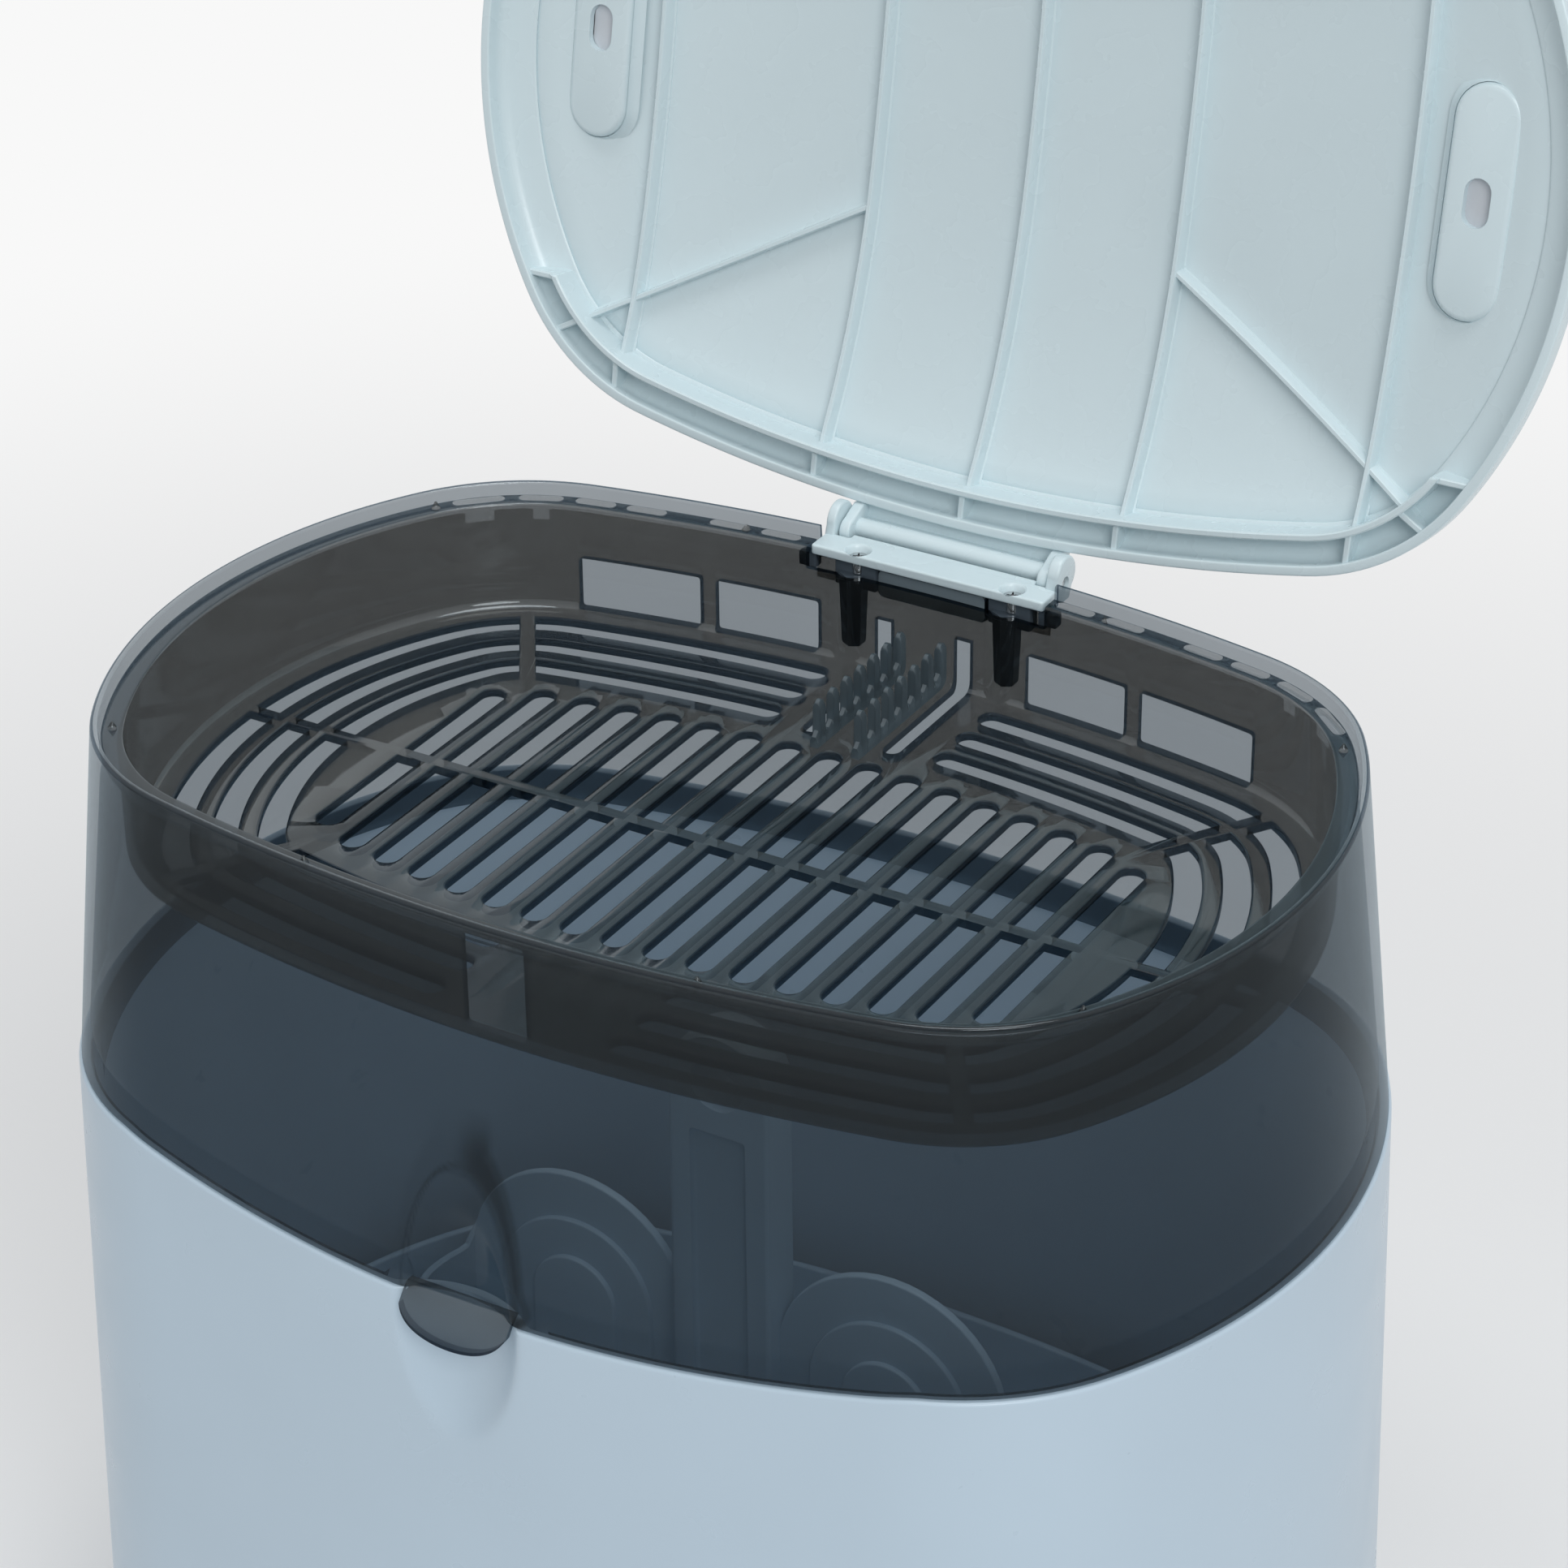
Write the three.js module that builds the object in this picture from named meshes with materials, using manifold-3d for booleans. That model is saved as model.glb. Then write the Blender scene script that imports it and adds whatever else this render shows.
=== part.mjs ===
// Electric steam steriliser for six baby bottles, shown with its lid open.
// A light blue body holds the heating plate and the bottle basket. A smoked hood stands on the body,
// carries the slotted accessory tray, and has the hinge of the light blue lid at its back.
//
// Frame: millimetres, +Z up, +X to the right of somebody facing the front, the front faces -Y.
// The origin is the centre of the bottom cover's flat underside, and the feet reach below it.

import * as THREE from "three";
import { mergeVertices } from "three/addons/utils/BufferGeometryUtils.js";
import Module from "manifold-3d";

const wasm = await Module();
wasm.setup();

// Plan outline of the hood's rim: long side arcs, end arcs and corner arcs that meet smoothly
const RIM_HALF_WIDTH = 143;
const RIM_HALF_DEPTH = 97.9;
const SIDE_RADIUS = 441;
const END_RADIUS = 122.6;
const CORNER_RADIUS = 53.8;

// Heights
const RIM_HEIGHT = 320;
const SEAM_DROP = 84.5;
const SEAM_DIP = 7.7;
const SEAM_DIP_HALF_WIDTH = 100;
const DECK_HEIGHT = 58;
const DECK_THICK = 2.6;

// How far the outline grows towards the seam and the base
const SEAM_FLARE = 8.8;
const BASE_FLARE = 16;

// Walls and fits
const BODY_WALL = 2.8;
const HOOD_WALL = 2.6;
const FIT = 0.3;
const SLIDE_FIT = 0.4;
const OVERRUN = 5;

// Body
const BODY_PROUD = 0.6;
const BODY_EDGE = 0.8;
const BASE_EDGE = 3;
const SKIRT_DEPTH = 8;
const SKIRT_WALL = 2;

// Finger grip at the front: a hollow in the hood over a tongue, and a scoop in the body under it
const GRIP_HALF_WIDTH = 15.5;
const GRIP_HEIGHT = 37;
const GRIP_DEPTH = 4.2;
const SCOOP_HEIGHT = 31;
const SCOOP_DEPTH = 7;
const TONGUE_DROP = 8.5;
const TONGUE_THICK = 1.6;
const TONGUE_REACH = 3.2;

// Hood rim
const LIP_THICK = 1.7;
const LIP_HEIGHT = 3.2;
const LEDGE_WIDTH = 2.8;
const LEDGE_THICK = 2;
const LEDGE_TAPER = 5;

// Accessory tray
const TRAY_DEPTH = 30.9;
const TRAY_FLOOR_THICK = 2.2;
const TRAY_WALL = 1.6;
const WALL_INSET = 5.6;
const FLANGE_THICK = 2;
const TRAY_FILLET = 2.8;
const SLOT_COUNT = 17;
const SLOT_PITCH = 10.55;
const SLOT_WIDTH = 6.2;
const SLOT_INSET = 49;
const MID_RIB_WIDTH = 3.2;
const ROW_COUNT = 3;
const ROW_PITCH = 10.8;
const ROW_INSET = 16.4;
const ROW_WIDTH = 6.2;
const ROW_CENTRE_HALF_GAP = 21;
const CORNER_RIB_WIDTH = 4;
const CORNER_RIB_X = 91.3;
const CORNER_RIB_Y = 58.7;
const CORNER_RIB_RUN = 40;
const CORNER_RIB_TURN = Math.atan2(21.1, 13.8);

// Comb of pins at the back of the tray
const COMB_HALF_GAP = 5.5;
const COMB_START = 51.3;
const COMB_PITCH = 6.37;
const COMB_COUNT = 7;
const COMB_THICK = 2;
const PIN_WIDTH = 3.4;
const PIN_HEIGHT = 11.4;
const FIN_HEIGHT = 4.5;
const BACK_SLOT_X = 10.7;
const BACK_SLOT_WIDTH = 4.4;
const BACK_SLOT_START = 57;
const BACK_SLOT_RISE = 12.9;

// Windows in the tray's wall, as spans of X, and their heights over the floor
const WINDOW_SPANS = { inner: [28, 55.2], outer: [59.2, 90.5] };
const WINDOW_SILL = 1.6;
const WINDOW_HEIGHT = 12.3;
const FRONT_WINDOW_HALF_WIDTH = 7.7;
const FRONT_WINDOW_HEIGHT = 22.6;

// Holes along the back of the tray's flange, and the small pointed locating nubs on it
const FLANGE_HOLES = [39.5, 53, 74.5, 87.5, 100.5, 113];
const FLANGE_HOLE_LENGTH = 9.6;
const FLANGE_HOLE_WIDTH = 2.6;
const FLANGE_HOLE_INSET = 5;
const NUB_WIDTH = 2.6;
const NUB_HEIGHT = 2.9;
const NUB_TURNS = [27, 62, 118, 152].map(THREE.MathUtils.degToRad);

// Lid
const LID_INSET = 0.8;
const LID_SKIN = 2.4;
const LID_WALL = 2.4;
const LID_EDGE = 1;
const LID_SIDE_HEIGHT = 6.6;
const LID_BAND = 14;
const LID_INNER_EDGE = 9;
const LID_INNER_TOP = 22.5;
const DOME_POWER = 2.5;
const DOME_SHARES = [0.92, 0.76, 0.52, 0.2];
const LID_OPEN_TURN = THREE.MathUtils.degToRad(100.5);
const LID_RIB_HEIGHT = 3.8;
const LID_RIB_THICK = 1.9;
const LID_RIBS = [-98, -40.5, 0, 40.5, 98];
const LID_STRUT_INNER_Y = 29.5;
const LID_STRUT_OUTER_X = 112;
const LID_STRUT_OUTER_Y = 70;
const CHANNEL_WALL = 1.7;
const CHANNEL_DEPTH = 7.4;
const CHANNEL_END_Y = 58.5;
const WEB_THICK = 1.5;
const WEB_INSET = 1.2;
const VENT_X = 114.2;
const VENT_Y = -2;
const VENT_BOSS_LENGTH = 54;
const VENT_BOSS_WIDTH = 16.4;
const VENT_BOSS_LEVEL = 10;
const VENT_HOLE_LENGTH = 11.4;
const VENT_HOLE_WIDTH = 6.4;
const HANDLE_Y = -56;
const HANDLE_HALF_LENGTH = 56;
const HANDLE_HALF_WIDTH = 19;
const HANDLE_TOP = 42;
const HANDLE_TAPER = 5;

// Hinge
const HINGE_BACK = 4.6;
const HINGE_DROP = 2.9;
const BARREL_RADIUS = 3.7;
const EAR_RADIUS = 5.6;
const EAR_THICK = 3.8;
const EAR_OUTER = 32.2;
const HINGE_PIN_RADIUS = 1.6;
const HINGE_PIN_REACH = 8;
const BRACKET_THICK = 2.5;
const BRACKET_DROP = 3;
const BRACKET_HALF_WIDTH = 31.4;
const BRACKET_FRONT = 8.6;
const BRACKET_SCREW_X = 20.7;
const BRACKET_SCREW_INSET = 3.8;
const BRACKET_SCREW_HEAD = 2.9;
const BRACKET_SCREW_SHANK = 1.4;
const BRACKET_SCREW_LENGTH = 12;
const PAD_THICK = 3.2;
const PAD_INSET = 5;
const TRAY_TRAVEL = 3;
const NOTCH_HALF_WIDTH = 33.2;
const NUB_BASE = 1.3;
const POST_RADIUS = 3.6;
const POST_LENGTH = 17;

// Heating plate and what hangs under it
const PLATE_RADIUS = 66;
const PLATE_THICK = 2;
const PLATE_RIM_HEIGHT = 5;
const PLATE_SEAT = 5;
const SEAL_THICK = 1.6;
const HEATER_RADIUS = 44;
const HEATER_TUBE = 3.8;
const THERMOSTAT_RADIUS = 9;
const THERMOSTAT_HEIGHT = 11;
const FUSE_RADIUS = 3;
const FUSE_LENGTH = 24;
const FUSE_Y = 24;

// Bottle basket
const BASKET_CLEARANCE = 4;
const BASKET_FLOOR_HEIGHT = 16;
const BASKET_FLOOR_THICK = 2.4;
const BASKET_RIM_HEIGHT = 26;
const BASKET_WALL = 2;
const CUP_RADIUS = 34;
const CUP_WALL = 2;
const CUP_STEPS = [[18, -4], [26, 27], [34, 49]];
const CUP_PITCH_X = 88;
const CUP_PITCH_Y = 92;
const CUP_FLOOR_HOLE = 20;
const LIFT_POST_WIDTH = 27;
const LIFT_GROOVE_WIDTH = 15;
const LIFT_GROOVE_DEPTH = 2;
const LIFT_POST_DEPTH = 12;
const LIFT_POST_HEIGHT = 152;
const LIFT_KNOB_RADIUS = 13.5;
const ARCH_X = 43;
const ARCH_LAYERS = [[30.5, 109, 2.4], [21, 97, 5.2], [11.5, 87, 8]];
const BASKET_FOOT_RADIUS = 6;
const BASKET_FOOT_X = 44;
const BASKET_FOOT_Y = 68;

// Bottom cover, feet and screws
const COVER_THICK = 3;
const COVER_CLEARANCE = 0.4;
const FOOT_RADIUS = 10;
const FOOT_HEIGHT = 4;
const FOOT_PEG_RADIUS = 3;
const FOOT_X = 115;
const FOOT_Y = 70;
const COVER_SCREW_X = 66;
const COVER_SCREW_Y = 92;
const COVER_SCREW_HEAD = 3.6;
const COVER_SCREW_HEAD_THICK = 1.8;
const COVER_SCREW_SHANK = 1.6;
const COVER_SCREW_LENGTH = 13;
const BOSS_RADIUS = 5;
const VENT_SLOT_LENGTH = 40;
const VENT_SLOT_WIDTH = 3;
const VENT_SLOT_PITCH = 8;
const VENT_SLOT_COUNT = 7;

// Controls
const BUTTON_HEIGHT = 30;
const BUTTON_RADIUS = 11;
const BUTTON_PROUD = 1.6;
const BUTTON_TRAVEL = 2;
const BUTTON_FLANGE = 2;
const BUTTON_LENGTH = 9;
const BEZEL_WIDTH = 3;
const BEZEL_FLANGE = 1.6;
const LENS_RADIUS = 2.4;
const LENS_RISE = 20;
const SWITCH_SIZE = [14, 9, 14];
const BOARD_SIZE = [84, 60, 1.6];
const BOARD_HEIGHT = 12;
const BOARD_Y = -70;
const STANDOFF_RADIUS = 3.4;
const RELAY_SIZE = [20, 16, 15];
const GLAND_RADIUS = 7;
const GLAND_BORE = 3.4;
const GLAND_FLANGE = 2.2;
const GLAND_X = 20;
const GLAND_HEIGHT = 24;
const GLAND_LENGTH = 14;

// Facets
const END_STEPS = 3;
const CORNER_STEPS = 4;
const SIDE_STEPS = 4;
const ROUND_STEPS = 20;
const SMALL_ROUND_STEPS = 10;
const SLOT_END_STEPS = 2;

const COLOURS = {
  blue: new THREE.MeshStandardMaterial({ color: 0xb9cddc, roughness: 0.35, metalness: 0 }),
  blueInside: new THREE.MeshStandardMaterial({ color: 0xa9c3d8, roughness: 0.4, metalness: 0 }),
  smoke: new THREE.MeshStandardMaterial({
    color: 0x4a5258, roughness: 0.1, metalness: 0, transparent: true, opacity: 0.7,
  }),
  steel: new THREE.MeshStandardMaterial({ color: 0xb4b6b8, roughness: 0.25, metalness: 1 }),
  rubber: new THREE.MeshStandardMaterial({ color: 0x55595c, roughness: 0.85, metalness: 0 }),
  silicone: new THREE.MeshStandardMaterial({ color: 0xc9ccce, roughness: 0.7, metalness: 0 }),
  board: new THREE.MeshStandardMaterial({ color: 0x2c6b45, roughness: 0.5, metalness: 0 }),
  dark: new THREE.MeshStandardMaterial({ color: 0x2b2e30, roughness: 0.5, metalness: 0 }),
  lens: new THREE.MeshStandardMaterial({ color: 0xdfe8ea, roughness: 0.15, metalness: 0 }),
};

const object = new THREE.Group();

// Solids
function solid(geometry) {
  const bare = geometry.clone();
  bare.deleteAttribute("normal");
  bare.deleteAttribute("uv");
  const merged = mergeVertices(bare);
  return new wasm.Manifold(new wasm.Mesh({
    numProp: 3,
    vertProperties: new Float32Array(merged.attributes.position.array),
    triVerts: new Uint32Array(merged.index.array),
  }));
}

function geometryOf(body) {
  const mesh = body.getMesh();
  const geometry = new THREE.BufferGeometry();
  geometry.setAttribute("position", new THREE.BufferAttribute(new Float32Array(mesh.vertProperties), mesh.numProp));
  geometry.setIndex(new THREE.BufferAttribute(new Uint32Array(mesh.triVerts), 1));
  geometry.computeVertexNormals();
  return geometry;
}

const union = (...bodies) => bodies.flat().reduce((whole, next) => whole.add(next));

function addPart(name, body, material, parent = object) {
  const mesh = new THREE.Mesh(geometryOf(body), material);
  mesh.name = name;
  parent.add(mesh);
}

// A box between two corners
function box(low, high) {
  const size = high.map((value, axis) => value - low[axis]);
  const geometry = new THREE.BoxGeometry(...size);
  geometry.translate(...low.map((value, axis) => value + size[axis] / 2));
  return solid(geometry);
}

// A box of the given size round a centre, turned about Z
function turnedBox(size, centre, turn) {
  const geometry = new THREE.BoxGeometry(...size);
  geometry.rotateZ(turn);
  geometry.translate(...centre);
  return solid(geometry);
}

// A disc or tube about an upright axis, from a profile of [radius, height]
function turned(profile, steps = ROUND_STEPS, x = 0, y = 0) {
  const points = profile.map(([radius, height]) => new THREE.Vector2(radius, height));
  const geometry = new THREE.LatheGeometry(points, steps);
  geometry.translate(0, 0, 0);
  geometry.rotateX(Math.PI / 2);
  geometry.translate(x, y, 0);
  return solid(geometry);
}

const rod = (radius, low, high, x = 0, y = 0, steps = SMALL_ROUND_STEPS) =>
  turned([[0, low], [radius, low], [radius, high], [0, high]], steps, x, y);

const tube = (inner, outer, low, high, x = 0, y = 0, steps = ROUND_STEPS) =>
  turned([[inner, low], [outer, low], [outer, high], [inner, high], [inner, low]], steps, x, y);

// The same shapes about an axis along Y, from the back of the profile forwards, and along X
function alongY(body, y, x, z) {
  return body.rotate([90, 0, 0]).translate([x, y, z]);
}

function rodX(radius, from, to, y, z, steps = SMALL_ROUND_STEPS) {
  const geometry = new THREE.CylinderGeometry(radius, radius, to - from, steps);
  geometry.rotateZ(Math.PI / 2);
  geometry.translate((from + to) / 2, y, z);
  return solid(geometry);
}

// A flat shape in XY, raised from one height to another
function raised(shape, low, high, curveSegments = SLOT_END_STEPS) {
  const geometry = new THREE.ExtrudeGeometry(shape, { depth: high - low, bevelEnabled: false, curveSegments });
  geometry.translate(0, 0, low);
  return solid(geometry);
}

// A flat shape in YZ, drawn along X
function drawnX(points, from, to) {
  const shape = new THREE.Shape(points.map(([y, z]) => new THREE.Vector2(y, z)));
  const geometry = new THREE.ExtrudeGeometry(shape, { depth: to - from, bevelEnabled: false });
  geometry.rotateZ(Math.PI / 2);
  geometry.rotateY(Math.PI / 2);
  geometry.translate(from, 0, 0);
  return solid(geometry);
}

// A slot outline with round ends between two points
function stadium(start, end, width) {
  const along = new THREE.Vector2(end[0] - start[0], end[1] - start[1]);
  const angle = along.angle();
  const shape = new THREE.Shape();
  shape.absarc(end[0], end[1], width / 2, angle - Math.PI / 2, angle + Math.PI / 2, false);
  shape.absarc(start[0], start[1], width / 2, angle + Math.PI / 2, angle + 3 * Math.PI / 2, false);
  return shape;
}

// Plan outline
const cornerCentre = (() => {
  const side = new THREE.Vector2(0, RIM_HALF_DEPTH - SIDE_RADIUS);
  const end = new THREE.Vector2(RIM_HALF_WIDTH - END_RADIUS, 0);
  const fromSide = SIDE_RADIUS - CORNER_RADIUS;
  const fromEnd = END_RADIUS - CORNER_RADIUS;
  const gap = end.clone().sub(side);
  const span = gap.length();
  const along = (fromSide ** 2 - fromEnd ** 2 + span ** 2) / (2 * span);
  const across = Math.sqrt(fromSide ** 2 - along ** 2);
  const unit = gap.divideScalar(span);
  const centre = side.clone().addScaledVector(unit, along);
  centre.add(new THREE.Vector2(unit.y, -unit.x).multiplyScalar(across));
  return { side, end, corner: centre };
})();

// Points of the outline, grown outwards by a distance, anticlockwise from +X
function outline(grow) {
  const { side, end, corner } = cornerCentre;
  const endTurn = corner.clone().sub(end).angle();
  const sideTurn = corner.clone().sub(side).angle();
  const quarter = [];
  const arc = (centre, radius, from, to, steps) => {
    for (let step = 0; step < steps; step += 1) {
      const turn = from + (to - from) * step / steps;
      quarter.push([centre.x + radius * Math.cos(turn), centre.y + radius * Math.sin(turn)]);
    }
  };
  arc(end, END_RADIUS + grow, 0, endTurn, END_STEPS);
  arc(corner, CORNER_RADIUS + grow, endTurn, sideTurn, CORNER_STEPS);
  arc(side, SIDE_RADIUS + grow, sideTurn, Math.PI / 2, SIDE_STEPS);
  const top = [0, side.y + SIDE_RADIUS + grow];
  const half = [...quarter, top, ...quarter.slice(1).reverse().map(([x, y]) => [-x, y])];
  const left = [-(end.x + END_RADIUS + grow), 0];
  return [...half, left, ...half.slice(1).reverse().map(([x, y]) => [x, -y])];
}

// Where the outline grown by a distance crosses a given X, on the back side
function edgeAt(x, grow) {
  const points = outline(grow).filter(([, y]) => y >= 0);
  for (let index = 1; index < points.length; index += 1) {
    const [ax, ay] = points[index - 1];
    const [bx, by] = points[index];
    if ((ax - x) * (bx - x) <= 0 && ax !== bx) {
      return ay + (by - ay) * (x - ax) / (bx - ax);
    }
  }
  return 0;
}

// The seam between hood and body dips in an arc at the front
function seamAt(x, y) {
  const share = Math.max(0, 1 - (x / SEAM_DIP_HALF_WIDTH) ** 2);
  return RIM_HEIGHT - SEAM_DROP - (y < 0 ? SEAM_DIP * share : 0);
}

const overSeam = (rise) => (x, y) => seamAt(x, y) + rise;

// One ring of a lofted shell: the outline grown, at a height that may follow the seam
function ring([grow, height, shrink = 1]) {
  return outline(grow).map(([x, y]) => {
    const z = typeof height === "function" ? height(x, y) : height;
    return [x * shrink, y * shrink, z];
  });
}

// A shell through rings. A closed one returns to its first ring, an open one is capped at both ends.
function loft(profile, closed = false) {
  const rings = profile.map(ring);
  const count = rings[0].length;
  const positions = rings.flat(2);
  const index = [];
  const last = closed ? rings.length : rings.length - 1;
  for (let level = 0; level < last; level += 1) {
    const next = (level + 1) % rings.length;
    for (let place = 0; place < count; place += 1) {
      const a = level * count + place;
      const b = level * count + (place + 1) % count;
      const c = next * count + place;
      const d = next * count + (place + 1) % count;
      index.push(a, b, d, a, d, c);
    }
  }
  if (!closed) {
    [0, rings.length - 1].forEach((level) => {
      const middle = positions.length / 3;
      const height = rings[level].reduce((sum, point) => sum + point[2], 0) / count;
      positions.push(0, 0, height);
      for (let place = 0; place < count; place += 1) {
        const a = level * count + place;
        const b = level * count + (place + 1) % count;
        index.push(...(level === 0 ? [middle, b, a] : [middle, a, b]));
      }
    });
  }
  const geometry = new THREE.BufferGeometry();
  geometry.setAttribute("position", new THREE.BufferAttribute(new Float32Array(positions), 3));
  geometry.setIndex(signedVolume(positions, index) < 0 ? index.reverse() : index);
  return solid(geometry);
}

function signedVolume(positions, index) {
  const point = (place) => new THREE.Vector3().fromArray(positions, index[place] * 3);
  let sum = 0;
  for (let place = 0; place < index.length; place += 3) {
    sum += point(place).dot(point(place + 1).cross(point(place + 2)));
  }
  return sum;
}

// An egg-shaped cutter from its three half lengths and its centre
function ellipsoid(halves, centre) {
  const geometry = new THREE.SphereGeometry(1, ROUND_STEPS, SMALL_ROUND_STEPS);
  geometry.rotateX(Math.PI / 2);
  geometry.scale(...halves);
  geometry.translate(...centre);
  return solid(geometry);
}

// A hollow that breaks a wall in an ellipse: the cutter stands outside the wall by as much again
function hollow(halfWidth, halfHeight, depth, extra, surfaceY, z) {
  const outside = 2.4 * depth;
  const reach = depth + outside;
  const spread = Math.sqrt(1 - (outside / reach) ** 2);
  return ellipsoid(
    [halfWidth / spread + extra, reach + extra, halfHeight / spread + extra],
    [0, surfaceY - outside, z],
  );
}

const SEAM_HEIGHT = RIM_HEIGHT - SEAM_DROP;
const bodyGrowTop = SEAM_FLARE + BODY_PROUD;
const bodyGrowAt = (z) => BASE_FLARE + (bodyGrowTop - BASE_FLARE) * z / SEAM_HEIGHT;
const FRONT_SEAM = SEAM_HEIGHT - SEAM_DIP;
const frontAt = (grow) => -(RIM_HALF_DEPTH + grow);

// Body shell
const deckUnder = DECK_HEIGHT - DECK_THICK;
const skirtOuter = bodyGrowTop - BODY_WALL - SLIDE_FIT;
const bodyHull = loft([
  [0, DECK_HEIGHT],
  [bodyGrowAt(DECK_HEIGHT) - BODY_WALL, DECK_HEIGHT],
  [bodyGrowTop - BODY_WALL, overSeam(-SKIRT_DEPTH)],
  [bodyGrowTop - BODY_WALL, overSeam(0)],
  [bodyGrowTop - BODY_EDGE, overSeam(0)],
  [bodyGrowTop, overSeam(-BODY_EDGE)],
  [BASE_FLARE, BASE_EDGE],
  [BASE_FLARE - BASE_EDGE / 3, BASE_EDGE / 3],
  [BASE_FLARE - BASE_EDGE / 2, 0],
  [BASE_FLARE - BODY_WALL, 0],
  [bodyGrowAt(deckUnder) - BODY_WALL, deckUnder],
  [0, deckUnder],
]);
const bodyFront = frontAt(bodyGrowTop);
const scoopShape = (extra) => hollow(GRIP_HALF_WIDTH, SCOOP_HEIGHT, SCOOP_DEPTH, extra, bodyFront, FRONT_SEAM);
const bodyInside = loft([
  [bodyGrowAt(DECK_HEIGHT) - BODY_WALL / 2, DECK_HEIGHT],
  [bodyGrowTop - BODY_WALL / 2, overSeam(-FIT * 2)],
]);
const scoopBacking = scoopShape(BODY_WALL).intersect(bodyInside);
const holeRadius = PLATE_RADIUS - PLATE_SEAT;
const coverScrewPlaces = [-1, 1].flatMap((a) => [-1, 1].map((b) => [a * COVER_SCREW_X, b * COVER_SCREW_Y]));
const footPlaces = [
  ["front_left", -FOOT_X, -FOOT_Y], ["front_right", FOOT_X, -FOOT_Y],
  ["back_left", -FOOT_X, FOOT_Y], ["back_right", FOOT_X, FOOT_Y],
];
const bossBase = COVER_THICK + FIT;
const bosses = coverScrewPlaces.map(([x, y]) => rod(BOSS_RADIUS, bossBase, deckUnder + DECK_THICK / 2, x, y));
const bossBores = coverScrewPlaces.map(([x, y]) =>
  rod(COVER_SCREW_SHANK + FIT, 0, COVER_SCREW_LENGTH + bossBase, x, y));
const wallAtButton = frontAt(bodyGrowAt(BUTTON_HEIGHT));
const buttonWay = alongY(
  rod(BUTTON_RADIUS + BEZEL_WIDTH + FIT, -OVERRUN, BODY_WALL + OVERRUN, 0, 0, ROUND_STEPS),
  wallAtButton + BODY_WALL, 0, BUTTON_HEIGHT,
);
const lensZ = BUTTON_HEIGHT + LENS_RISE;
const wallAtLens = frontAt(bodyGrowAt(lensZ));
const lensWay = alongY(rod(LENS_RADIUS + FIT, -OVERRUN, BODY_WALL + OVERRUN), wallAtLens + BODY_WALL, 0, lensZ);
const wallAtGland = edgeAt(GLAND_X, bodyGrowAt(GLAND_HEIGHT));
const glandWay = alongY(
  rod(GLAND_RADIUS + FIT, -OVERRUN, BODY_WALL + OVERRUN),
  wallAtGland, GLAND_X, GLAND_HEIGHT,
);
const bodyShell = union(bodyHull, scoopBacking, bosses)
  .subtract(scoopShape(0))
  .subtract(rod(holeRadius, deckUnder - OVERRUN, DECK_HEIGHT + OVERRUN, 0, 0, ROUND_STEPS))
  .subtract(union(bossBores))
  .subtract(buttonWay)
  .subtract(lensWay)
  .subtract(glandWay);
addPart("body_shell", bodyShell, COLOURS.blue);

// Bottom cover with its board standoffs and vent slots
const coverGrow = BASE_FLARE - BODY_WALL - COVER_CLEARANCE;
const boardCorners = [-1, 1].flatMap((a) => [-1, 1].map((b) => [
  a * (BOARD_SIZE[0] / 2 - STANDOFF_RADIUS), BOARD_Y + b * (BOARD_SIZE[1] / 2 - STANDOFF_RADIUS),
]));
const ventSlots = Array.from({ length: VENT_SLOT_COUNT }, (_, index) => {
  const x = (index - (VENT_SLOT_COUNT - 1) / 2) * VENT_SLOT_PITCH;
  return raised(stadium([x, FOOT_Y - VENT_SLOT_LENGTH], [x, FOOT_Y], VENT_SLOT_WIDTH), -OVERRUN, COVER_THICK + OVERRUN);
});
const headSeat = COVER_SCREW_HEAD_THICK + FIT;
const bottomCover = union(
  loft([[coverGrow, 0], [coverGrow, COVER_THICK]]),
  boardCorners.map(([x, y]) => rod(STANDOFF_RADIUS, COVER_THICK / 2, BOARD_HEIGHT - FIT, x, y)),
).subtract(union(
  ventSlots,
  coverScrewPlaces.map(([x, y]) => rod(COVER_SCREW_SHANK + FIT, -OVERRUN, COVER_THICK + OVERRUN, x, y)),
  coverScrewPlaces.map(([x, y]) => rod(COVER_SCREW_HEAD + FIT, -OVERRUN, headSeat, x, y)),
  footPlaces.map(([, x, y]) => rod(FOOT_PEG_RADIUS + FIT, -OVERRUN, COVER_THICK + OVERRUN, x, y)),
));
addPart("bottom_cover", bottomCover, COLOURS.blueInside);

coverScrewPlaces.forEach(([x, y], order) => addPart(`cover_screw_${order + 1}`, turned([
  [0, FIT], [COVER_SCREW_HEAD, FIT], [COVER_SCREW_HEAD, headSeat - FIT],
  [COVER_SCREW_SHANK, headSeat - FIT], [COVER_SCREW_SHANK, COVER_SCREW_LENGTH], [0, COVER_SCREW_LENGTH],
], SMALL_ROUND_STEPS, x, y), COLOURS.steel));

footPlaces.forEach(([place, x, y]) => addPart(`foot_${place}`, turned([
  [0, -FOOT_HEIGHT], [FOOT_RADIUS - FOOT_HEIGHT / 4, -FOOT_HEIGHT], [FOOT_RADIUS, FOOT_HEIGHT / 4 - FOOT_HEIGHT],
  [FOOT_RADIUS, -FIT], [FOOT_PEG_RADIUS, -FIT], [FOOT_PEG_RADIUS, COVER_THICK], [0, COVER_THICK],
], SMALL_ROUND_STEPS, x, y), COLOURS.rubber));

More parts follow.
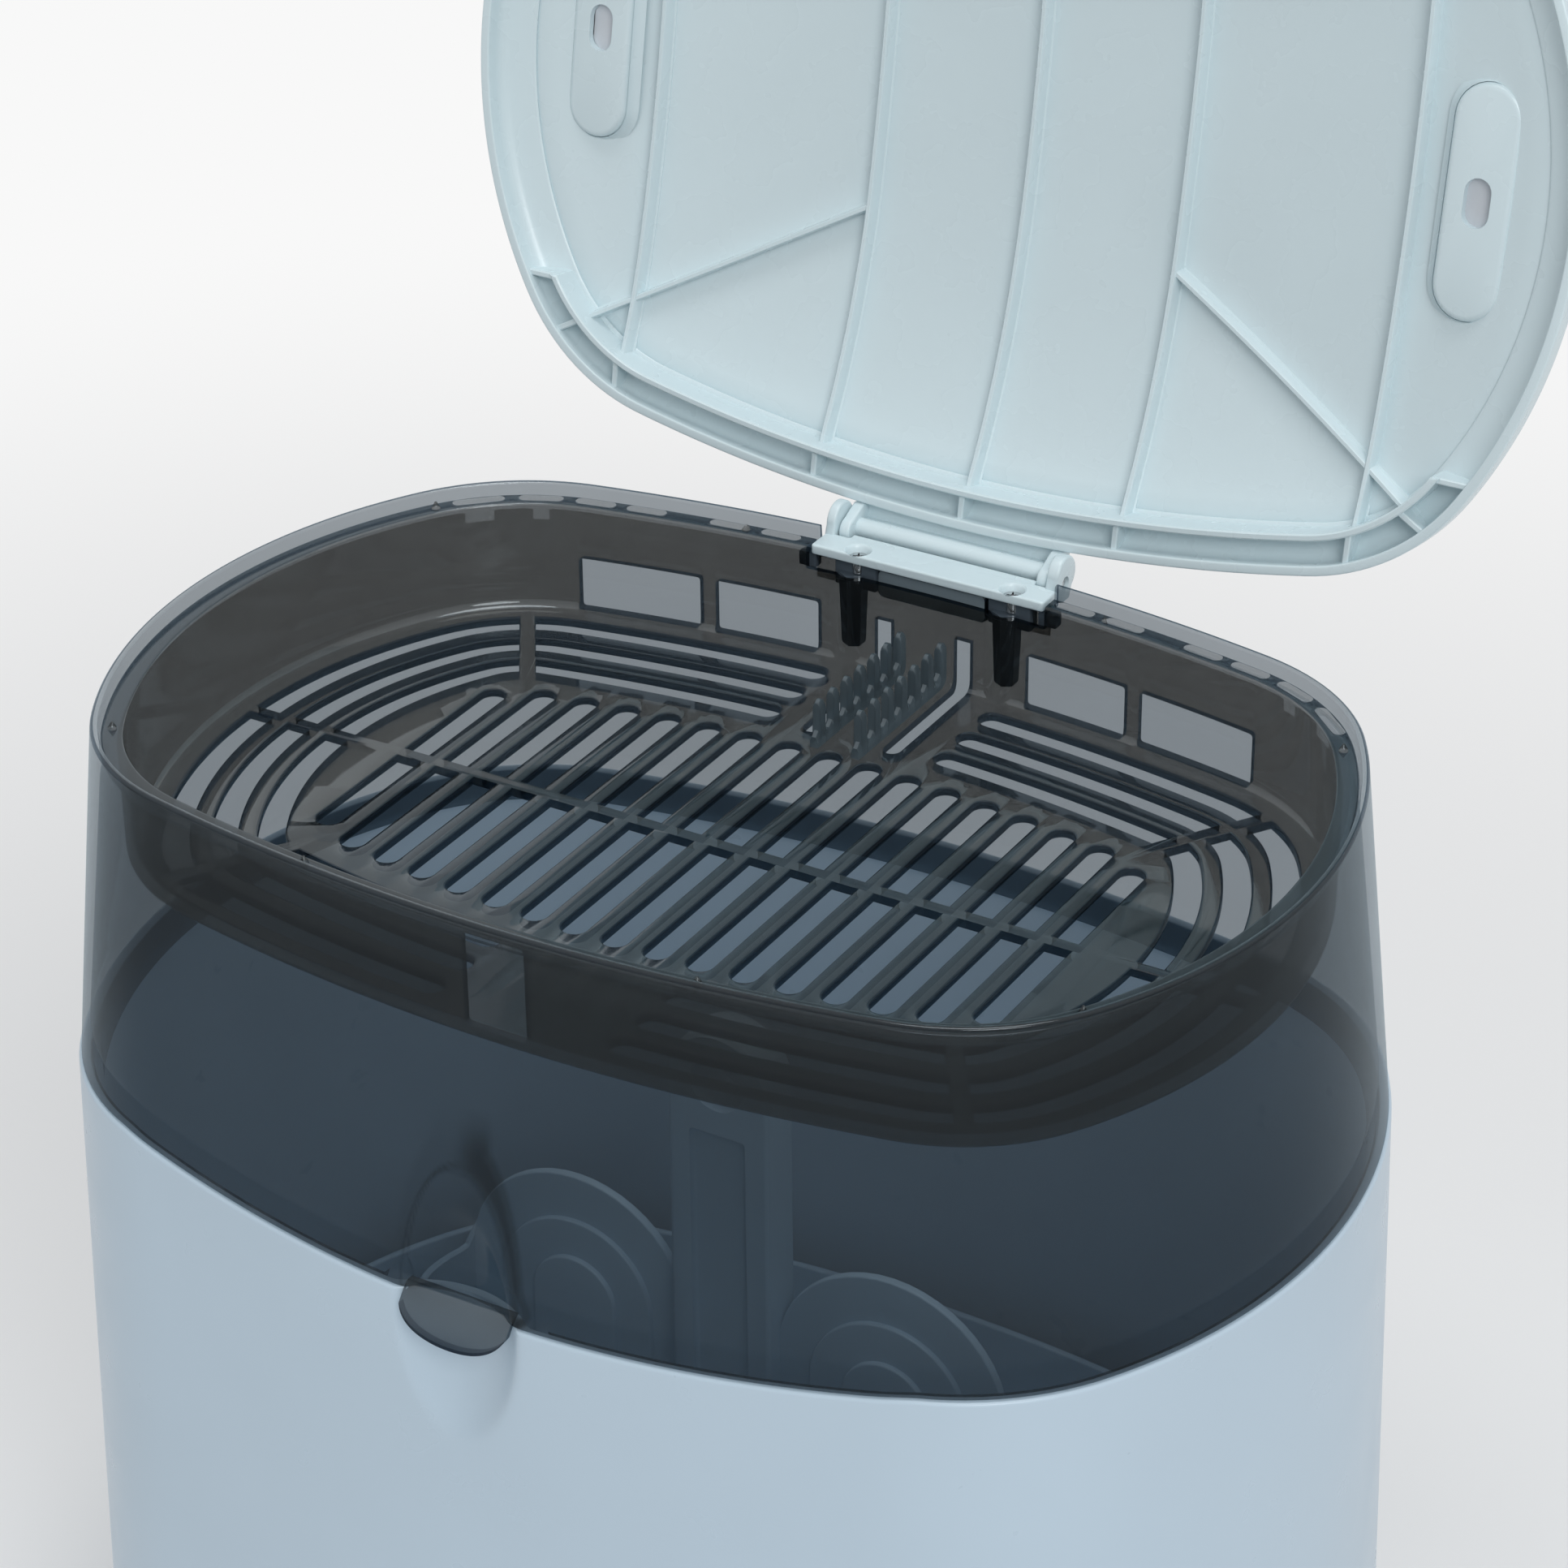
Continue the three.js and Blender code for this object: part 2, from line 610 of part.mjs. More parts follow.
// Heating plate, its seal, and the parts under it
const sealLow = DECK_HEIGHT + FIT;
const plateLow = sealLow + SEAL_THICK + FIT;
const heaterMiddle = plateLow - FIT - HEATER_TUBE;
addPart("plate_seal", tube(holeRadius + FIT, PLATE_RADIUS - FIT, sealLow, sealLow + SEAL_THICK), COLOURS.silicone);
addPart("heating_plate", turned([
  [0, plateLow], [PLATE_RADIUS, plateLow], [PLATE_RADIUS, plateLow + PLATE_RIM_HEIGHT],
  [PLATE_RADIUS - PLATE_THICK, plateLow + PLATE_RIM_HEIGHT], [PLATE_RADIUS - PLATE_THICK * 2, plateLow + PLATE_THICK],
  [0, plateLow + PLATE_THICK],
], ROUND_STEPS * 2), COLOURS.steel);

const heaterArc = new THREE.TorusGeometry(HEATER_RADIUS, HEATER_TUBE, SMALL_ROUND_STEPS / 2, ROUND_STEPS);
heaterArc.translate(0, 0, heaterMiddle);
const terminalGap = box(
  [-THERMOSTAT_RADIUS, -HEATER_RADIUS - OVERRUN * 2, heaterMiddle - OVERRUN],
  [THERMOSTAT_RADIUS, -HEATER_RADIUS / 2, heaterMiddle + OVERRUN],
);
const heaterPins = [-1, 1].map((side) => rod(
  HEATER_TUBE / 2, heaterMiddle - PLATE_RADIUS / 4, heaterMiddle,
  side * (THERMOSTAT_RADIUS + HEATER_TUBE), -HEATER_RADIUS + HEATER_TUBE / 2,
));
addPart("heater_element", union(solid(heaterArc).subtract(terminalGap), heaterPins), COLOURS.steel);
addPart("thermostat", union(
  rod(THERMOSTAT_RADIUS, plateLow - FIT - THERMOSTAT_HEIGHT, plateLow - FIT, 0, 0, ROUND_STEPS),
  box(
    [-THERMOSTAT_RADIUS * 1.5, -THERMOSTAT_RADIUS / 3, plateLow - FIT - THERMOSTAT_HEIGHT / 2],
    [THERMOSTAT_RADIUS * 1.5, THERMOSTAT_RADIUS / 3, plateLow - FIT - THERMOSTAT_HEIGHT / 3],
  ),
), COLOURS.dark);
addPart("thermal_fuse", rodX(
  FUSE_RADIUS, -FUSE_LENGTH / 2, FUSE_LENGTH / 2, FUSE_Y, plateLow - FIT - FUSE_RADIUS,
), COLOURS.steel);

// Control board with its relay, and the push switch behind the button
const boardTop = BOARD_HEIGHT + BOARD_SIZE[2];
addPart("control_board", union(
  box(
    [-BOARD_SIZE[0] / 2, BOARD_Y - BOARD_SIZE[1] / 2, BOARD_HEIGHT],
    [BOARD_SIZE[0] / 2, BOARD_Y + BOARD_SIZE[1] / 2, boardTop],
  ),
  box(
    [BOARD_SIZE[0] / 4 - RELAY_SIZE[0] / 2, BOARD_Y - RELAY_SIZE[1] / 2, boardTop - BOARD_SIZE[2] / 2],
    [BOARD_SIZE[0] / 4 + RELAY_SIZE[0] / 2, BOARD_Y + RELAY_SIZE[1] / 2, boardTop + RELAY_SIZE[2]],
  ),
), COLOURS.board);

const buttonFace = wallAtButton - BUTTON_PROUD;
const buttonBack = buttonFace + BUTTON_LENGTH;
const button = alongY(turned([
  [0, -BUTTON_LENGTH], [BUTTON_RADIUS + BUTTON_FLANGE, -BUTTON_LENGTH],
  [BUTTON_RADIUS + BUTTON_FLANGE, BUTTON_FLANGE - BUTTON_LENGTH], [BUTTON_RADIUS, BUTTON_FLANGE - BUTTON_LENGTH],
  [BUTTON_RADIUS, -BUTTON_PROUD / 2], [BUTTON_RADIUS - BUTTON_PROUD / 2, 0], [0, 0],
]), buttonFace, 0, BUTTON_HEIGHT);
addPart("power_button", button, COLOURS.blueInside);

const bezelInner = BUTTON_RADIUS + FIT;
const bezelOuter = BUTTON_RADIUS + BEZEL_WIDTH;
const bezelFront = FIT * 2;
const bezel = alongY(turned([
  [bezelInner, BUTTON_FLANGE + FIT - BUTTON_LENGTH + BUTTON_PROUD],
  [bezelOuter, BUTTON_FLANGE + FIT - BUTTON_LENGTH + BUTTON_PROUD],
  [bezelOuter, bezelFront], [bezelOuter + BEZEL_FLANGE, bezelFront + BEZEL_FLANGE / 2],
  [bezelOuter + BEZEL_FLANGE / 2, bezelFront + BEZEL_FLANGE], [bezelInner, bezelFront + BEZEL_FLANGE],
  [bezelInner, BUTTON_FLANGE + FIT - BUTTON_LENGTH + BUTTON_PROUD],
]), wallAtButton, 0, BUTTON_HEIGHT);
addPart("button_bezel", bezel, COLOURS.steel);

const switchFront = buttonBack + BUTTON_TRAVEL + FIT;
const switchBody = union(
  box(
    [-SWITCH_SIZE[0] / 2, switchFront, BUTTON_HEIGHT - SWITCH_SIZE[2] / 2],
    [SWITCH_SIZE[0] / 2, switchFront + SWITCH_SIZE[1], BUTTON_HEIGHT + SWITCH_SIZE[2] / 2],
  ),
  box(
    [-SWITCH_SIZE[0] / 4, switchFront + SWITCH_SIZE[1] / 2, boardTop + FIT],
    [SWITCH_SIZE[0] / 4, switchFront + SWITCH_SIZE[1], BUTTON_HEIGHT],
  ),
);
addPart("push_switch", switchBody, COLOURS.dark);
addPart("indicator_lens", alongY(turned([
  [0, -BODY_WALL - FIT], [LENS_RADIUS, -BODY_WALL - FIT], [LENS_RADIUS, FIT], [LENS_RADIUS / 2, LENS_RADIUS / 3],
  [0, LENS_RADIUS / 2],
], SMALL_ROUND_STEPS), wallAtLens, 0, lensZ), COLOURS.lens);

// Inlet gland for the cord, at the back
addPart("cord_gland", alongY(turned([
  [GLAND_BORE, -GLAND_FLANGE], [GLAND_RADIUS + GLAND_FLANGE, -GLAND_FLANGE], [GLAND_RADIUS + GLAND_FLANGE, -FIT * 2],
  [GLAND_RADIUS, -FIT * 2], [GLAND_RADIUS, GLAND_LENGTH], [GLAND_BORE, GLAND_LENGTH], [GLAND_BORE, -GLAND_FLANGE],
], SMALL_ROUND_STEPS), wallAtGland + FIT, GLAND_X, GLAND_HEIGHT), COLOURS.dark);

// Bottle basket: a rimmed floor with six stepped bottle cups and two lifting posts
const basketGrow = bodyGrowAt(DECK_HEIGHT) - BODY_WALL - BASKET_CLEARANCE - SCOOP_DEPTH;
const basketFloor = DECK_HEIGHT + BASKET_FLOOR_HEIGHT;
const basketTop = basketFloor + BASKET_FLOOR_THICK;
const cupColumns = [["left", -CUP_PITCH_X], ["mid", 0], ["right", CUP_PITCH_X]];
const cupRows = [["front", -CUP_PITCH_Y / 2], ["back", CUP_PITCH_Y / 2]];
const cupPlaces = cupColumns.flatMap(([column, x]) => cupRows.map(([row, y]) => [`${column}_${row}`, x, y]));
const cupHoles = cupPlaces.map(([, x, y]) =>
  rod(CUP_FLOOR_HOLE, basketFloor - OVERRUN, basketTop + OVERRUN, x, y, ROUND_STEPS));
const basketShell = loft([
  [basketGrow - BASKET_WALL, basketTop],
  [basketGrow - BASKET_WALL, basketTop + BASKET_RIM_HEIGHT],
  [basketGrow, basketTop + BASKET_RIM_HEIGHT],
  [basketGrow - BASKET_WALL / 2, basketFloor],
]);
const basketFeet = [-1, 1].flatMap((a) => [-1, 1].map((b) => rod(
  BASKET_FOOT_RADIUS, DECK_HEIGHT + FIT, basketFloor + BASKET_FLOOR_THICK / 2, a * BASKET_FOOT_X, b * BASKET_FOOT_Y,
)));
addPart("basket_rack", union(basketShell.subtract(union(cupHoles)), basketFeet), COLOURS.blueInside);

// Each cup's wall climbs in steps towards the long side of the basket
const standing = basketTop + FIT;
cupPlaces.forEach(([place, x, y]) => {
  const steps = CUP_STEPS.map(([height, start]) => {
    const wall = tube(CUP_RADIUS - CUP_WALL, CUP_RADIUS, standing, standing + height, x, y);
    const near = y + Math.sign(y) * (start - CUP_RADIUS);
    const far = y + Math.sign(y) * (CUP_RADIUS + OVERRUN);
    return wall.intersect(box(
      [x - CUP_RADIUS - OVERRUN, Math.min(near, far), basketFloor],
      [x + CUP_RADIUS + OVERRUN, Math.max(near, far), standing + height + OVERRUN],
    ));
  });
  addPart(`bottle_cup_${place}`, union(steps), COLOURS.blueInside);
});

// Lifting post with a finger hole, and the arched dividers beside it
const postHigh = basketTop + LIFT_POST_HEIGHT;
const liftPost = box(
  [-LIFT_POST_WIDTH / 2, -LIFT_POST_DEPTH / 2, standing],
  [LIFT_POST_WIDTH / 2, LIFT_POST_DEPTH / 2, postHigh],
);
const liftGrooves = [-1, 1].map((side) => box(
  [-LIFT_GROOVE_WIDTH / 2, side < 0 ? -LIFT_POST_DEPTH : LIFT_POST_DEPTH / 2 - LIFT_GROOVE_DEPTH, standing + OVERRUN],
  [LIFT_GROOVE_WIDTH / 2, side < 0 ? LIFT_GROOVE_DEPTH - LIFT_POST_DEPTH / 2 : LIFT_POST_DEPTH, postHigh - LIFT_KNOB_RADIUS],
));
const liftKnob = alongY(rod(
  LIFT_KNOB_RADIUS, -LIFT_POST_DEPTH / 2, LIFT_POST_DEPTH / 2, 0, 0, ROUND_STEPS,
), 0, 0, postHigh);
const knobHole = alongY(rod(LIFT_KNOB_RADIUS / 2, -LIFT_POST_DEPTH, LIFT_POST_DEPTH), 0, 0, postHigh);
function archPlate(centre, radius, top, thick) {
  const shape = new THREE.Shape();
  shape.moveTo(centre - radius, 0);
  shape.lineTo(centre + radius, 0);
  shape.lineTo(centre + radius, top - radius);
  shape.absarc(centre, top - radius, radius, 0, Math.PI, false);
  const geometry = new THREE.ExtrudeGeometry(shape, { depth: thick, bevelEnabled: false, curveSegments: 6 });
  geometry.rotateX(Math.PI / 2);
  geometry.translate(0, thick / 2, standing);
  return solid(geometry);
}
const arches = [-1, 1].flatMap((side) => ARCH_LAYERS.map(([radius, top, thick]) =>
  archPlate(side * ARCH_X, radius, top, thick)));
addPart("lift_post", union(liftPost.subtract(union(liftGrooves)), liftKnob, arches).subtract(knobHole), COLOURS.blueInside);

// Hood: wall, rim lip, ledge for the tray, spigot into the body
const rimFlareAt = (drop) => SEAM_FLARE * drop / SEAM_DROP;
const flangeTop = RIM_HEIGHT - LIP_HEIGHT;
const flangeUnder = flangeTop - FLANGE_THICK;
const ledgeTop = flangeUnder - FIT;
const ledgeGrow = -LIP_THICK - LEDGE_WIDTH;
const ledgeFoot = LIP_HEIGHT + FLANGE_THICK + LEDGE_THICK + LEDGE_TAPER;
const spigotFoot = FIT - SKIRT_DEPTH;
const hoodShell = loft([
  [0, RIM_HEIGHT],
  [SEAM_FLARE, overSeam(FIT)],
  [skirtOuter, overSeam(FIT)],
  [skirtOuter, overSeam(spigotFoot)],
  [skirtOuter - SKIRT_WALL, overSeam(spigotFoot)],
  [skirtOuter - SKIRT_WALL, overSeam(SKIRT_WALL)],
  [SEAM_FLARE - HOOD_WALL, overSeam(SKIRT_DEPTH)],
  [rimFlareAt(ledgeFoot) - HOOD_WALL, RIM_HEIGHT - ledgeFoot],
  [ledgeGrow, ledgeTop - LEDGE_THICK],
  [ledgeGrow, ledgeTop],
  [-LIP_THICK, ledgeTop],
  [-LIP_THICK, RIM_HEIGHT],
], true);
const hoodFront = frontAt(SEAM_FLARE);
const archShape = (extra) => hollow(GRIP_HALF_WIDTH, GRIP_HEIGHT, GRIP_DEPTH, extra, hoodFront, FRONT_SEAM);
const hoodInside = loft([
  [SEAM_FLARE - HOOD_WALL / 2, overSeam(FIT)],
  [rimFlareAt(ledgeFoot) - HOOD_WALL / 2, RIM_HEIGHT - ledgeFoot],
]);
const archBacking = archShape(HOOD_WALL).intersect(hoodInside);
const gripKeepOut = box(
  [-GRIP_HALF_WIDTH - BODY_WALL * 2, hoodFront - OVERRUN, FRONT_SEAM - SKIRT_DEPTH - OVERRUN],
  [GRIP_HALF_WIDTH + BODY_WALL * 2, hoodFront + SCOOP_DEPTH + OVERRUN * 2, FRONT_SEAM + FIT],
);
const tongueTop = hoodFront + GRIP_DEPTH;
const tongueTip = tongueTop - TONGUE_REACH;
const tongueLens = new THREE.CylinderGeometry(1, 1, OVERRUN * 8, ROUND_STEPS);
tongueLens.scale(GRIP_HALF_WIDTH, 1, TONGUE_DROP);
tongueLens.translate(0, tongueTop, FRONT_SEAM);
const tongue = drawnX([
  [tongueTop, FRONT_SEAM + FIT * 2 + TONGUE_THICK],
  [tongueTop, FRONT_SEAM],
  [tongueTip, FRONT_SEAM - TONGUE_DROP],
  [tongueTip + TONGUE_THICK, FRONT_SEAM - TONGUE_DROP],
  [tongueTop + TONGUE_THICK, FRONT_SEAM],
  [tongueTop + TONGUE_THICK, FRONT_SEAM + FIT * 2 + TONGUE_THICK],
], -GRIP_HALF_WIDTH, GRIP_HALF_WIDTH).intersect(solid(tongueLens)).intersect(union(
  scoopShape(-FIT * 2),
  box(
    [-GRIP_HALF_WIDTH, hoodFront - OVERRUN, FRONT_SEAM + FIT * 4],
    [GRIP_HALF_WIDTH, hoodFront + OVERRUN * 2, FRONT_SEAM + OVERRUN],
  ),
));

// Where the hinge bracket stands on the hood
const axisY = RIM_HALF_DEPTH + HINGE_BACK;
const axisZ = RIM_HEIGHT - HINGE_DROP;
const bracketTop = RIM_HEIGHT - BRACKET_DROP;
const bracketUnder = bracketTop - BRACKET_THICK;
const padTop = bracketUnder - FIT;
const screwY = RIM_HALF_DEPTH - BRACKET_SCREW_INSET;
const padFront = RIM_HALF_DEPTH - PAD_INSET;
const screwSides = [["left", -1], ["right", 1]];
const pad = box([-NOTCH_HALF_WIDTH, padFront, padTop - PAD_THICK], [NOTCH_HALF_WIDTH, RIM_HALF_DEPTH - LIP_THICK / 2, padTop]);
const hoodPosts = screwSides.map(([, side]) => {
  const post = new THREE.CylinderGeometry(POST_RADIUS, POST_RADIUS * 0.8, POST_LENGTH, 6);
  post.rotateX(Math.PI / 2);
  post.translate(side * BRACKET_SCREW_X, screwY, padTop - PAD_THICK / 2 - POST_LENGTH / 2);
  return solid(post);
});
const postBores = screwSides.map(([, side]) => rod(
  BRACKET_SCREW_SHANK + FIT, bracketTop - BRACKET_SCREW_LENGTH - FIT, RIM_HEIGHT, side * BRACKET_SCREW_X, screwY,
));
const notch = box(
  [-NOTCH_HALF_WIDTH, padFront - OVERRUN, padTop], [NOTCH_HALF_WIDTH, axisY, RIM_HEIGHT + OVERRUN],
);
const hood = union(hoodShell, archBacking)
  .subtract(archShape(0))
  .subtract(gripKeepOut)
  .subtract(notch)
  .add(union(tongue, pad, hoodPosts))
  .subtract(union(postBores))
  .subtract(rodX(EAR_RADIUS + SLIDE_FIT, -NOTCH_HALF_WIDTH, NOTCH_HALF_WIDTH, axisY, axisZ, ROUND_STEPS));
addPart("hood", hood, COLOURS.smoke);

// Hinge bracket, its screws and its pins
const bracketFront = RIM_HALF_DEPTH - BRACKET_FRONT;
const corner = BRACKET_FRONT / 3;
const plateShape = new THREE.Shape([
  [-BRACKET_HALF_WIDTH, axisY - BARREL_RADIUS - SLIDE_FIT], [-BRACKET_HALF_WIDTH, bracketFront + corner],
  [corner - BRACKET_HALF_WIDTH, bracketFront], [BRACKET_HALF_WIDTH - corner, bracketFront],
  [BRACKET_HALF_WIDTH, bracketFront + corner], [BRACKET_HALF_WIDTH, axisY - BARREL_RADIUS - SLIDE_FIT],
].map(([x, y]) => new THREE.Vector2(x, y)));
const earInner = EAR_OUTER - EAR_THICK;
const ears = screwSides.map(([, side]) => {
  const from = side < 0 ? -EAR_OUTER : earInner;
  const to = from + EAR_THICK;
  return union(
    rodX(EAR_RADIUS, from, to, axisY, axisZ, ROUND_STEPS),
    box([from, padFront, bracketUnder], [to, axisY, bracketTop]),
  );
});
const screwHeads = screwSides.map(([, side]) => turned([
  [0, bracketTop - BRACKET_THICK - FIT], [BRACKET_SCREW_SHANK + FIT, bracketTop - BRACKET_THICK - FIT],
  [BRACKET_SCREW_SHANK + FIT, bracketTop - BRACKET_SCREW_HEAD / 2], [BRACKET_SCREW_HEAD + FIT, bracketTop],
  [BRACKET_SCREW_HEAD + FIT, bracketTop + FIT], [0, bracketTop + FIT],
], SMALL_ROUND_STEPS, side * BRACKET_SCREW_X, screwY));
const pinBores = rodX(HINGE_PIN_RADIUS + FIT, -EAR_OUTER - FIT, EAR_OUTER + FIT, axisY, axisZ);
addPart("hinge_bracket", union(raised(plateShape, bracketUnder, bracketTop), ears)
  .subtract(union(screwHeads)).subtract(pinBores), COLOURS.blue);

screwSides.forEach(([place, side]) => {
  addPart(`hinge_screw_${place}`, turned([
    [0, bracketTop - BRACKET_SCREW_LENGTH], [BRACKET_SCREW_SHANK, bracketTop - BRACKET_SCREW_LENGTH],
    [BRACKET_SCREW_SHANK, bracketTop - BRACKET_SCREW_HEAD / 2], [BRACKET_SCREW_HEAD, bracketTop],
    [0, bracketTop],
  ], SMALL_ROUND_STEPS, side * BRACKET_SCREW_X, screwY), COLOURS.steel);
  const from = side < 0 ? -EAR_OUTER : earInner - HINGE_PIN_REACH;
  const length = EAR_THICK + HINGE_PIN_REACH;
  addPart(`hinge_pin_${place}`, rodX(HINGE_PIN_RADIUS, from, from + length, axisY, axisZ), COLOURS.steel);
});

// Accessory tray
const floorTop = RIM_HEIGHT - TRAY_DEPTH;
const floorUnder = floorTop - TRAY_FLOOR_THICK;
const wallGrow = -WALL_INSET;
const trayShell = loft([
  [wallGrow - TRAY_WALL - TRAY_FILLET, floorTop],
  [wallGrow - TRAY_WALL - TRAY_FILLET / 3, floorTop + TRAY_FILLET / 3],
  [wallGrow - TRAY_WALL, floorTop + TRAY_FILLET],
  [wallGrow - TRAY_WALL, flangeTop],
  [-LIP_THICK - SLIDE_FIT, flangeTop],
  [-LIP_THICK - SLIDE_FIT, flangeUnder],
  [wallGrow, flangeUnder],
  [wallGrow, floorUnder + TRAY_FILLET],
  [wallGrow - TRAY_FILLET / 3, floorUnder + TRAY_FILLET / 3],
  [wallGrow - TRAY_FILLET, floorUnder],
]);
const cutLow = floorUnder - OVERRUN;
const cutHigh = floorTop + OVERRUN;
const slots = Array.from({ length: SLOT_COUNT }, (_, index) => {
  const x = (index - (SLOT_COUNT - 1) / 2) * SLOT_PITCH;
  const reach = edgeAt(x, -SLOT_INSET) - SLOT_WIDTH / 2;
  const from = (MID_RIB_WIDTH + SLOT_WIDTH) / 2;
  return [-1, 1].map((side) => raised(stadium([x, side * from], [x, side * reach], SLOT_WIDTH), cutLow, cutHigh));
});
const midRib = box([-RIM_HALF_WIDTH, -MID_RIB_WIDTH / 2, cutLow], [RIM_HALF_WIDTH, MID_RIB_WIDTH / 2, cutHigh]);
const cornerRibs = [-1, 1].flatMap((a) => [-1, 1].map((b) => turnedBox(
  [CORNER_RIB_RUN, CORNER_RIB_WIDTH, cutHigh - cutLow],
  [a * CORNER_RIB_X, b * CORNER_RIB_Y, (cutHigh + cutLow) / 2], a * b * CORNER_RIB_TURN,
)));
const rows = Array.from({ length: ROW_COUNT }, (_, order) => {
  const inset = ROW_INSET + order * ROW_PITCH;
  const outer = ROW_WIDTH / 2 - inset;
  const inner = -ROW_WIDTH / 2 - inset;
  const band = loft([[outer, cutLow], [outer, cutHigh]]).subtract(loft([[inner, cutLow - FIT], [inner, cutHigh + FIT]]));
  const start = ROW_CENTRE_HALF_GAP + ROW_WIDTH / 2;
  const across = box([-start, -RIM_HALF_DEPTH, cutLow], [start, RIM_HALF_DEPTH, cutHigh]);
  const ends = [-1, 1].flatMap((a) => [-1, 1].map((b) =>
    rod(ROW_WIDTH / 2, cutLow, cutHigh, a * start, b * edgeAt(start, -inset))));
  return band.subtract(across).add(union(ends));
});
const rowCuts = union(rows).subtract(union(midRib, cornerRibs));
const windowLow = floorTop + WINDOW_SILL;
const windows = [-1, 1].flatMap((side) => Object.values(WINDOW_SPANS).map(([near, far]) => box(
  [side < 0 ? -far : near, edgeAt(far, -WALL_INSET) - TRAY_WALL * 3, windowLow],
  [side < 0 ? -near : far, RIM_HALF_DEPTH, windowLow + WINDOW_HEIGHT],
)));
const frontWindow = box(
  [-FRONT_WINDOW_HALF_WIDTH, -RIM_HALF_DEPTH, windowLow],
  [FRONT_WINDOW_HALF_WIDTH, TRAY_WALL * 2 - RIM_HALF_DEPTH + WALL_INSET, windowLow + FRONT_WINDOW_HEIGHT],
);
const backSlots = [-1, 1].map((side) => raised(
  stadium([side * BACK_SLOT_X, BACK_SLOT_START], [side * BACK_SLOT_X, RIM_HALF_DEPTH], BACK_SLOT_WIDTH),
  cutLow, floorTop + BACK_SLOT_RISE,
));
const flangeHoles = FLANGE_HOLES.flatMap((x) => [-1, 1].map((side) => {
  const inset = -FLANGE_HOLE_INSET;
  const reach = FLANGE_HOLE_LENGTH / 2 - FLANGE_HOLE_WIDTH / 2;
  const ends = [x - reach, x + reach].map((place) => [side * place, edgeAt(place, inset)]);
  return raised(stadium(ends[0], ends[1], FLANGE_HOLE_WIDTH), flangeUnder - FIT, flangeTop + OVERRUN);
}));
const combs = [-1, 1].flatMap((side) => {
  const x = side * COMB_HALF_GAP;
  const finEnd = RIM_HALF_DEPTH + wallGrow - TRAY_WALL / 2;
  const fin = box(
    [x - COMB_THICK / 2, COMB_START - PIN_WIDTH, floorTop - TRAY_FLOOR_THICK / 2],
    [x + COMB_THICK / 2, finEnd, floorTop + FIN_HEIGHT],
  );
  const pins = Array.from({ length: COMB_COUNT }, (_, index) => {
    const y = COMB_START + index * COMB_PITCH;
    return box(
      [x - COMB_THICK / 2, y - PIN_WIDTH / 2, floorTop],
      [x + COMB_THICK / 2, Math.min(y + PIN_WIDTH / 2, finEnd), floorTop + PIN_HEIGHT],
    );
  });
  return [fin, ...pins];
});
const flutes = (extra) => screwSides.map(([, side]) => rod(
  POST_RADIUS + SLIDE_FIT + extra, extra ? floorTop : floorTop + TRAY_WALL, padTop - FIT,
  side * BRACKET_SCREW_X, screwY,
));
const trayRegion = loft([[wallGrow, floorUnder], [wallGrow, RIM_HEIGHT]]);
const nubs = NUB_TURNS.flatMap((turn) => [-1, 1].slice(0, turn > Math.PI ? 1 : 2).map((side) => {
  const place = outline(-LIP_THICK - SLIDE_FIT - NUB_WIDTH)
    .reduce((best, point) => {
      const away = (candidate) => Math.abs(Math.atan2(candidate[1] * side, candidate[0]) - turn);
      return away(point) < away(best) ? point : best;
    });
  const nub = new THREE.ConeGeometry(NUB_BASE, NUB_HEIGHT + FLANGE_THICK / 2, 8);
  nub.rotateX(Math.PI / 2);
  nub.translate(place[0], place[1], flangeTop + NUB_HEIGHT / 2 - FLANGE_THICK / 4);
  return solid(nub);
}));
const bracketWay = box(
  [-NOTCH_HALF_WIDTH - FIT, bracketFront - FIT * 2, padTop - TRAY_TRAVEL], [NOTCH_HALF_WIDTH + FIT, axisY, RIM_HEIGHT],
).add(box(
  [-NOTCH_HALF_WIDTH - FIT, padFront - SLIDE_FIT, padTop - PAD_THICK - TRAY_TRAVEL - FIT],
  [NOTCH_HALF_WIDTH + FIT, axisY, RIM_HEIGHT],
));
const tray = trayShell
  .subtract(union(slots.flat(), rowCuts, windows, frontWindow, backSlots))
  .add(union(flutes(TRAY_WALL)).intersect(trayRegion))
  .add(union(combs))
  .subtract(union(flutes(0)))
  .subtract(union(flangeHoles))
  .subtract(bracketWay)
  .add(union(nubs));
addPart("upper_tray", tray, COLOURS.smoke);

// Lid, built closed: its rim plane is just over the hood's rim, and its group turns it open
const lidGroup = new THREE.Group();
lidGroup.position.set(0, axisY, axisZ);
lidGroup.rotation.x = -LID_OPEN_TURN;
object.add(lidGroup);
const lidRim = RIM_HEIGHT + FIT;
const domeAt = (share, edge, top) => top - (top - edge) * share ** DOME_POWER;
const domeRings = (edge, top) => [1, ...DOME_SHARES].map((share) => [-LID_BAND, lidRim + domeAt(share, edge, top), share]);
const outerProfile = [
  [-LID_INSET, lidRim],
  [-LID_INSET, lidRim + LID_SIDE_HEIGHT - LID_EDGE],
  [-LID_INSET - LID_EDGE, lidRim + LID_SIDE_HEIGHT + LID_EDGE],
  [-LID_INSET - LID_WALL - LID_EDGE, lidRim + LID_INNER_EDGE + LID_SKIN / 2],
  ...domeRings(LID_INNER_EDGE + LID_SKIN, LID_INNER_TOP + LID_SKIN),
];
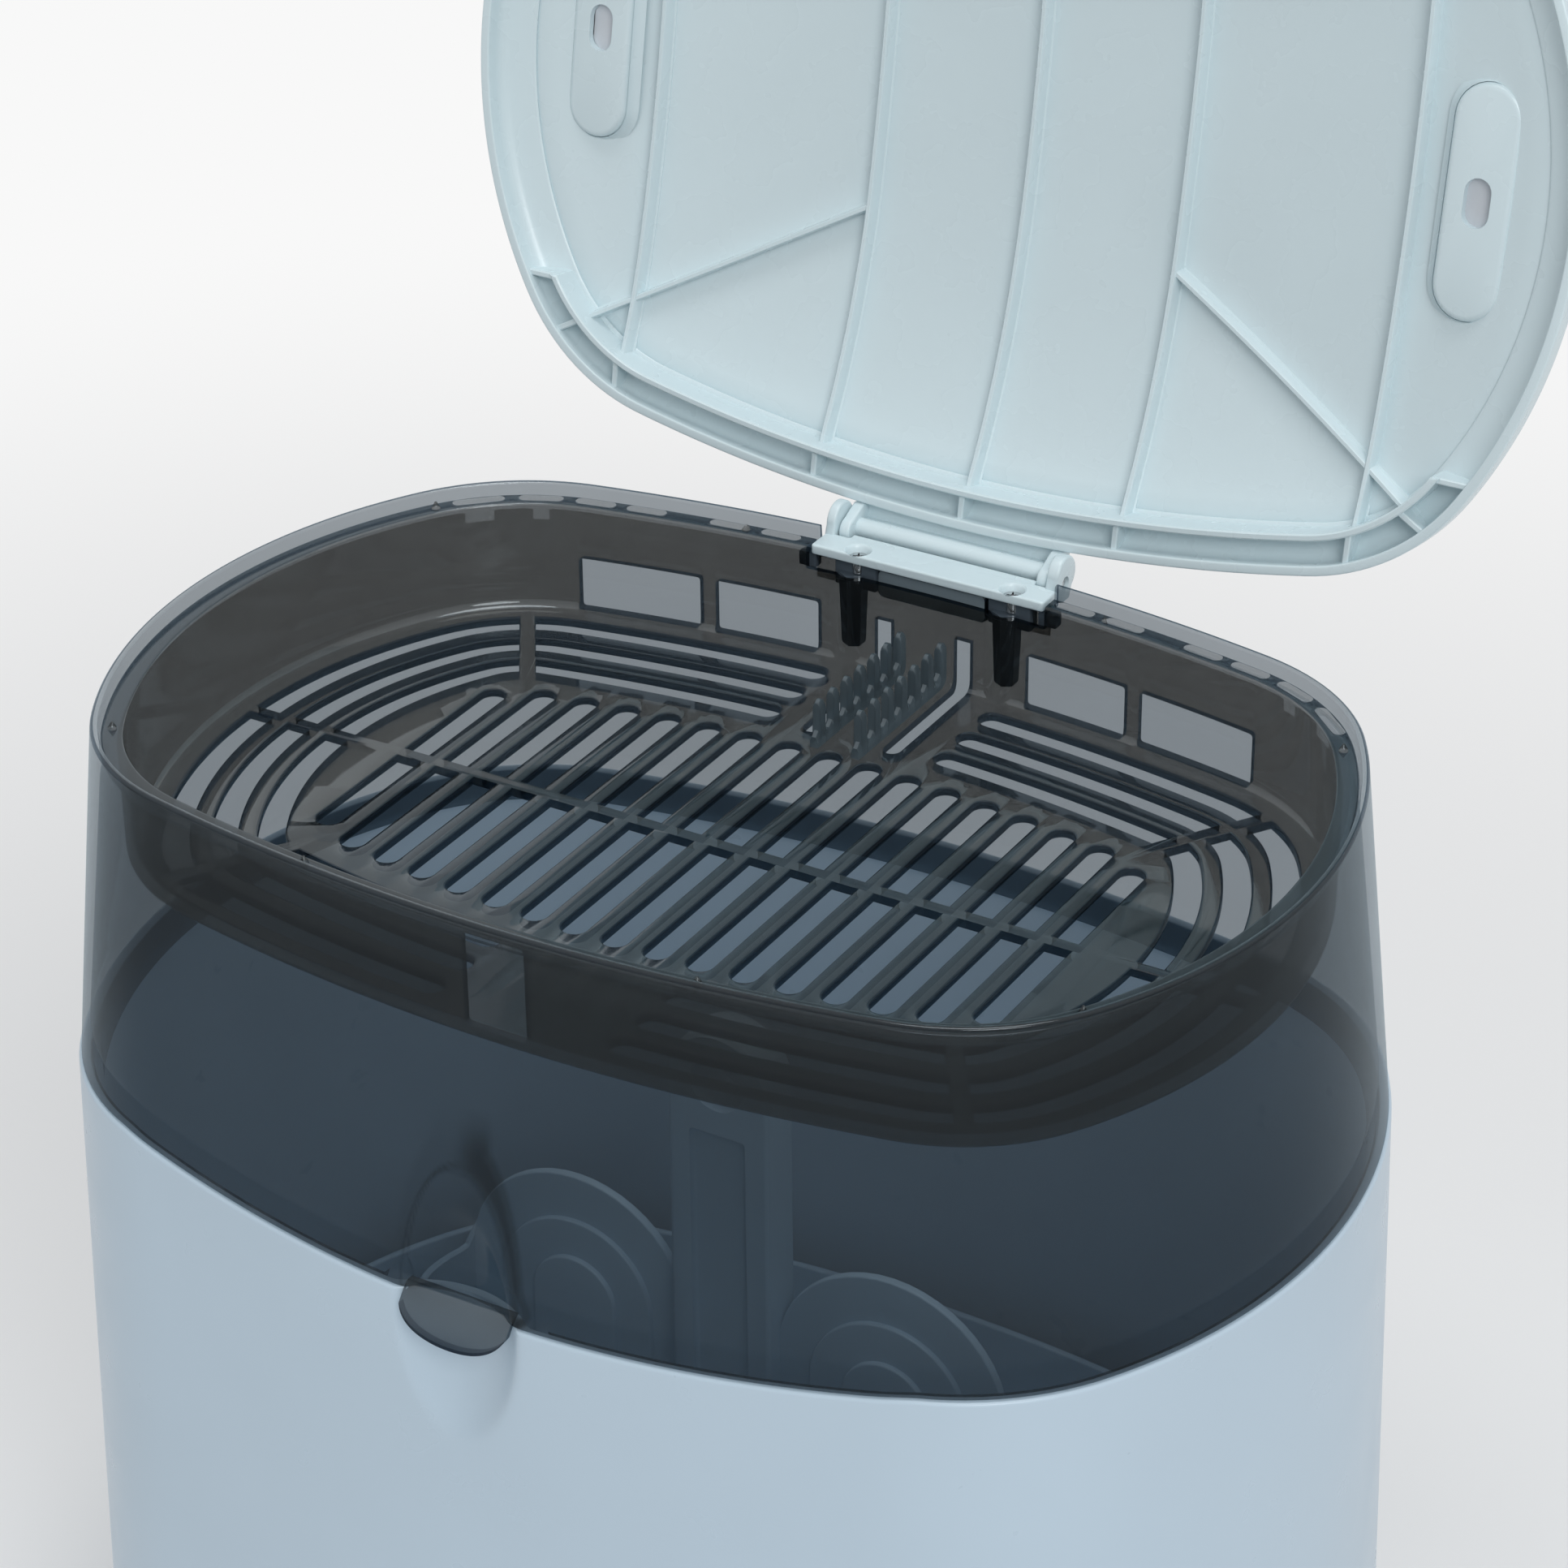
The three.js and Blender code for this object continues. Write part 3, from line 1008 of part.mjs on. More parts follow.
const innerProfile = [
  [-LID_INSET - LID_WALL, lidRim],
  [-LID_INSET - LID_WALL, lidRim + LID_SIDE_HEIGHT - LID_EDGE * 2],
  [-LID_INSET - LID_WALL - LID_EDGE * 2, lidRim + CHANNEL_DEPTH],
  ...domeRings(LID_INNER_EDGE, LID_INNER_TOP),
];
const lidOuter = loft(outerProfile);
const lidInner = loft(innerProfile);
const lidInnerCut = lidInner.add(loft([[-LID_INSET - LID_WALL, lidRim - OVERRUN], [-LID_INSET - LID_WALL, lidRim + FIT]]));

// A long rounded block, narrower at its top
function taperedSlot(halfLength, halfWidth, taper, low, high, y) {
  const straight = halfLength - halfWidth;
  const geometry = new THREE.ExtrudeGeometry(stadium([-straight, 0], [straight, 0], halfWidth * 2), {
    depth: high - low, bevelEnabled: false, curveSegments: 8,
  });
  const position = geometry.attributes.position;
  for (let place = 0; place < position.count; place += 1) {
    if (position.getZ(place) > (high - low) / 2) {
      position.setX(place, position.getX(place) * (1 - taper / halfLength));
      position.setY(place, position.getY(place) * (1 - taper / halfWidth));
    }
  }
  geometry.translate(0, y, low);
  return solid(geometry);
}
const handleOuter = taperedSlot(
  HANDLE_HALF_LENGTH, HANDLE_HALF_WIDTH, HANDLE_TAPER, lidRim + LID_INNER_EDGE, lidRim + HANDLE_TOP, HANDLE_Y,
);
const handleInner = taperedSlot(
  HANDLE_HALF_LENGTH - LID_SKIN, HANDLE_HALF_WIDTH - LID_SKIN, HANDLE_TAPER,
  lidRim + LID_INNER_EDGE, lidRim + HANDLE_TOP - LID_SKIN, HANDLE_Y,
);
const skirtEnd = edgeAt(0, -LID_BAND);
const blades = LID_RIBS.map((x) => box(
  [x - LID_RIB_THICK / 2, -edgeAt(Math.abs(x), -LID_BAND), lidRim], [x + LID_RIB_THICK / 2, skirtEnd, lidRim + HANDLE_TOP],
));
const strutSpan = [LID_STRUT_OUTER_X - LID_RIBS[3], LID_STRUT_OUTER_Y - LID_STRUT_INNER_Y];
const struts = [-1, 1].map((side) => turnedBox(
  [Math.hypot(...strutSpan), LID_RIB_THICK, HANDLE_TOP],
  [side * (LID_RIBS[3] + strutSpan[0] / 2), LID_STRUT_INNER_Y + strutSpan[1] / 2, lidRim + HANDLE_TOP / 2],
  side * Math.atan2(strutSpan[1], strutSpan[0]),
));
const ribBand = lidOuter.subtract(lidInner.translate([0, 0, -LID_RIB_HEIGHT]));
const ribs = union(blades, struts).intersect(ribBand);
const channelOuter = -LID_BAND + CHANNEL_WALL * 3;
const channelRing = loft([[channelOuter, lidRim], [channelOuter, lidRim + HANDLE_TOP]])
  .subtract(loft([[channelOuter - CHANNEL_WALL, lidRim - FIT], [channelOuter - CHANNEL_WALL, lidRim + HANDLE_TOP + FIT]]));
const channelKeep = box(
  [-RIM_HALF_WIDTH, CHANNEL_END_Y, lidRim], [RIM_HALF_WIDTH, RIM_HALF_DEPTH, lidRim + HANDLE_TOP],
);
const channelWall = channelRing.intersect(channelKeep).intersect(lidOuter);
const channelSpace = loft([[-LID_INSET - LID_WALL / 2, lidRim + WEB_INSET], [-LID_INSET - LID_WALL / 2, lidRim + HANDLE_TOP]])
  .subtract(loft([[channelOuter - CHANNEL_WALL / 2, lidRim], [channelOuter - CHANNEL_WALL / 2, lidRim + HANDLE_TOP + FIT]]));
const webs = union(
  LID_RIBS.map((x) => box([x - WEB_THICK / 2, 0, lidRim], [x + WEB_THICK / 2, RIM_HALF_DEPTH, lidRim + HANDLE_TOP])),
  [-1, 1].flatMap((side) => [
    turnedBox(
      [RIM_HALF_DEPTH, WEB_THICK, HANDLE_TOP * 2], [side * LID_STRUT_OUTER_X, LID_STRUT_OUTER_Y, lidRim],
      side * Math.atan2(strutSpan[1], strutSpan[0]),
    ),
    box(
      [side < 0 ? -RIM_HALF_WIDTH : LID_STRUT_OUTER_X, CHANNEL_END_Y, lidRim],
      [side < 0 ? -LID_STRUT_OUTER_X : RIM_HALF_WIDTH, CHANNEL_END_Y + WEB_THICK, lidRim + HANDLE_TOP],
    ),
  ]),
).intersect(channelSpace).intersect(channelKeep).intersect(lidOuter);
const ventBosses = [-1, 1].map((side) => raised(
  stadium(
    [side * VENT_X, VENT_Y - (VENT_BOSS_LENGTH - VENT_BOSS_WIDTH) / 2],
    [side * VENT_X, VENT_Y + (VENT_BOSS_LENGTH - VENT_BOSS_WIDTH) / 2], VENT_BOSS_WIDTH,
  ),
  lidRim + VENT_BOSS_LEVEL, lidRim + HANDLE_TOP,
).intersect(lidOuter));
const ventHoles = [-1, 1].map((side) => raised(
  stadium(
    [side * VENT_X, VENT_Y - (VENT_HOLE_LENGTH - VENT_HOLE_WIDTH) / 2],
    [side * VENT_X, VENT_Y + (VENT_HOLE_LENGTH - VENT_HOLE_WIDTH) / 2], VENT_HOLE_WIDTH,
  ),
  lidRim, lidRim + HANDLE_TOP + OVERRUN,
));
const wallBack = RIM_HALF_DEPTH - LID_INSET;
const barrelHalf = earInner - SLIDE_FIT;
const leaf = drawnX([
  [wallBack - LID_WALL / 2, lidRim + LID_EDGE], [axisY - BARREL_RADIUS * 0.7, axisZ],
  [axisY + BARREL_RADIUS * 0.9, axisZ], [axisY, lidRim + LID_SIDE_HEIGHT - LID_EDGE * 2],
  [wallBack - LID_WALL / 2, lidRim + LID_SIDE_HEIGHT - LID_EDGE],
], -barrelHalf, barrelHalf);
const lid = union(lidOuter.subtract(lidInnerCut), ribs, channelWall, webs, ventBosses, handleOuter.subtract(lidInner))
  .subtract(handleInner)
  .subtract(union(ventHoles))
  .add(union(leaf, rodX(BARREL_RADIUS, -barrelHalf, barrelHalf, axisY, axisZ, ROUND_STEPS)))
  .subtract(pinBores);
addPart("lid", lid.translate([0, -axisY, -axisZ]), COLOURS.blue, lidGroup);

export default object;
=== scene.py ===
"""Looks of the electric steam steriliser: light blue body, smoked clear hood and tray, open ribbed lid.

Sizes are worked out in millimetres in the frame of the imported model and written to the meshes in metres.
"""
import math

import bpy
import numpy as np
from bpy.props import FloatProperty, FloatVectorProperty, PointerProperty
from mathutils import Matrix


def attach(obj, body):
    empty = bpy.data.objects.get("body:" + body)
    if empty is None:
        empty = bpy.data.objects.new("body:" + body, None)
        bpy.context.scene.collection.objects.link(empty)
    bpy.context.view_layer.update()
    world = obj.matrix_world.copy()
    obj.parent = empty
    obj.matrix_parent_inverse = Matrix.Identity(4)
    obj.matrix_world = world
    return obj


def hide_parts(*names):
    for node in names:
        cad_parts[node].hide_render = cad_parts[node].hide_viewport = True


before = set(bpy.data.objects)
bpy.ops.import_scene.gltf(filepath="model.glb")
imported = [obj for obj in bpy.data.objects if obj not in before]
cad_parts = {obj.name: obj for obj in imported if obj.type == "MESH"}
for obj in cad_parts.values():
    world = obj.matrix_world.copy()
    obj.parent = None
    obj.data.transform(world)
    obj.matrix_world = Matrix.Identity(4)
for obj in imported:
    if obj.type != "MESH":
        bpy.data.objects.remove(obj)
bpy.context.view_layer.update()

bl_info = {
    "name": "Steam Steriliser",
    "version": (1, 0, 0),
    "blender": (4, 5, 0),
    "location": "3D View > Sidebar > Steriliser",
    "description": "Builds a six bottle steam steriliser with its tray, hood and open lid",
    "category": "Add Mesh",
}

METRES = 0.001
BOTTOM = -4.0
FLOOR_REACH = 4.0

# Heights and depths of the mouldings, as in the solids
SEAM_FLARE = 8.8
BASE_FLARE = 16.0
SEAM_DIP = 7.7
SEAM_DIP_HALF_WIDTH = 100.0
DECK = 58.0
DECK_THICK = 2.6
BODY_WALL = 2.8
PLATE_HOLE = 61.0
BUTTON_Z = 30.0
LENS_Z = 50.0
GLAND = (20.0, 24.0)
HOOD_WALL = 2.6
FIT = 0.3
SLIDE_FIT = 0.4
BODY_PROUD = 0.6
SKIRT_DEPTH = 8.0
SKIRT_WALL = 2.0
GRIP_X = -4.0
GRIP_HALF_WIDTH = 14.2
GRIP_HEIGHT = 34.0
GRIP_DEPTH = 4.6
GRIP_BROW = (16.4, 44.0, 1.7)
SCOOP_HEIGHT = 31.0
SCOOP_DEPTH = 7.0
TONGUE_DROP = 8.5
TONGUE_THICK = 1.6
TONGUE_REACH = 6.0
LIP_THICK = 1.7
LIP_HEIGHT = 3.0
LEDGE_WIDTH = 1.3
LEDGE_THICK = 2.0
TRAY_FLOOR_THICK = 2.2
TRAY_WALL = 1.6
WALL_INSET = 5.6
FLANGE_THICK = 2.0
SLOT_COUNT = 17
SLOT_PITCH = 10.55
SLOT_WIDTH = 6.2
SLOT_INSET = 49.0
MID_RIB_WIDTH = 3.2
ROW_PITCH = 10.8
ROW_INSET = 16.4
ROW_START = 21.0
CORNER_RIB = (91.3, 58.7)
CORNER_RIB_WIDTH = 4.0
CORNER_RIB_TURN = math.atan2(21.1, 13.8)
WINDOWS = ((28.0, 55.2), (59.2, 90.5))
COMB_X = 5.5
COMB_START = 51.3
COMB_PITCH = 6.37
COMB_PINS = 7
NUB_TURNS = (27, 62, 118, 152)
LID_INSET = 0.8
LID_SKIN = 2.4
LID_WALL = 2.4
LID_SIDE_HEIGHT = 6.6
LID_BAND = 14.0
LID_INNER_EDGE = 9.0
LID_INNER_TOP = 22.5
DOME_POWER = 2.5
LID_TURN = math.radians(100.5)
LID_RIBS = (-98.0, -40.5, 0.0, 40.5, 98.0)
STRUT_INNER_Y = 29.5
STRUT_OUTER = (112.0, 70.0)
CHANNEL_END_Y = 58.5
CHANNEL_WALL = 1.7
WEB_GROWTHS = (-9.6, -2.4)
VENT = (114.2, -2.0)
VENT_BOSS = (54.0, 16.4)
VENT_HOLE = (11.4, 6.4)
VENT_BOSS_LEVEL = 10.0
HANDLE_Y = -56.0
HANDLE_HALF = (56.0, 19.0)
HANDLE_TOP = 42.0
EAR_RADIUS = 5.6
EAR_THICK = 3.8
EAR_OUTER = 32.2
NOTCH_HALF_WIDTH = 31.7
BRACKET_DROP = 3.0
BRACKET_THICK = 2.5
BRACKET_FRONT = 8.6
SCREW_X = 20.7
SCREW_INSET = 3.8
SCREW_SHIFT = 1.3
HINGE_SHIFT = 0.8
PLATE_SHIFT = 0.3
FLANGE_HOLES = (39.5, 53.0, 74.5, 87.5, 100.5, 113.0)
PLATE_FRONT = 6.7
TROUGH_RADIUS = 5.1
PLATE_BACK = (99.0, 101.0)
LOBE = (103.2, 319.0, 4.7)
LOBE_OUTER = 31.2
CHEEK_RADIUS = 3.1
CHEEK_FOOT_Y = 98.2
ROLL_RADIUS = 2.4
ROLL_SHIFT = (-0.36, 2.48)
SCREW_SHANK = 1.4
PAD_THICK = 3.2
PAD_INSET = 5.0
POST_RADIUS = 3.6
POST_LENGTH = 19.0
MOUNT_FRONT = 93.5
MOUNT_HALF_WIDTH = 31.4
ARM_DROP = 7.2
TRAY_TRAVEL = 3.0
CUP_RADIUS = 34.0
CUP_WALL = 2.0
CUP_PITCH = (88.0, 92.0)
BASKET_FLOOR = 74.0
BASKET_TOP = 76.4


# Sizes and colours


class SteriliserSizes(bpy.types.PropertyGroup):
    """Sizes that shape the outline and the heights"""

    rim_half_width: FloatProperty(
        name="Rim half width", description="Half the width of the hood's rim", default=0.143, min=0.1,
        unit="LENGTH",
    )
    rim_half_depth: FloatProperty(
        name="Rim half depth", description="Half the depth of the hood's rim", default=0.0979, min=0.07,
        unit="LENGTH",
    )
    side_radius: FloatProperty(
        name="Side radius", description="Radius of the long sides in plan", default=0.441, unit="LENGTH",
    )
    end_radius: FloatProperty(
        name="End radius", description="Radius of the short ends in plan", default=0.1226, unit="LENGTH",
    )
    corner_radius: FloatProperty(
        name="Corner radius", description="Radius of the corners in plan", default=0.0538, unit="LENGTH",
    )
    rim_height: FloatProperty(
        name="Rim height", description="Height of the hood's rim over the bottom cover", default=0.32,
        unit="LENGTH",
    )
    seam_drop: FloatProperty(
        name="Seam drop", description="How far the seam lies under the rim", default=0.0845, unit="LENGTH",
    )
    tray_depth: FloatProperty(
        name="Tray depth", description="How far the tray's floor lies under the rim", default=0.0309,
        unit="LENGTH",
    )


class SteriliserColours(bpy.types.PropertyGroup):
    """Colours of the mouldings and the metal"""

    shell: FloatVectorProperty(
        name="Shell", description="Light blue of the body and the lid", subtype="COLOR", size=3,
        min=0, max=1, default=(0.500, 0.617, 0.716),
    )
    inside: FloatVectorProperty(
        name="Inside", description="Blue of the basket and the cover", subtype="COLOR", size=3,
        min=0, max=1, default=(0.50, 0.64, 0.75),
    )
    smoke: FloatVectorProperty(
        name="Smoke", description="What one face of the smoked plastic lets through", subtype="COLOR", size=3,
        min=0, max=1, default=(0.535, 0.565, 0.588),
    )
    tray: FloatVectorProperty(
        name="Tray", description="What one face of the tray's smoked plastic lets through", subtype="COLOR",
        size=3, min=0, max=1, default=(0.505, 0.49, 0.472),
    )
    steel: FloatVectorProperty(
        name="Steel", description="Brushed steel of the plate and the pins", subtype="COLOR", size=3,
        min=0, max=1, default=(0.56, 0.57, 0.58),
    )
    floor: FloatVectorProperty(
        name="Floor", description="Pale floor and backdrop", subtype="COLOR", size=3,
        min=0, max=1, default=(0.939, 0.939, 0.939),
    )


def sizes():
    """The scene's sizes."""
    return bpy.context.scene.steriliser_sizes


def colours():
    """The scene's colours."""
    return bpy.context.scene.steriliser_colours


def mm(name):
    """A named size in millimetres."""
    return getattr(sizes(), name) / METRES


# Plan outline


class Plan:
    """The rim's outline in plan: end arcs, corner arcs and long side arcs that meet smoothly.

    A place round it is the arc length from the middle of the right end, anticlockwise. A point is the place's
    point on the arc plus the growth times the arc's outward normal, so grown outlines keep the arcs' centres.
    """

    def __init__(self):
        width, depth = mm("rim_half_width"), mm("rim_half_depth")
        side_radius, end_radius, corner_radius = mm("side_radius"), mm("end_radius"), mm("corner_radius")
        side = np.array([0.0, depth - side_radius])
        end = np.array([width - end_radius, 0.0])
        from_side, from_end = side_radius - corner_radius, end_radius - corner_radius
        gap = end - side
        span = np.hypot(*gap)
        along = (from_side**2 - from_end**2 + span**2) / (2 * span)
        across = math.sqrt(from_side**2 - along**2)
        unit = gap / span
        corner = side + unit * along + np.array([unit[1], -unit[0]]) * across
        end_turn = math.atan2(*(corner - end)[::-1])
        side_turn = math.atan2(*(corner - side)[::-1])
        self.centres = np.array([end, corner, side])
        self.radii = np.array([end_radius, corner_radius, side_radius])
        self.turns = np.array([0.0, end_turn, side_turn, math.pi / 2])
        self.lengths = np.concatenate([[0.0], np.cumsum(self.radii * np.diff(self.turns))])
        self.quarter = self.lengths[-1]
        self.length = 4 * self.quarter

    def frame(self, place):
        """Base points and outward normals at an array of places."""
        place = np.mod(np.asarray(place, float), self.length)
        quadrant = np.floor(place / self.quarter).astype(int) % 4
        local = place - quadrant * self.quarter
        local = np.where(quadrant % 2 == 1, self.quarter - local, local)
        arc = np.clip(np.searchsorted(self.lengths, local, side="right") - 1, 0, 2)
        turn = self.turns[arc] + (local - self.lengths[arc]) / self.radii[arc]
        normal = np.stack([np.cos(turn), np.sin(turn)], -1)
        base = self.centres[arc] + self.radii[arc][..., None] * normal
        left, front = (quadrant == 1) | (quadrant == 2), quadrant >= 2
        flip = np.stack([np.where(left, -1, 1), np.where(front, -1, 1)], -1)
        return base * flip, normal * flip

    def at(self, place, grow):
        """Points of the outline grown by grow (a number or an array) at the places."""
        base, normal = self.frame(place)
        return base + np.asarray(grow, float)[..., None] * normal

    def edge_y(self, x, grow):
        """How far back the outline grown by grow lies at x."""
        place = np.linspace(0, self.quarter, 4000)
        points = self.at(place, np.full(place.shape, float(grow)))
        return float(np.interp(abs(x), points[::-1, 0], points[::-1, 1]))

    def place_at_x(self, x, grow):
        """Places in the back right quarter where the outline, grown by each of grow, has its turn of x."""
        place = np.linspace(0, self.quarter, 3000)
        base, normal = self.frame(place)
        rows = base[None, :, 0] + np.asarray(grow, float)[:, None] * normal[None, :, 0]
        return np.array([np.interp(want, row[::-1], place[::-1]) for want, row in zip(x, rows)])

    def place_on_line(self, point, across, grow):
        """Places in the back right quarter where the grown outline crosses the line through a point.

        across is square to the line. The place lies on a straight line between the two nearest samples.
        """
        place = np.linspace(0, self.quarter, 3000)
        base, normal = self.frame(place)
        points = base[None] + np.asarray(grow, float)[:, None, None] * normal[None]
        side = (points - np.asarray(point)) @ np.asarray(across)
        first = np.argmax(np.sign(side[:, 1:]) != np.sign(side[:, :-1]), axis=1)
        rows = np.arange(len(first))
        before, after = side[rows, first], side[rows, first + 1]
        return place[first] + (place[1] - place[0]) * before / (before - after)

    def columns(self, step=2.6, front=0.0, back=0.0):
        """Places round the outline, with a step of its own near the front's grip or the hinge where given."""
        place = [np.arange(0, self.length, step)]
        for fine, middle, reach in ((front, 3 * self.quarter, 22), (back, self.quarter, 36)):
            if fine:
                place = [p[np.abs(p - middle) > reach] for p in place]
                place.append(middle + np.arange(-reach, reach + fine / 2, fine))
        return np.unique(np.round(np.concatenate(place), 5))


def seam_share(points):
    """How much of the seam's dip a plan point takes: a parabola over the front, nothing at the back."""
    share = np.clip(1 - (points[..., 0] / SEAM_DIP_HALF_WIDTH) ** 2, 0, None)
    return np.where(points[..., 1] < 0, share, 0.0)


# Surfaces


def rounded(profile, radii, steps=4):
    """A closed profile with each corner turned into a quadratic curve.

    The curve starts and ends its radius away from the corner, or nearly half an edge where the edge is short.
    """
    profile = np.asarray(profile, float)
    radii = np.broadcast_to(np.asarray(radii, float), len(profile))
    before, after = np.roll(profile, 1, 0) - profile, np.roll(profile, -1, 0) - profile
    room = np.minimum(np.linalg.norm(before[:, :2], axis=1), np.linalg.norm(after[:, :2], axis=1)) * 0.48
    reach = np.minimum(radii, room)
    points = []
    for corner, back, ahead, cut_back in zip(profile, before, after, reach):
        if cut_back <= 1e-6:
            points.append(corner[None])
            continue
        start = corner + back * cut_back / np.linalg.norm(back[:2])
        end = corner + ahead * cut_back / np.linalg.norm(ahead[:2])
        t = np.linspace(0, 1, steps + 1)[:, None]
        points.append((1 - t) ** 2 * start + 2 * t * (1 - t) * corner + t**2 * end)
    return np.concatenate(points)


def grid_faces(rows, columns, wrap_rows=False, wrap_columns=True):
    """Four-sided faces of a grid of points numbered row by row."""
    last_row, last_column = (rows if wrap_rows else rows - 1), (columns if wrap_columns else columns - 1)
    row, column = np.meshgrid(np.arange(last_row), np.arange(last_column), indexing="ij")
    next_row, next_column = (row + 1) % rows, (column + 1) % columns
    corners = [row * columns + column, row * columns + next_column,
               next_row * columns + next_column, next_row * columns + column]
    return np.stack(corners, -1).reshape(-1, 4)


def loft(rings, wrap=False, poles=(None, None)):
    """A surface through rings of points, one after the other. A pole closes an end with a fan to a point."""
    rings = np.asarray(rings, float)
    count, around = rings.shape[:2]
    points, faces = [rings.reshape(-1, 3)], [grid_faces(count, around, wrap)]
    triangles, total = [], count * around
    ring = np.arange(around)
    for pole, first, turned in ((poles[0], 0, True), (poles[1], (count - 1) * around, False)):
        if pole is not None:
            points.append(np.asarray(pole, float)[None])
            fan = np.stack([first + ring, first + (ring + 1) % around, np.full(around, total)], -1)
            triangles.append(fan[:, ::-1] if turned else fan)
            total += 1
    return np.concatenate(points), faces + triangles


def outward(shape):
    """The same closed shape with its faces turned outwards, judged by the sign of its volume."""
    points, faces = shape
    volume = 0.0
    for block in faces:
        for k in range(1, block.shape[1] - 1):
            a, b, c = points[block[:, 0]], points[block[:, k]], points[block[:, k + 1]]
            volume += np.einsum("ij,ij->", a, np.cross(b, c))
    return shape if volume > 0 else (points, [block[:, ::-1] for block in faces])


def mirrored(shape, x=1, y=1):
    """The shape with an axis or two turned over, and its faces still outwards."""
    points, faces = shape
    over = points * np.array([x, y, 1], float)
    return (over, faces) if x * y > 0 else (over, [block[:, ::-1] for block in faces])


def moved(shape, offset):
    """The shape at another place."""
    return shape[0] + np.asarray(offset, float), shape[1]


def plan_shell(plan, profile, columns):
    """Rings of a moulding: profile points (growth, height, share of the dip) carried round the outline.

    A point's place is the outline's plus the growth times the normal there, and its height is lowered by the
    dip times the share.
    """
    profile = np.asarray(profile, float)
    base, normal = plan.frame(columns)
    flat = base[None] + profile[:, 0, None, None] * normal[None]
    height = profile[:, 1, None] - SEAM_DIP * profile[:, 2, None] * seam_share(flat)
    return np.concatenate([flat, height[..., None]], -1)


def stadium_ring(start, finish, half, steps=10):
    """Points and outward normals of two half circles joined by straight sides."""
    start, finish = np.asarray(start, float), np.asarray(finish, float)
    along = finish - start
    turn = math.atan2(along[1], along[0])
    half_turn = np.linspace(-math.pi / 2, math.pi / 2, steps + 1)
    angles = np.concatenate([turn + half_turn, turn + math.pi + half_turn])
    centres = np.repeat([finish, start], steps + 1, axis=0)
    normals = np.stack([np.cos(angles), np.sin(angles)], -1)
    return centres + half * normals, normals


def block_ring(low, high, radius, steps=4):
    """Points and outward normals of a rectangle with round corners."""
    low, high = np.asarray(low, float), np.asarray(high, float)
    quarter = np.linspace(0, math.pi / 2, steps + 1)
    angles = np.concatenate([quarter + k * math.pi / 2 for k in range(4)])
    corners = np.array([[high[0], high[1]], [low[0], high[1]], [low[0], low[1]], [high[0], low[1]]])
    inner = corners - np.sign(corners - (low + high) / 2) * radius
    normals = np.stack([np.cos(angles), np.sin(angles)], -1)
    return np.repeat(inner, steps + 1, axis=0) + radius * normals, normals


def prism(ring, levels):
    """A closed prism: the ring's points at each level's height, moved out along their normals by its growth.

    The ends are fans to the middle of the points.
    """
    points, normals = ring
    rings = [np.column_stack([points + grow * normals, np.full(len(points), height)])
             for grow, height in levels]
    middle = points.mean(0)
    poles = (np.append(middle, levels[0][1]), np.append(middle, levels[-1][1]))
    return outward(loft(rings, poles=poles))


def soft_levels(low, high, edge, steps=3):
    """Levels for a prism whose two rims are rounded inwards by edge, as quarter circles."""
    turn = np.linspace(0, math.pi / 2, steps + 1)
    rise, inset = edge * (1 - np.cos(turn)), edge * (1 - np.sin(turn))
    return [(-i, low + r) for i, r in zip(inset, rise)] + [
        (-i, high - r) for i, r in zip(inset[::-1], rise[::-1])]


def cut_levels(low, high, edge):
    """Levels for a cutter that leaves a small round on both faces of a plate from low to high."""
    return [
        (edge, low - 3), (edge, low), (edge * 0.3, low + edge * 0.3), (0, low + edge), (0, high - edge),
        (edge * 0.3, high - edge * 0.3), (edge, high), (edge, high + 3)]


def turned(profile, steps=48, centre=(0, 0, 0)):
    """A revolve: each profile point (radius, height) is carried round Z. Points on the axis close it."""
    profile = np.asarray(profile, float)
    angle = np.linspace(0, 2 * math.pi, steps, endpoint=False)
    poles = [None, None]
    rings = profile
    if profile[0, 0] < 1e-9:
        poles[0], rings = (0, 0, profile[0, 1]), rings[1:]
    if profile[-1, 0] < 1e-9:
        poles[1], rings = (0, 0, profile[-1, 1]), rings[:-1]
    wrap = poles[0] is None and poles[1] is None
    flat = rings[:, 0, None, None] * np.stack([np.cos(angle), np.sin(angle)], -1)[None]
    points = np.concatenate([flat, np.broadcast_to(rings[:, 1, None, None], flat.shape[:2] + (1,))], -1)
    return moved(outward(loft(points, wrap, poles)), centre)


def to_axis(shape, axis, centre=(0, 0, 0)):
    """A shape made along Z, laid along X or Y instead, with its middle moved to a centre."""
    points, faces = shape
    order = {"X": [2, 0, 1], "Y": [1, 2, 0]}[axis]
    return points[:, order] + np.asarray(centre, float), faces


def strip(plan, begin, end, offsets, levels, count=40):
    """A block that follows the outline from one end to the other.

    Across it go the offsets, which are growths of the outline. begin and end hold a place for each offset. A
    level's growth widens the block to both sides and at both ends.
    """
    t = np.linspace(0, 1, count)[:, None]
    middle = (offsets[0] + offsets[-1]) / 2
    way = np.sign(end - begin)
    rows = []
    for grow, height in levels:
        wide = middle + (offsets - middle) * (1 + 2 * grow / abs(offsets[-1] - offsets[0]))
        place = (begin - way * grow) + ((end + way * grow) - (begin - way * grow)) * t
        flat = plan.at(place, np.broadcast_to(wide, place.shape))
        ring = np.concatenate([flat[:, 0], flat[-1, 1:], flat[-2::-1, -1], flat[0, -2:0:-1]])
        rows.append(np.column_stack([ring, np.full(len(ring), height)]))
    return outward(strip_loft(rows, count, len(offsets)))


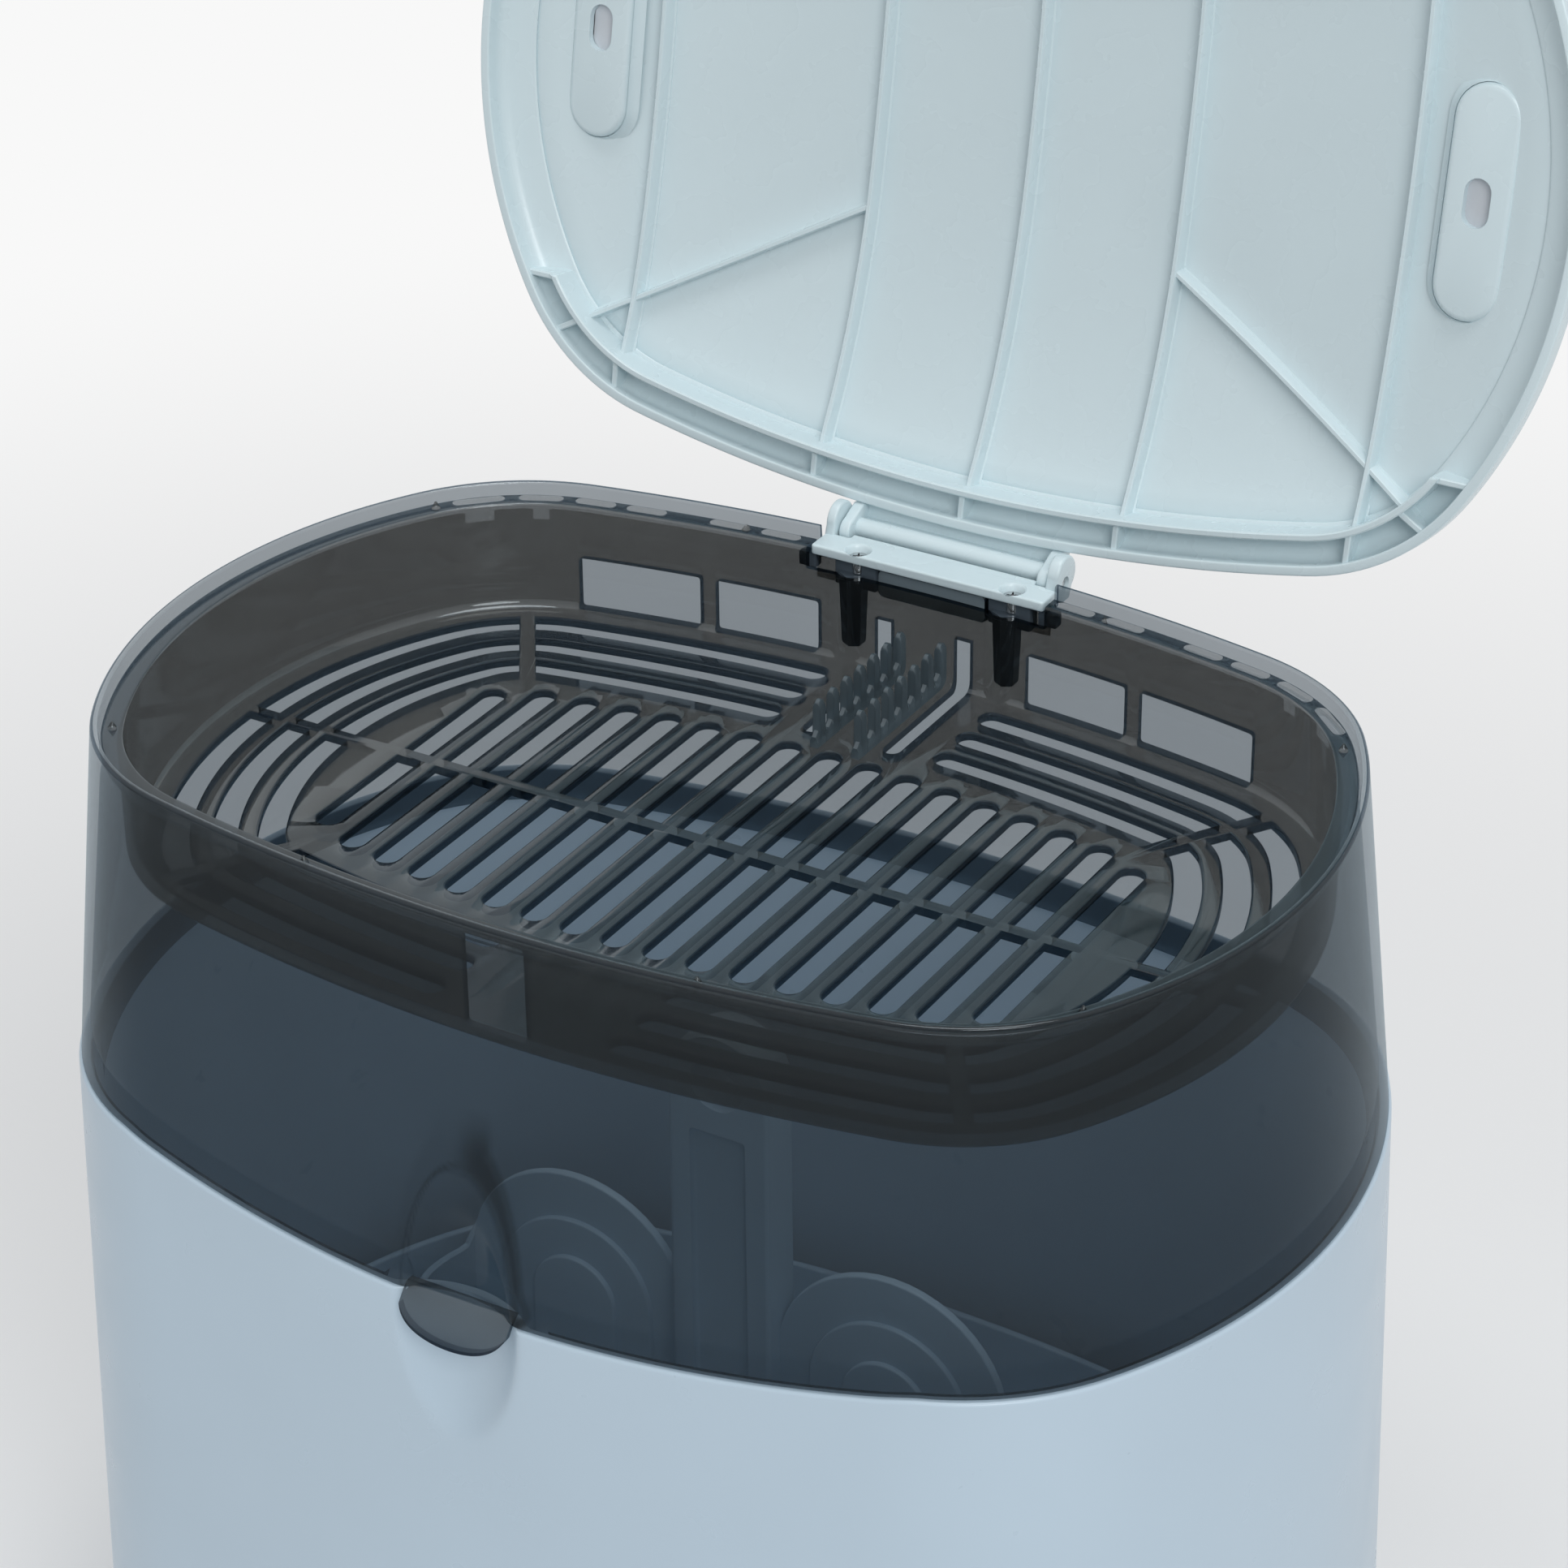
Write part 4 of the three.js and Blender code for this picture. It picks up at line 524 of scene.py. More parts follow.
def strip_loft(rows, count, across):
    """Walls through the strip's rings, with a grid of faces over both ends instead of a fan.

    A point inside an end lies on the line between the two long sides, at its share of the way across.
    """
    rows = np.asarray(rows, float)
    levels, around = rows.shape[:2]
    points = [rows.reshape(-1, 3)]
    faces = [grid_faces(levels, around)]
    total = levels * around
    edge = np.arange(around)
    inner_count = (count - 2) * (across - 2)
    share = np.linspace(0, 1, across)[None, 1:-1, None]
    for level, turned_over in ((0, True), (levels - 1, False)):
        base = level * around
        number = np.zeros((count, across), int)
        number[:, 0] = base + edge[:count]
        number[-1, 1:] = base + edge[count:count + across - 1]
        number[-2::-1, -1] = base + edge[count + across - 1:2 * count + across - 2]
        number[0, -2:0:-1] = base + edge[2 * count + across - 2:]
        ring = rows[level]
        left = ring[1:count - 1][:, None]
        right = ring[count + across - 1:2 * count + across - 2][::-1][1:][:, None]
        inner = left * (1 - share) + right * share
        number[1:-1, 1:-1] = total + np.arange(inner_count).reshape(count - 2, across - 2)
        points.append(inner.reshape(-1, 3))
        total += inner_count
        quads = np.stack([number[:-1, :-1], number[1:, :-1], number[1:, 1:], number[:-1, 1:]], -1)
        quads = quads.reshape(-1, 4)
        faces.append(quads[:, ::-1] if turned_over else quads)
    return np.concatenate(points), faces


# Meshes


def add_piece(name, shapes, material, sharp=32.0):
    """One mesh object from closed shapes, each (points in mm, blocks of faces), smooth up to an angle."""
    points, sides, corners, total = [], [], [], 0
    for shape_points, shape_faces in shapes:
        points.append(shape_points)
        for block in shape_faces:
            sides.append(np.full(len(block), block.shape[1]))
            corners.append((block + total).reshape(-1))
        total += len(shape_points)
    points, sides, corners = np.concatenate(points) * METRES, np.concatenate(sides), np.concatenate(corners)
    mesh = bpy.data.meshes.new(name)
    mesh.vertices.add(len(points))
    mesh.vertices.foreach_set("co", points.astype(np.float32).reshape(-1))
    mesh.loops.add(len(corners))
    mesh.loops.foreach_set("vertex_index", corners.astype(np.int32))
    mesh.polygons.add(len(sides))
    mesh.polygons.foreach_set("loop_start", (np.cumsum(sides) - sides).astype(np.int32))
    mesh.update(calc_edges=True)
    mesh.validate()
    piece = bpy.data.objects.new(name, mesh)
    bpy.context.scene.collection.objects.link(piece)
    mesh.materials.append(material)
    shade(mesh, sharp)
    return piece


def shade(mesh, sharp):
    """Smooth shading, except across edges sharper than an angle in degrees."""
    mesh.polygons.foreach_set("use_smooth", np.ones(len(mesh.polygons), bool))
    mesh.set_sharp_from_angle(angle=math.radians(sharp))


def cut(piece, shapes, sharp=32.0, joined=False, material=None):
    """Takes closed shapes out of the piece, or adds them to it when joined, with an exact Boolean.

    The faces that it makes get the material, or else the piece's own.
    """
    cutter = add_piece("cutter", shapes, material or piece.data.materials[0])
    modifier = piece.modifiers.new("cut", "BOOLEAN")
    modifier.operation = "UNION" if joined else "DIFFERENCE"
    modifier.solver = "EXACT"
    modifier.material_mode = "TRANSFER"
    modifier.object = cutter
    bpy.context.view_layer.update()
    graph = bpy.context.evaluated_depsgraph_get()
    mesh = bpy.data.meshes.new_from_object(piece.evaluated_get(graph), depsgraph=graph)
    piece.modifiers.clear()
    old, piece.data = piece.data, mesh
    bpy.data.meshes.remove(old)
    bpy.data.meshes.remove(cutter.data)
    shade(mesh, sharp)
    if not len(mesh.polygons):
        raise RuntimeError(f"nothing is left of {piece.name} after its cut")
    return piece


def paint(mesh, material, wanted):
    """Gives the material to the flagged faces."""
    index = np.empty(len(mesh.polygons), int)
    mesh.polygons.foreach_get("material_index", index)
    if material.name not in mesh.materials:
        mesh.materials.append(material)
    mesh.polygons.foreach_set("material_index", np.where(wanted, mesh.materials.find(material.name), index))


def edge_faces(piece, material, chosen):
    """Gives the material to the faces whose middles, in millimetres, a function of them chooses."""
    middles = np.empty(len(piece.data.polygons) * 3)
    piece.data.polygons.foreach_get("center", middles)
    paint(piece.data, material, chosen(middles.reshape(-1, 3) / METRES))


def row_middles(rows):
    """Growth and height half way between each point of a closed profile and the next one."""
    return (rows[:, :2] + np.roll(rows[:, :2], -1, 0)).T / 2


def edge_rows(piece, material, chosen, columns):
    """Gives the material to whole rows of a grid's faces, chosen by a flag for each row."""
    row = np.arange(len(piece.data.polygons)) // columns
    paint(piece.data, material, np.append(chosen, False)[np.minimum(row, len(chosen))])


def finish_piece(piece, body, slot, *nodes):
    """Puts the piece on its body and hides the solids that it stands for."""
    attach(piece, body)
    if nodes:
        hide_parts(*nodes)


# Finishes


def start_finish(name):
    """A new material with only its output, and a reader of the object's own coordinates."""
    material = bpy.data.materials.new(name)
    material.use_nodes = True
    tree = material.node_tree
    tree.nodes.clear()
    output = add(tree, "OutputMaterial")
    place = add(tree, "TexCoord").outputs["Object"]
    return material, tree, output, place


def add(tree, kind, inputs=None, **settings):
    """A node of a kind, with its settings, and its sockets set or joined."""
    made = tree.nodes.new("ShaderNode" + kind)
    for key, value in settings.items():
        setattr(made, key, value)
    for key, value in (inputs or {}).items():
        if isinstance(value, bpy.types.NodeSocket):
            tree.links.new(value, made.inputs[key])
        else:
            made.inputs[key].default_value = value
    return made


def math_node(tree, operation, *values):
    """The result of a sum on sockets or numbers."""
    return add(tree, "Math", dict(enumerate(values)), operation=operation).outputs[0]


def glossy(material, tree, output, inputs):
    """Ends a material with the plain surface shader."""
    surface = add(tree, "BsdfPrincipled", inputs)
    tree.links.new(surface.outputs["BSDF"], output.inputs["Surface"])
    return material


def noise(tree, place, scale, detail=3.0, stretch=None):
    """Noise on the object's coordinates, drawn out along an axis by a stretch."""
    if stretch:
        place = add(tree, "Mapping", {"Vector": place, "Scale": stretch}).outputs["Vector"]
    return add(tree, "TexNoise", {"Vector": place, "Scale": scale, "Detail": detail}).outputs["Fac"]


def spread(tree, value, low, high):
    """A noise value between 0.3 and 0.7 laid onto a range."""
    made = add(tree, "MapRange", {"Value": value, 1: 0.3, 2: 0.7, 3: low, 4: high})
    return made.outputs["Result"]


def blend_colours(tree, share, first, second):
    """A colour that goes from the first to the second with the share."""
    return add(tree, "Mix", {0: share, 6: first, 7: second}, data_type="RGBA").outputs[2]


def tinted(colour, factor):
    """The colour made lighter or darker, as red, green, blue and one."""
    return tuple(min(1.0, c * factor) for c in colour[:3]) + (1.0,)


def scaled(colour, *factors):
    """The colour with each channel times its own factor."""
    return tuple(c * f for c, f in zip(colour, factors))


def layered(colour, layers):
    """What a number of layers lets through, where the colour is what one does."""
    return tuple(c**layers for c in colour)


def bumps(tree, height, distance, strength=0.3, normal=None):
    """A surface raised by a height, on top of another such surface where a normal is given."""
    inputs = {"Height": height, "Distance": distance, "Strength": strength}
    if normal is not None:
        inputs["Normal"] = normal
    return add(tree, "Bump", inputs).outputs["Normal"]


def moulded_plastic(name, colour, roughness, mottle=0.02, grain=0.00004):
    """Glossy opaque moulding: faint cloudy colour, uneven gloss, a fine moulded grain and slow sink marks."""
    material, tree, output, place = start_finish(name)
    cloud = spread(tree, noise(tree, place, 14.0), 0.0, 1.0)
    tone = blend_colours(tree, cloud, tinted(colour, 1 - mottle), tinted(colour, 1 + mottle))
    gloss = spread(tree, noise(tree, place, 70.0), roughness - 0.03, roughness + 0.04)
    waves = bumps(tree, noise(tree, place, 22.0, 1.0), 0.0004, 0.12)
    skin = bumps(tree, noise(tree, place, 1600.0, 2.0), grain, 0.35, waves)
    return glossy(material, tree, output, {"Base Color": tone, "Roughness": gloss, "Normal": skin})


def smoked_plastic(name, tint, gloss=0.05, mirror=0.04, body_share=0.0, own_tone=0.35, crease_shaded=False):
    """Clear smoked moulding: each face dims what is behind it and mirrors more towards its edges.

    The mirrored share is a small base plus 0.9 times the fifth power of one less the cosine of the viewing
    angle, and upright faces get less of it, a painted reflection: faces that look up get more sheen, standing
    in for a dim room low down that upright faces would mirror. Light on its way to what stands inside is
    dimmed less. A body share adds some of the plastic's own colour. A crease-shaded one dims more where its
    attribute
    for painted crease shade is high: painted shade along the grip's creases.
    """
    material, tree, output, place = start_finish(name)
    cloud = spread(tree, noise(tree, place, 18.0), 0.0, 1.0)
    body = blend_colours(tree, cloud, tinted(tint, 0.985), tinted(tint, 1.015))
    path = add(tree, "LightPath").outputs
    inward = math_node(tree, "MAXIMUM", path["Is Shadow Ray"], path["Is Diffuse Ray"])
    passed = blend_colours(tree, inward, body, layered(tint[:3], 0.6) + (1.0,))
    # painted shade: darker where the grip's crease attribute is high
    if crease_shaded:
        painted_crease_shade = add(tree, "Attribute")
        painted_crease_shade.attribute_name = "painted_crease_shade"
        passed = blend_colours(tree, painted_crease_shade.outputs["Fac"], passed, tinted(tint, 0.62))
    waves = bumps(tree, noise(tree, place, 24.0, 1.0), 0.0008, 0.3)
    facing = add(tree, "LayerWeight", {"Blend": 0.5}).outputs["Facing"]
    share = math_node(tree, "MULTIPLY_ADD", math_node(tree, "POWER", facing, 5.0), 0.9, mirror)
    # painted reflection: the mirrored share grows on faces that look up and shrinks on upright ones
    rise = add(tree, "SeparateXYZ", {0: add(tree, "NewGeometry").outputs["Normal"]}).outputs["Z"]
    rise = math_node(tree, "ABSOLUTE", rise)
    up_facing_sheen = add(tree, "MapRange", {"Value": rise, 1: 0.1, 2: 0.8, 3: 0.4, 4: 1.1}).outputs[0]
    share = math_node(tree, "MULTIPLY", share, up_facing_sheen)
    rough = spread(tree, noise(tree, place, 55.0), gloss, gloss + 0.04)
    clear = add(tree, "BsdfTransparent", {"Color": passed}).outputs[0]
    if body_share:
        own = add(tree, "BsdfDiffuse", {"Color": tinted(tint, own_tone)}).outputs[0]
        clear = add(tree, "MixShader", {0: body_share, 1: clear, 2: own}).outputs[0]
    # painted reflection: the mirror's colour puts a bluish cast on every reflection
    shine = add(tree, "BsdfGlossy", {"Roughness": rough, "Normal": waves, "Color": (0.86, 0.95, 1.0, 1.0)})
    both = add(tree, "MixShader", {0: share, 1: clear, 2: shine.outputs[0]})
    tree.links.new(both.outputs[0], output.inputs["Surface"])
    return material


def brushed_metal(name, colour, roughness, stretch):
    """Metal with fine brush lines: noise drawn out along one axis moves the gloss, shade and surface."""
    material, tree, output, place = start_finish(name)
    lines = noise(tree, place, 260.0, 4.0, stretch)
    tone = blend_colours(tree, spread(tree, lines, 0.0, 1.0), tinted(colour, 0.93), tinted(colour, 1.06))
    gloss = spread(tree, lines, roughness - 0.06, roughness + 0.08)
    return glossy(material, tree, output, {
        "Base Color": tone, "Metallic": 1.0, "Roughness": gloss, "Normal": bumps(tree, lines, 0.00003, 0.4)})


def soft_rubber(name, colour, roughness):
    """Dull rubber or silicone: a coarse grain, a faint bloom in the colour and hardly any gloss."""
    material, tree, output, place = start_finish(name)
    bloom = spread(tree, noise(tree, place, 45.0), 0.0, 1.0)
    tone = blend_colours(tree, bloom, tinted(colour, 0.9), tinted(colour, 1.12))
    skin = bumps(tree, noise(tree, place, 900.0, 3.0), 0.0001, 0.4)
    return glossy(material, tree, output, {
        "Base Color": tone, "Roughness": roughness, "Normal": skin, "Specular IOR Level": 0.3})


def lacquered_board(name):
    """Green lacquered board: fine copper tracks show through the lacquer as bands broken by noise."""
    material, tree, output, place = start_finish(name)
    wave = add(tree, "TexWave", {"Vector": place, "Scale": 260.0, "Distortion": 3.0, "Detail": 1.0})
    tracks = math_node(tree, "GREATER_THAN", wave.outputs["Fac"], 0.72)
    tone = blend_colours(tree, tracks, (0.02, 0.13, 0.06, 1.0), (0.06, 0.24, 0.10, 1.0))
    return glossy(material, tree, output, {
        "Base Color": tone, "Roughness": spread(tree, noise(tree, place, 90.0), 0.3, 0.45),
        "Normal": bumps(tree, tracks, 0.00004, 0.5)})


def clear_lens(name):
    """Milky lens of the indicator: pale, very smooth, with a faint cloud."""
    material, tree, output, place = start_finish(name)
    tone = blend_colours(tree, noise(tree, place, 300.0), (0.62, 0.70, 0.73, 1.0), (0.72, 0.79, 0.81, 1.0))
    return glossy(material, tree, output, {
        "Base Color": tone, "Roughness": spread(tree, noise(tree, place, 200.0), 0.08, 0.16),
        "Coat Weight": 0.5})


def finish(name):
    """A finish by name, made once."""
    made = bpy.data.materials.get(name)
    if made is not None:
        return made
    c = colours()
    makers = {
        "shell blue": (moulded_plastic, c.shell, 0.3),
        "basket blue": (moulded_plastic, c.inside, 0.4, 0.03),
        # painted light: a lighter copy of the shell blue, a little less blue, for the lid and bracket, as they
        # are lit more than the body
        "lid blue": (moulded_plastic, scaled(c.shell, 1.30, 1.24, 1.12), 0.27),
        "dark plastic": (moulded_plastic, (0.028, 0.03, 0.033), 0.42, 0.06, 0.0001),
        # the smoked hood carries painted shade along the grip's creases
        "smoked hood": (smoked_plastic, c.smoke, 0.05, 0.04, 0.0, 0.35, True),
        "smoked lip": (smoked_plastic, layered(c.smoke, 0.62), 0.05, 0.05),
        # painted shade: a dark tint for cut faces and rounded edges, standing in for the dark outlines of
        # clear plastic seen edge-on
        "smoked edge": (smoked_plastic, scaled(c.smoke, 0.26, 0.33, 0.40)),
        # painted shade: the tongue gets a darker tint than its thin plastic would have
        "smoked tongue": (smoked_plastic, layered(c.smoke, 1.5), 0.04, 0.07),
        "smoked box": (smoked_plastic, scaled(c.smoke, 0.62, 0.74, 0.80), 0.1, 0.05, 0.75, 0.8),
        "smoked posts": (smoked_plastic, scaled(c.smoke, 0.18, 0.22, 0.26), 0.12, 0.04, 0.8, 0.9),
        "smoked comb": (smoked_plastic, scaled(c.smoke, 0.50, 0.62, 0.68), 0.08, 0.06, 0.6),
        "smoked tray": (smoked_plastic, c.tray, 0.05, 0.05),
        # painted shade and a painted sky reflection: the flange's top gets a darker, bluer tint than the tray
        "smoked flange": (smoked_plastic, scaled(c.tray, 0.28, 0.36, 0.44), 0.07, 0.055),
        "thin edge": (smoked_plastic, layered(c.tray, 0.12), 0.07, 0.03),
        "vent flap": (soft_rubber, (0.60, 0.63, 0.67), 0.5),
        "foot rubber": (soft_rubber, (0.10, 0.11, 0.12), 0.8),
        "seal silicone": (soft_rubber, (0.56, 0.58, 0.60), 0.6),
        "brushed steel": (brushed_metal, c.steel, 0.26, (1.0, 12.0, 12.0)),
        "plated steel": (brushed_metal, tinted(c.steel, 0.95), 0.22, (8.0, 8.0, 1.0)),
        "heater steel": (brushed_metal, tinted(c.steel, 0.7), 0.35, (6.0, 6.0, 1.0)),
        "board": (lacquered_board,),
        "lens": (clear_lens,),
    }
    maker, *settings = makers[name]
    return maker(name, *settings)


# Shared places


def seam_height():
    """Height of the seam between body and hood, where it doesn't dip."""
    return mm("rim_height") - mm("seam_drop")


def pad_top():
    """Height of the pad on the hood that the hinge bracket lies on."""
    return mm("rim_height") - BRACKET_DROP - BRACKET_THICK - FIT


def screw_y():
    """How far back the hinge's screws stand."""
    return mm("rim_half_depth") - SCREW_INSET


def body_grow(z):
    """How far the body's outline is grown at a height: a straight line from the base to the seam."""
    top = SEAM_FLARE + BODY_PROUD
    return BASE_FLARE + (top - BASE_FLARE) * z / seam_height()


def front_y(grow):
    """The front of the outline grown by grow."""
    return -(mm("rim_half_depth") + grow)


def hinge_axis():
    """How far back and how high the hinge's axis lies."""
    return mm("rim_half_depth") + 4.6, mm("rim_height") - 2.9


def fine_rows(profile, step, zone=None, fine=1.0):
    """A closed profile with its long edges divided, and divided finer where the height lies in a zone."""
    rows = []
    for start, end in zip(profile, np.roll(profile, -1, 0)):
        length = np.linalg.norm((end - start)[:2])
        t = np.arange(max(1, math.ceil(length / step))) / max(1, math.ceil(length / step))
        if zone:
            close = np.arange(1, max(1, math.ceil(length / fine))) / max(1, math.ceil(length / fine))
            height = start[1] + (end[1] - start[1]) * close
            t = np.unique(np.concatenate([t, close[(height > zone[0]) & (height < zone[1])]]))
        rows.append(start + (end - start) * t[:, None])
    return np.concatenate(rows)


def press_hollow(rings, extra, half_width, half_height, depth, surface, level, soft=0.8, bluff=2.4):
    """Presses a finger hollow into the front of a wall.

    The hollow is part of an egg that breaks the wall's face in an ellipse with the two half sizes. A point's
    depth becomes the smooth greater of its own and the egg's: half their sum plus half the root of their
    difference squared plus soft squared. extra grows the egg, for the wall's inner face.
    """
    outside = bluff * depth
    reach = depth + outside
    widen = math.sqrt(1 - (outside / reach) ** 2)
    extra = extra[:, None]
    share = ((rings[..., 0] - GRIP_X) / (half_width / widen + extra)) ** 2
    share = share + ((rings[..., 2] - level) / (half_height / widen + extra)) ** 2
    inside = np.sqrt(np.clip(1 - share, 0, None)) - 2 * np.clip(share - 1, 0, None)
    egg = surface - outside + (reach + extra) * inside
    own = rings[..., 1]
    rings[..., 1] = 0.5 * (own + egg + np.sqrt((own - egg) ** 2 + soft**2))
    return rings


class Skin:
    """Height of the lid's inner or outer skin over a plan point, with the lid shut.

    Near the edge it follows the side profile by how far the point lies inside the outline. Further in it is
    the dome: the top less the rise times the share of the way out to the power of the dome.
    """

    def __init__(self, plan, edge, top, side):
        self.plan, self.edge, self.top = plan, edge, top
        self.side = np.asarray(side, float)
        place = np.linspace(0, plan.length, 2400, endpoint=False)
        self.base, _ = plan.frame(place)
        band = plan.at(place, np.full(place.shape, -LID_BAND))
        angle = np.arctan2(band[:, 1], band[:, 0])
        order = np.argsort(angle)
        self.angle, self.radius = angle[order], np.linalg.norm(band, axis=1)[order]

    def height(self, points):
        points = np.asarray(points, float)
        away = np.sqrt(((points[:, None] - self.base[None]) ** 2).sum(-1)).min(1)
        angle = np.arctan2(points[:, 1], points[:, 0])
        radius = np.interp(angle, self.angle, self.radius, period=2 * math.pi)
        share = np.linalg.norm(points, axis=1) / radius
        dome = self.top - (self.top - self.edge) * np.clip(share, 0, 1) ** DOME_POWER
        order = np.argsort(-self.side[:, 0])
        side = np.interp(away, -self.side[order, 0], self.side[order, 1])
        return np.where(away < LID_BAND, side, dome) + mm("rim_height") + FIT


def outer_side():
    """Growth and height of the lid's outer face from its foot to the band, over the rim."""
    return [(-LID_INSET, LID_SIDE_HEIGHT - 1), (-LID_INSET - 1, LID_SIDE_HEIGHT + 0.6),
            (-LID_INSET - LID_WALL - 1.4, LID_INNER_EDGE - 0.2), (-LID_BAND, LID_INNER_EDGE + LID_SKIN)]


def inner_side():
    """Growth and height of the lid's inner face from its foot to the band, over the rim."""
    return [(-LID_INSET - LID_WALL, LID_SIDE_HEIGHT - 2.6), (-LID_INSET - LID_WALL - 1.5, 5.9),
            (-LID_INSET - LID_WALL - 4.8, 7.2), (-LID_BAND, LID_INNER_EDGE)]


# Pieces


def wall_y(z):
    """Where the body's front face lies at a height."""
    return front_y(body_grow(z))


def build_body():
    """The body: a closed profile round the outline, whose floor runs in to a round hole for the plate.

    The hole's circles lie in the directions of the outline's points from the middle. The finger scoop is
    pressed into the front with an egg.
    """
    plan = Plan()
    seam = seam_height()
    top = SEAM_FLARE + BODY_PROUD
    under = DECK - DECK_THICK
    profile = [
        (-50, under, 0), (body_grow(under) - BODY_WALL, under, 0), (BASE_FLARE - BODY_WALL, 0, 0),
        (BASE_FLARE, 0, 0), (top, seam, 1), (top - BODY_WALL, seam, 1),
        (body_grow(DECK) - BODY_WALL, DECK, 0), (-50, DECK, 0),
    ]
    zone = (seam - SEAM_DIP - SCOOP_HEIGHT - 4, seam + 1)
    rows = fine_rows(rounded(profile, [0, 2, 0.3, 3, 0.9, 0.5, 4, 0], 5), 9, zone, 1.1)
    columns = plan.columns(3.0, front=0.7)
    rings = plan_shell(plan, rows, columns)
    extra = np.clip(body_grow(rows[:, 1]) - rows[:, 0], 0, BODY_WALL)
    rings = press_hollow(
        rings, extra, GRIP_BROW[0] - 0.4, SCOOP_HEIGHT, SCOOP_DEPTH, front_y(top), seam - SEAM_DIP, 0.9)
    base, _ = plan.frame(columns)
    unit = base / np.linalg.norm(base, axis=1)[:, None]
    circles = [np.column_stack([unit * (PLATE_HOLE + grow), np.full(len(unit), z)])
               for grow, z in ((0.6, DECK), (0, DECK - 0.6), (0, under + 0.4), (0.4, under))]
    shell = outward(loft(np.concatenate([rings, np.array(circles)]), wrap=True))
    piece = add_piece("body", [shell], finish("shell blue"), 40)
    x, z = GLAND
    bores = ((14.3, (0, wall_y(BUTTON_Z), BUTTON_Z)), (2.7, (0, wall_y(LENS_Z), LENS_Z)),
             (7.3, (x, plan.edge_y(x, body_grow(z)), z)))
    ways = [to_axis(turned([(0, -8), (radius, -8), (radius, 8), (0, 8)], 40), "Y", place)
            for radius, place in bores]
    cut(piece, ways, 40)
    bosses = [turned([(1.9, 3.3), (5, 3.3), (5, under + 1), (1.9, under + 1)], 24, (a * 66, b * 92, 0))
              for a in (-1, 1) for b in (-1, 1)]
    finish_piece(add_piece("body_bosses", bosses, finish("shell blue")), "base", "light_blue")
    finish_piece(piece, "base", "light_blue", "body_shell")


def build_hood():
    """The hood with its grip's tongue and the mount under the hinge bracket."""
    build_hood_shell()
    build_tongue()
    build_hinge_mount()


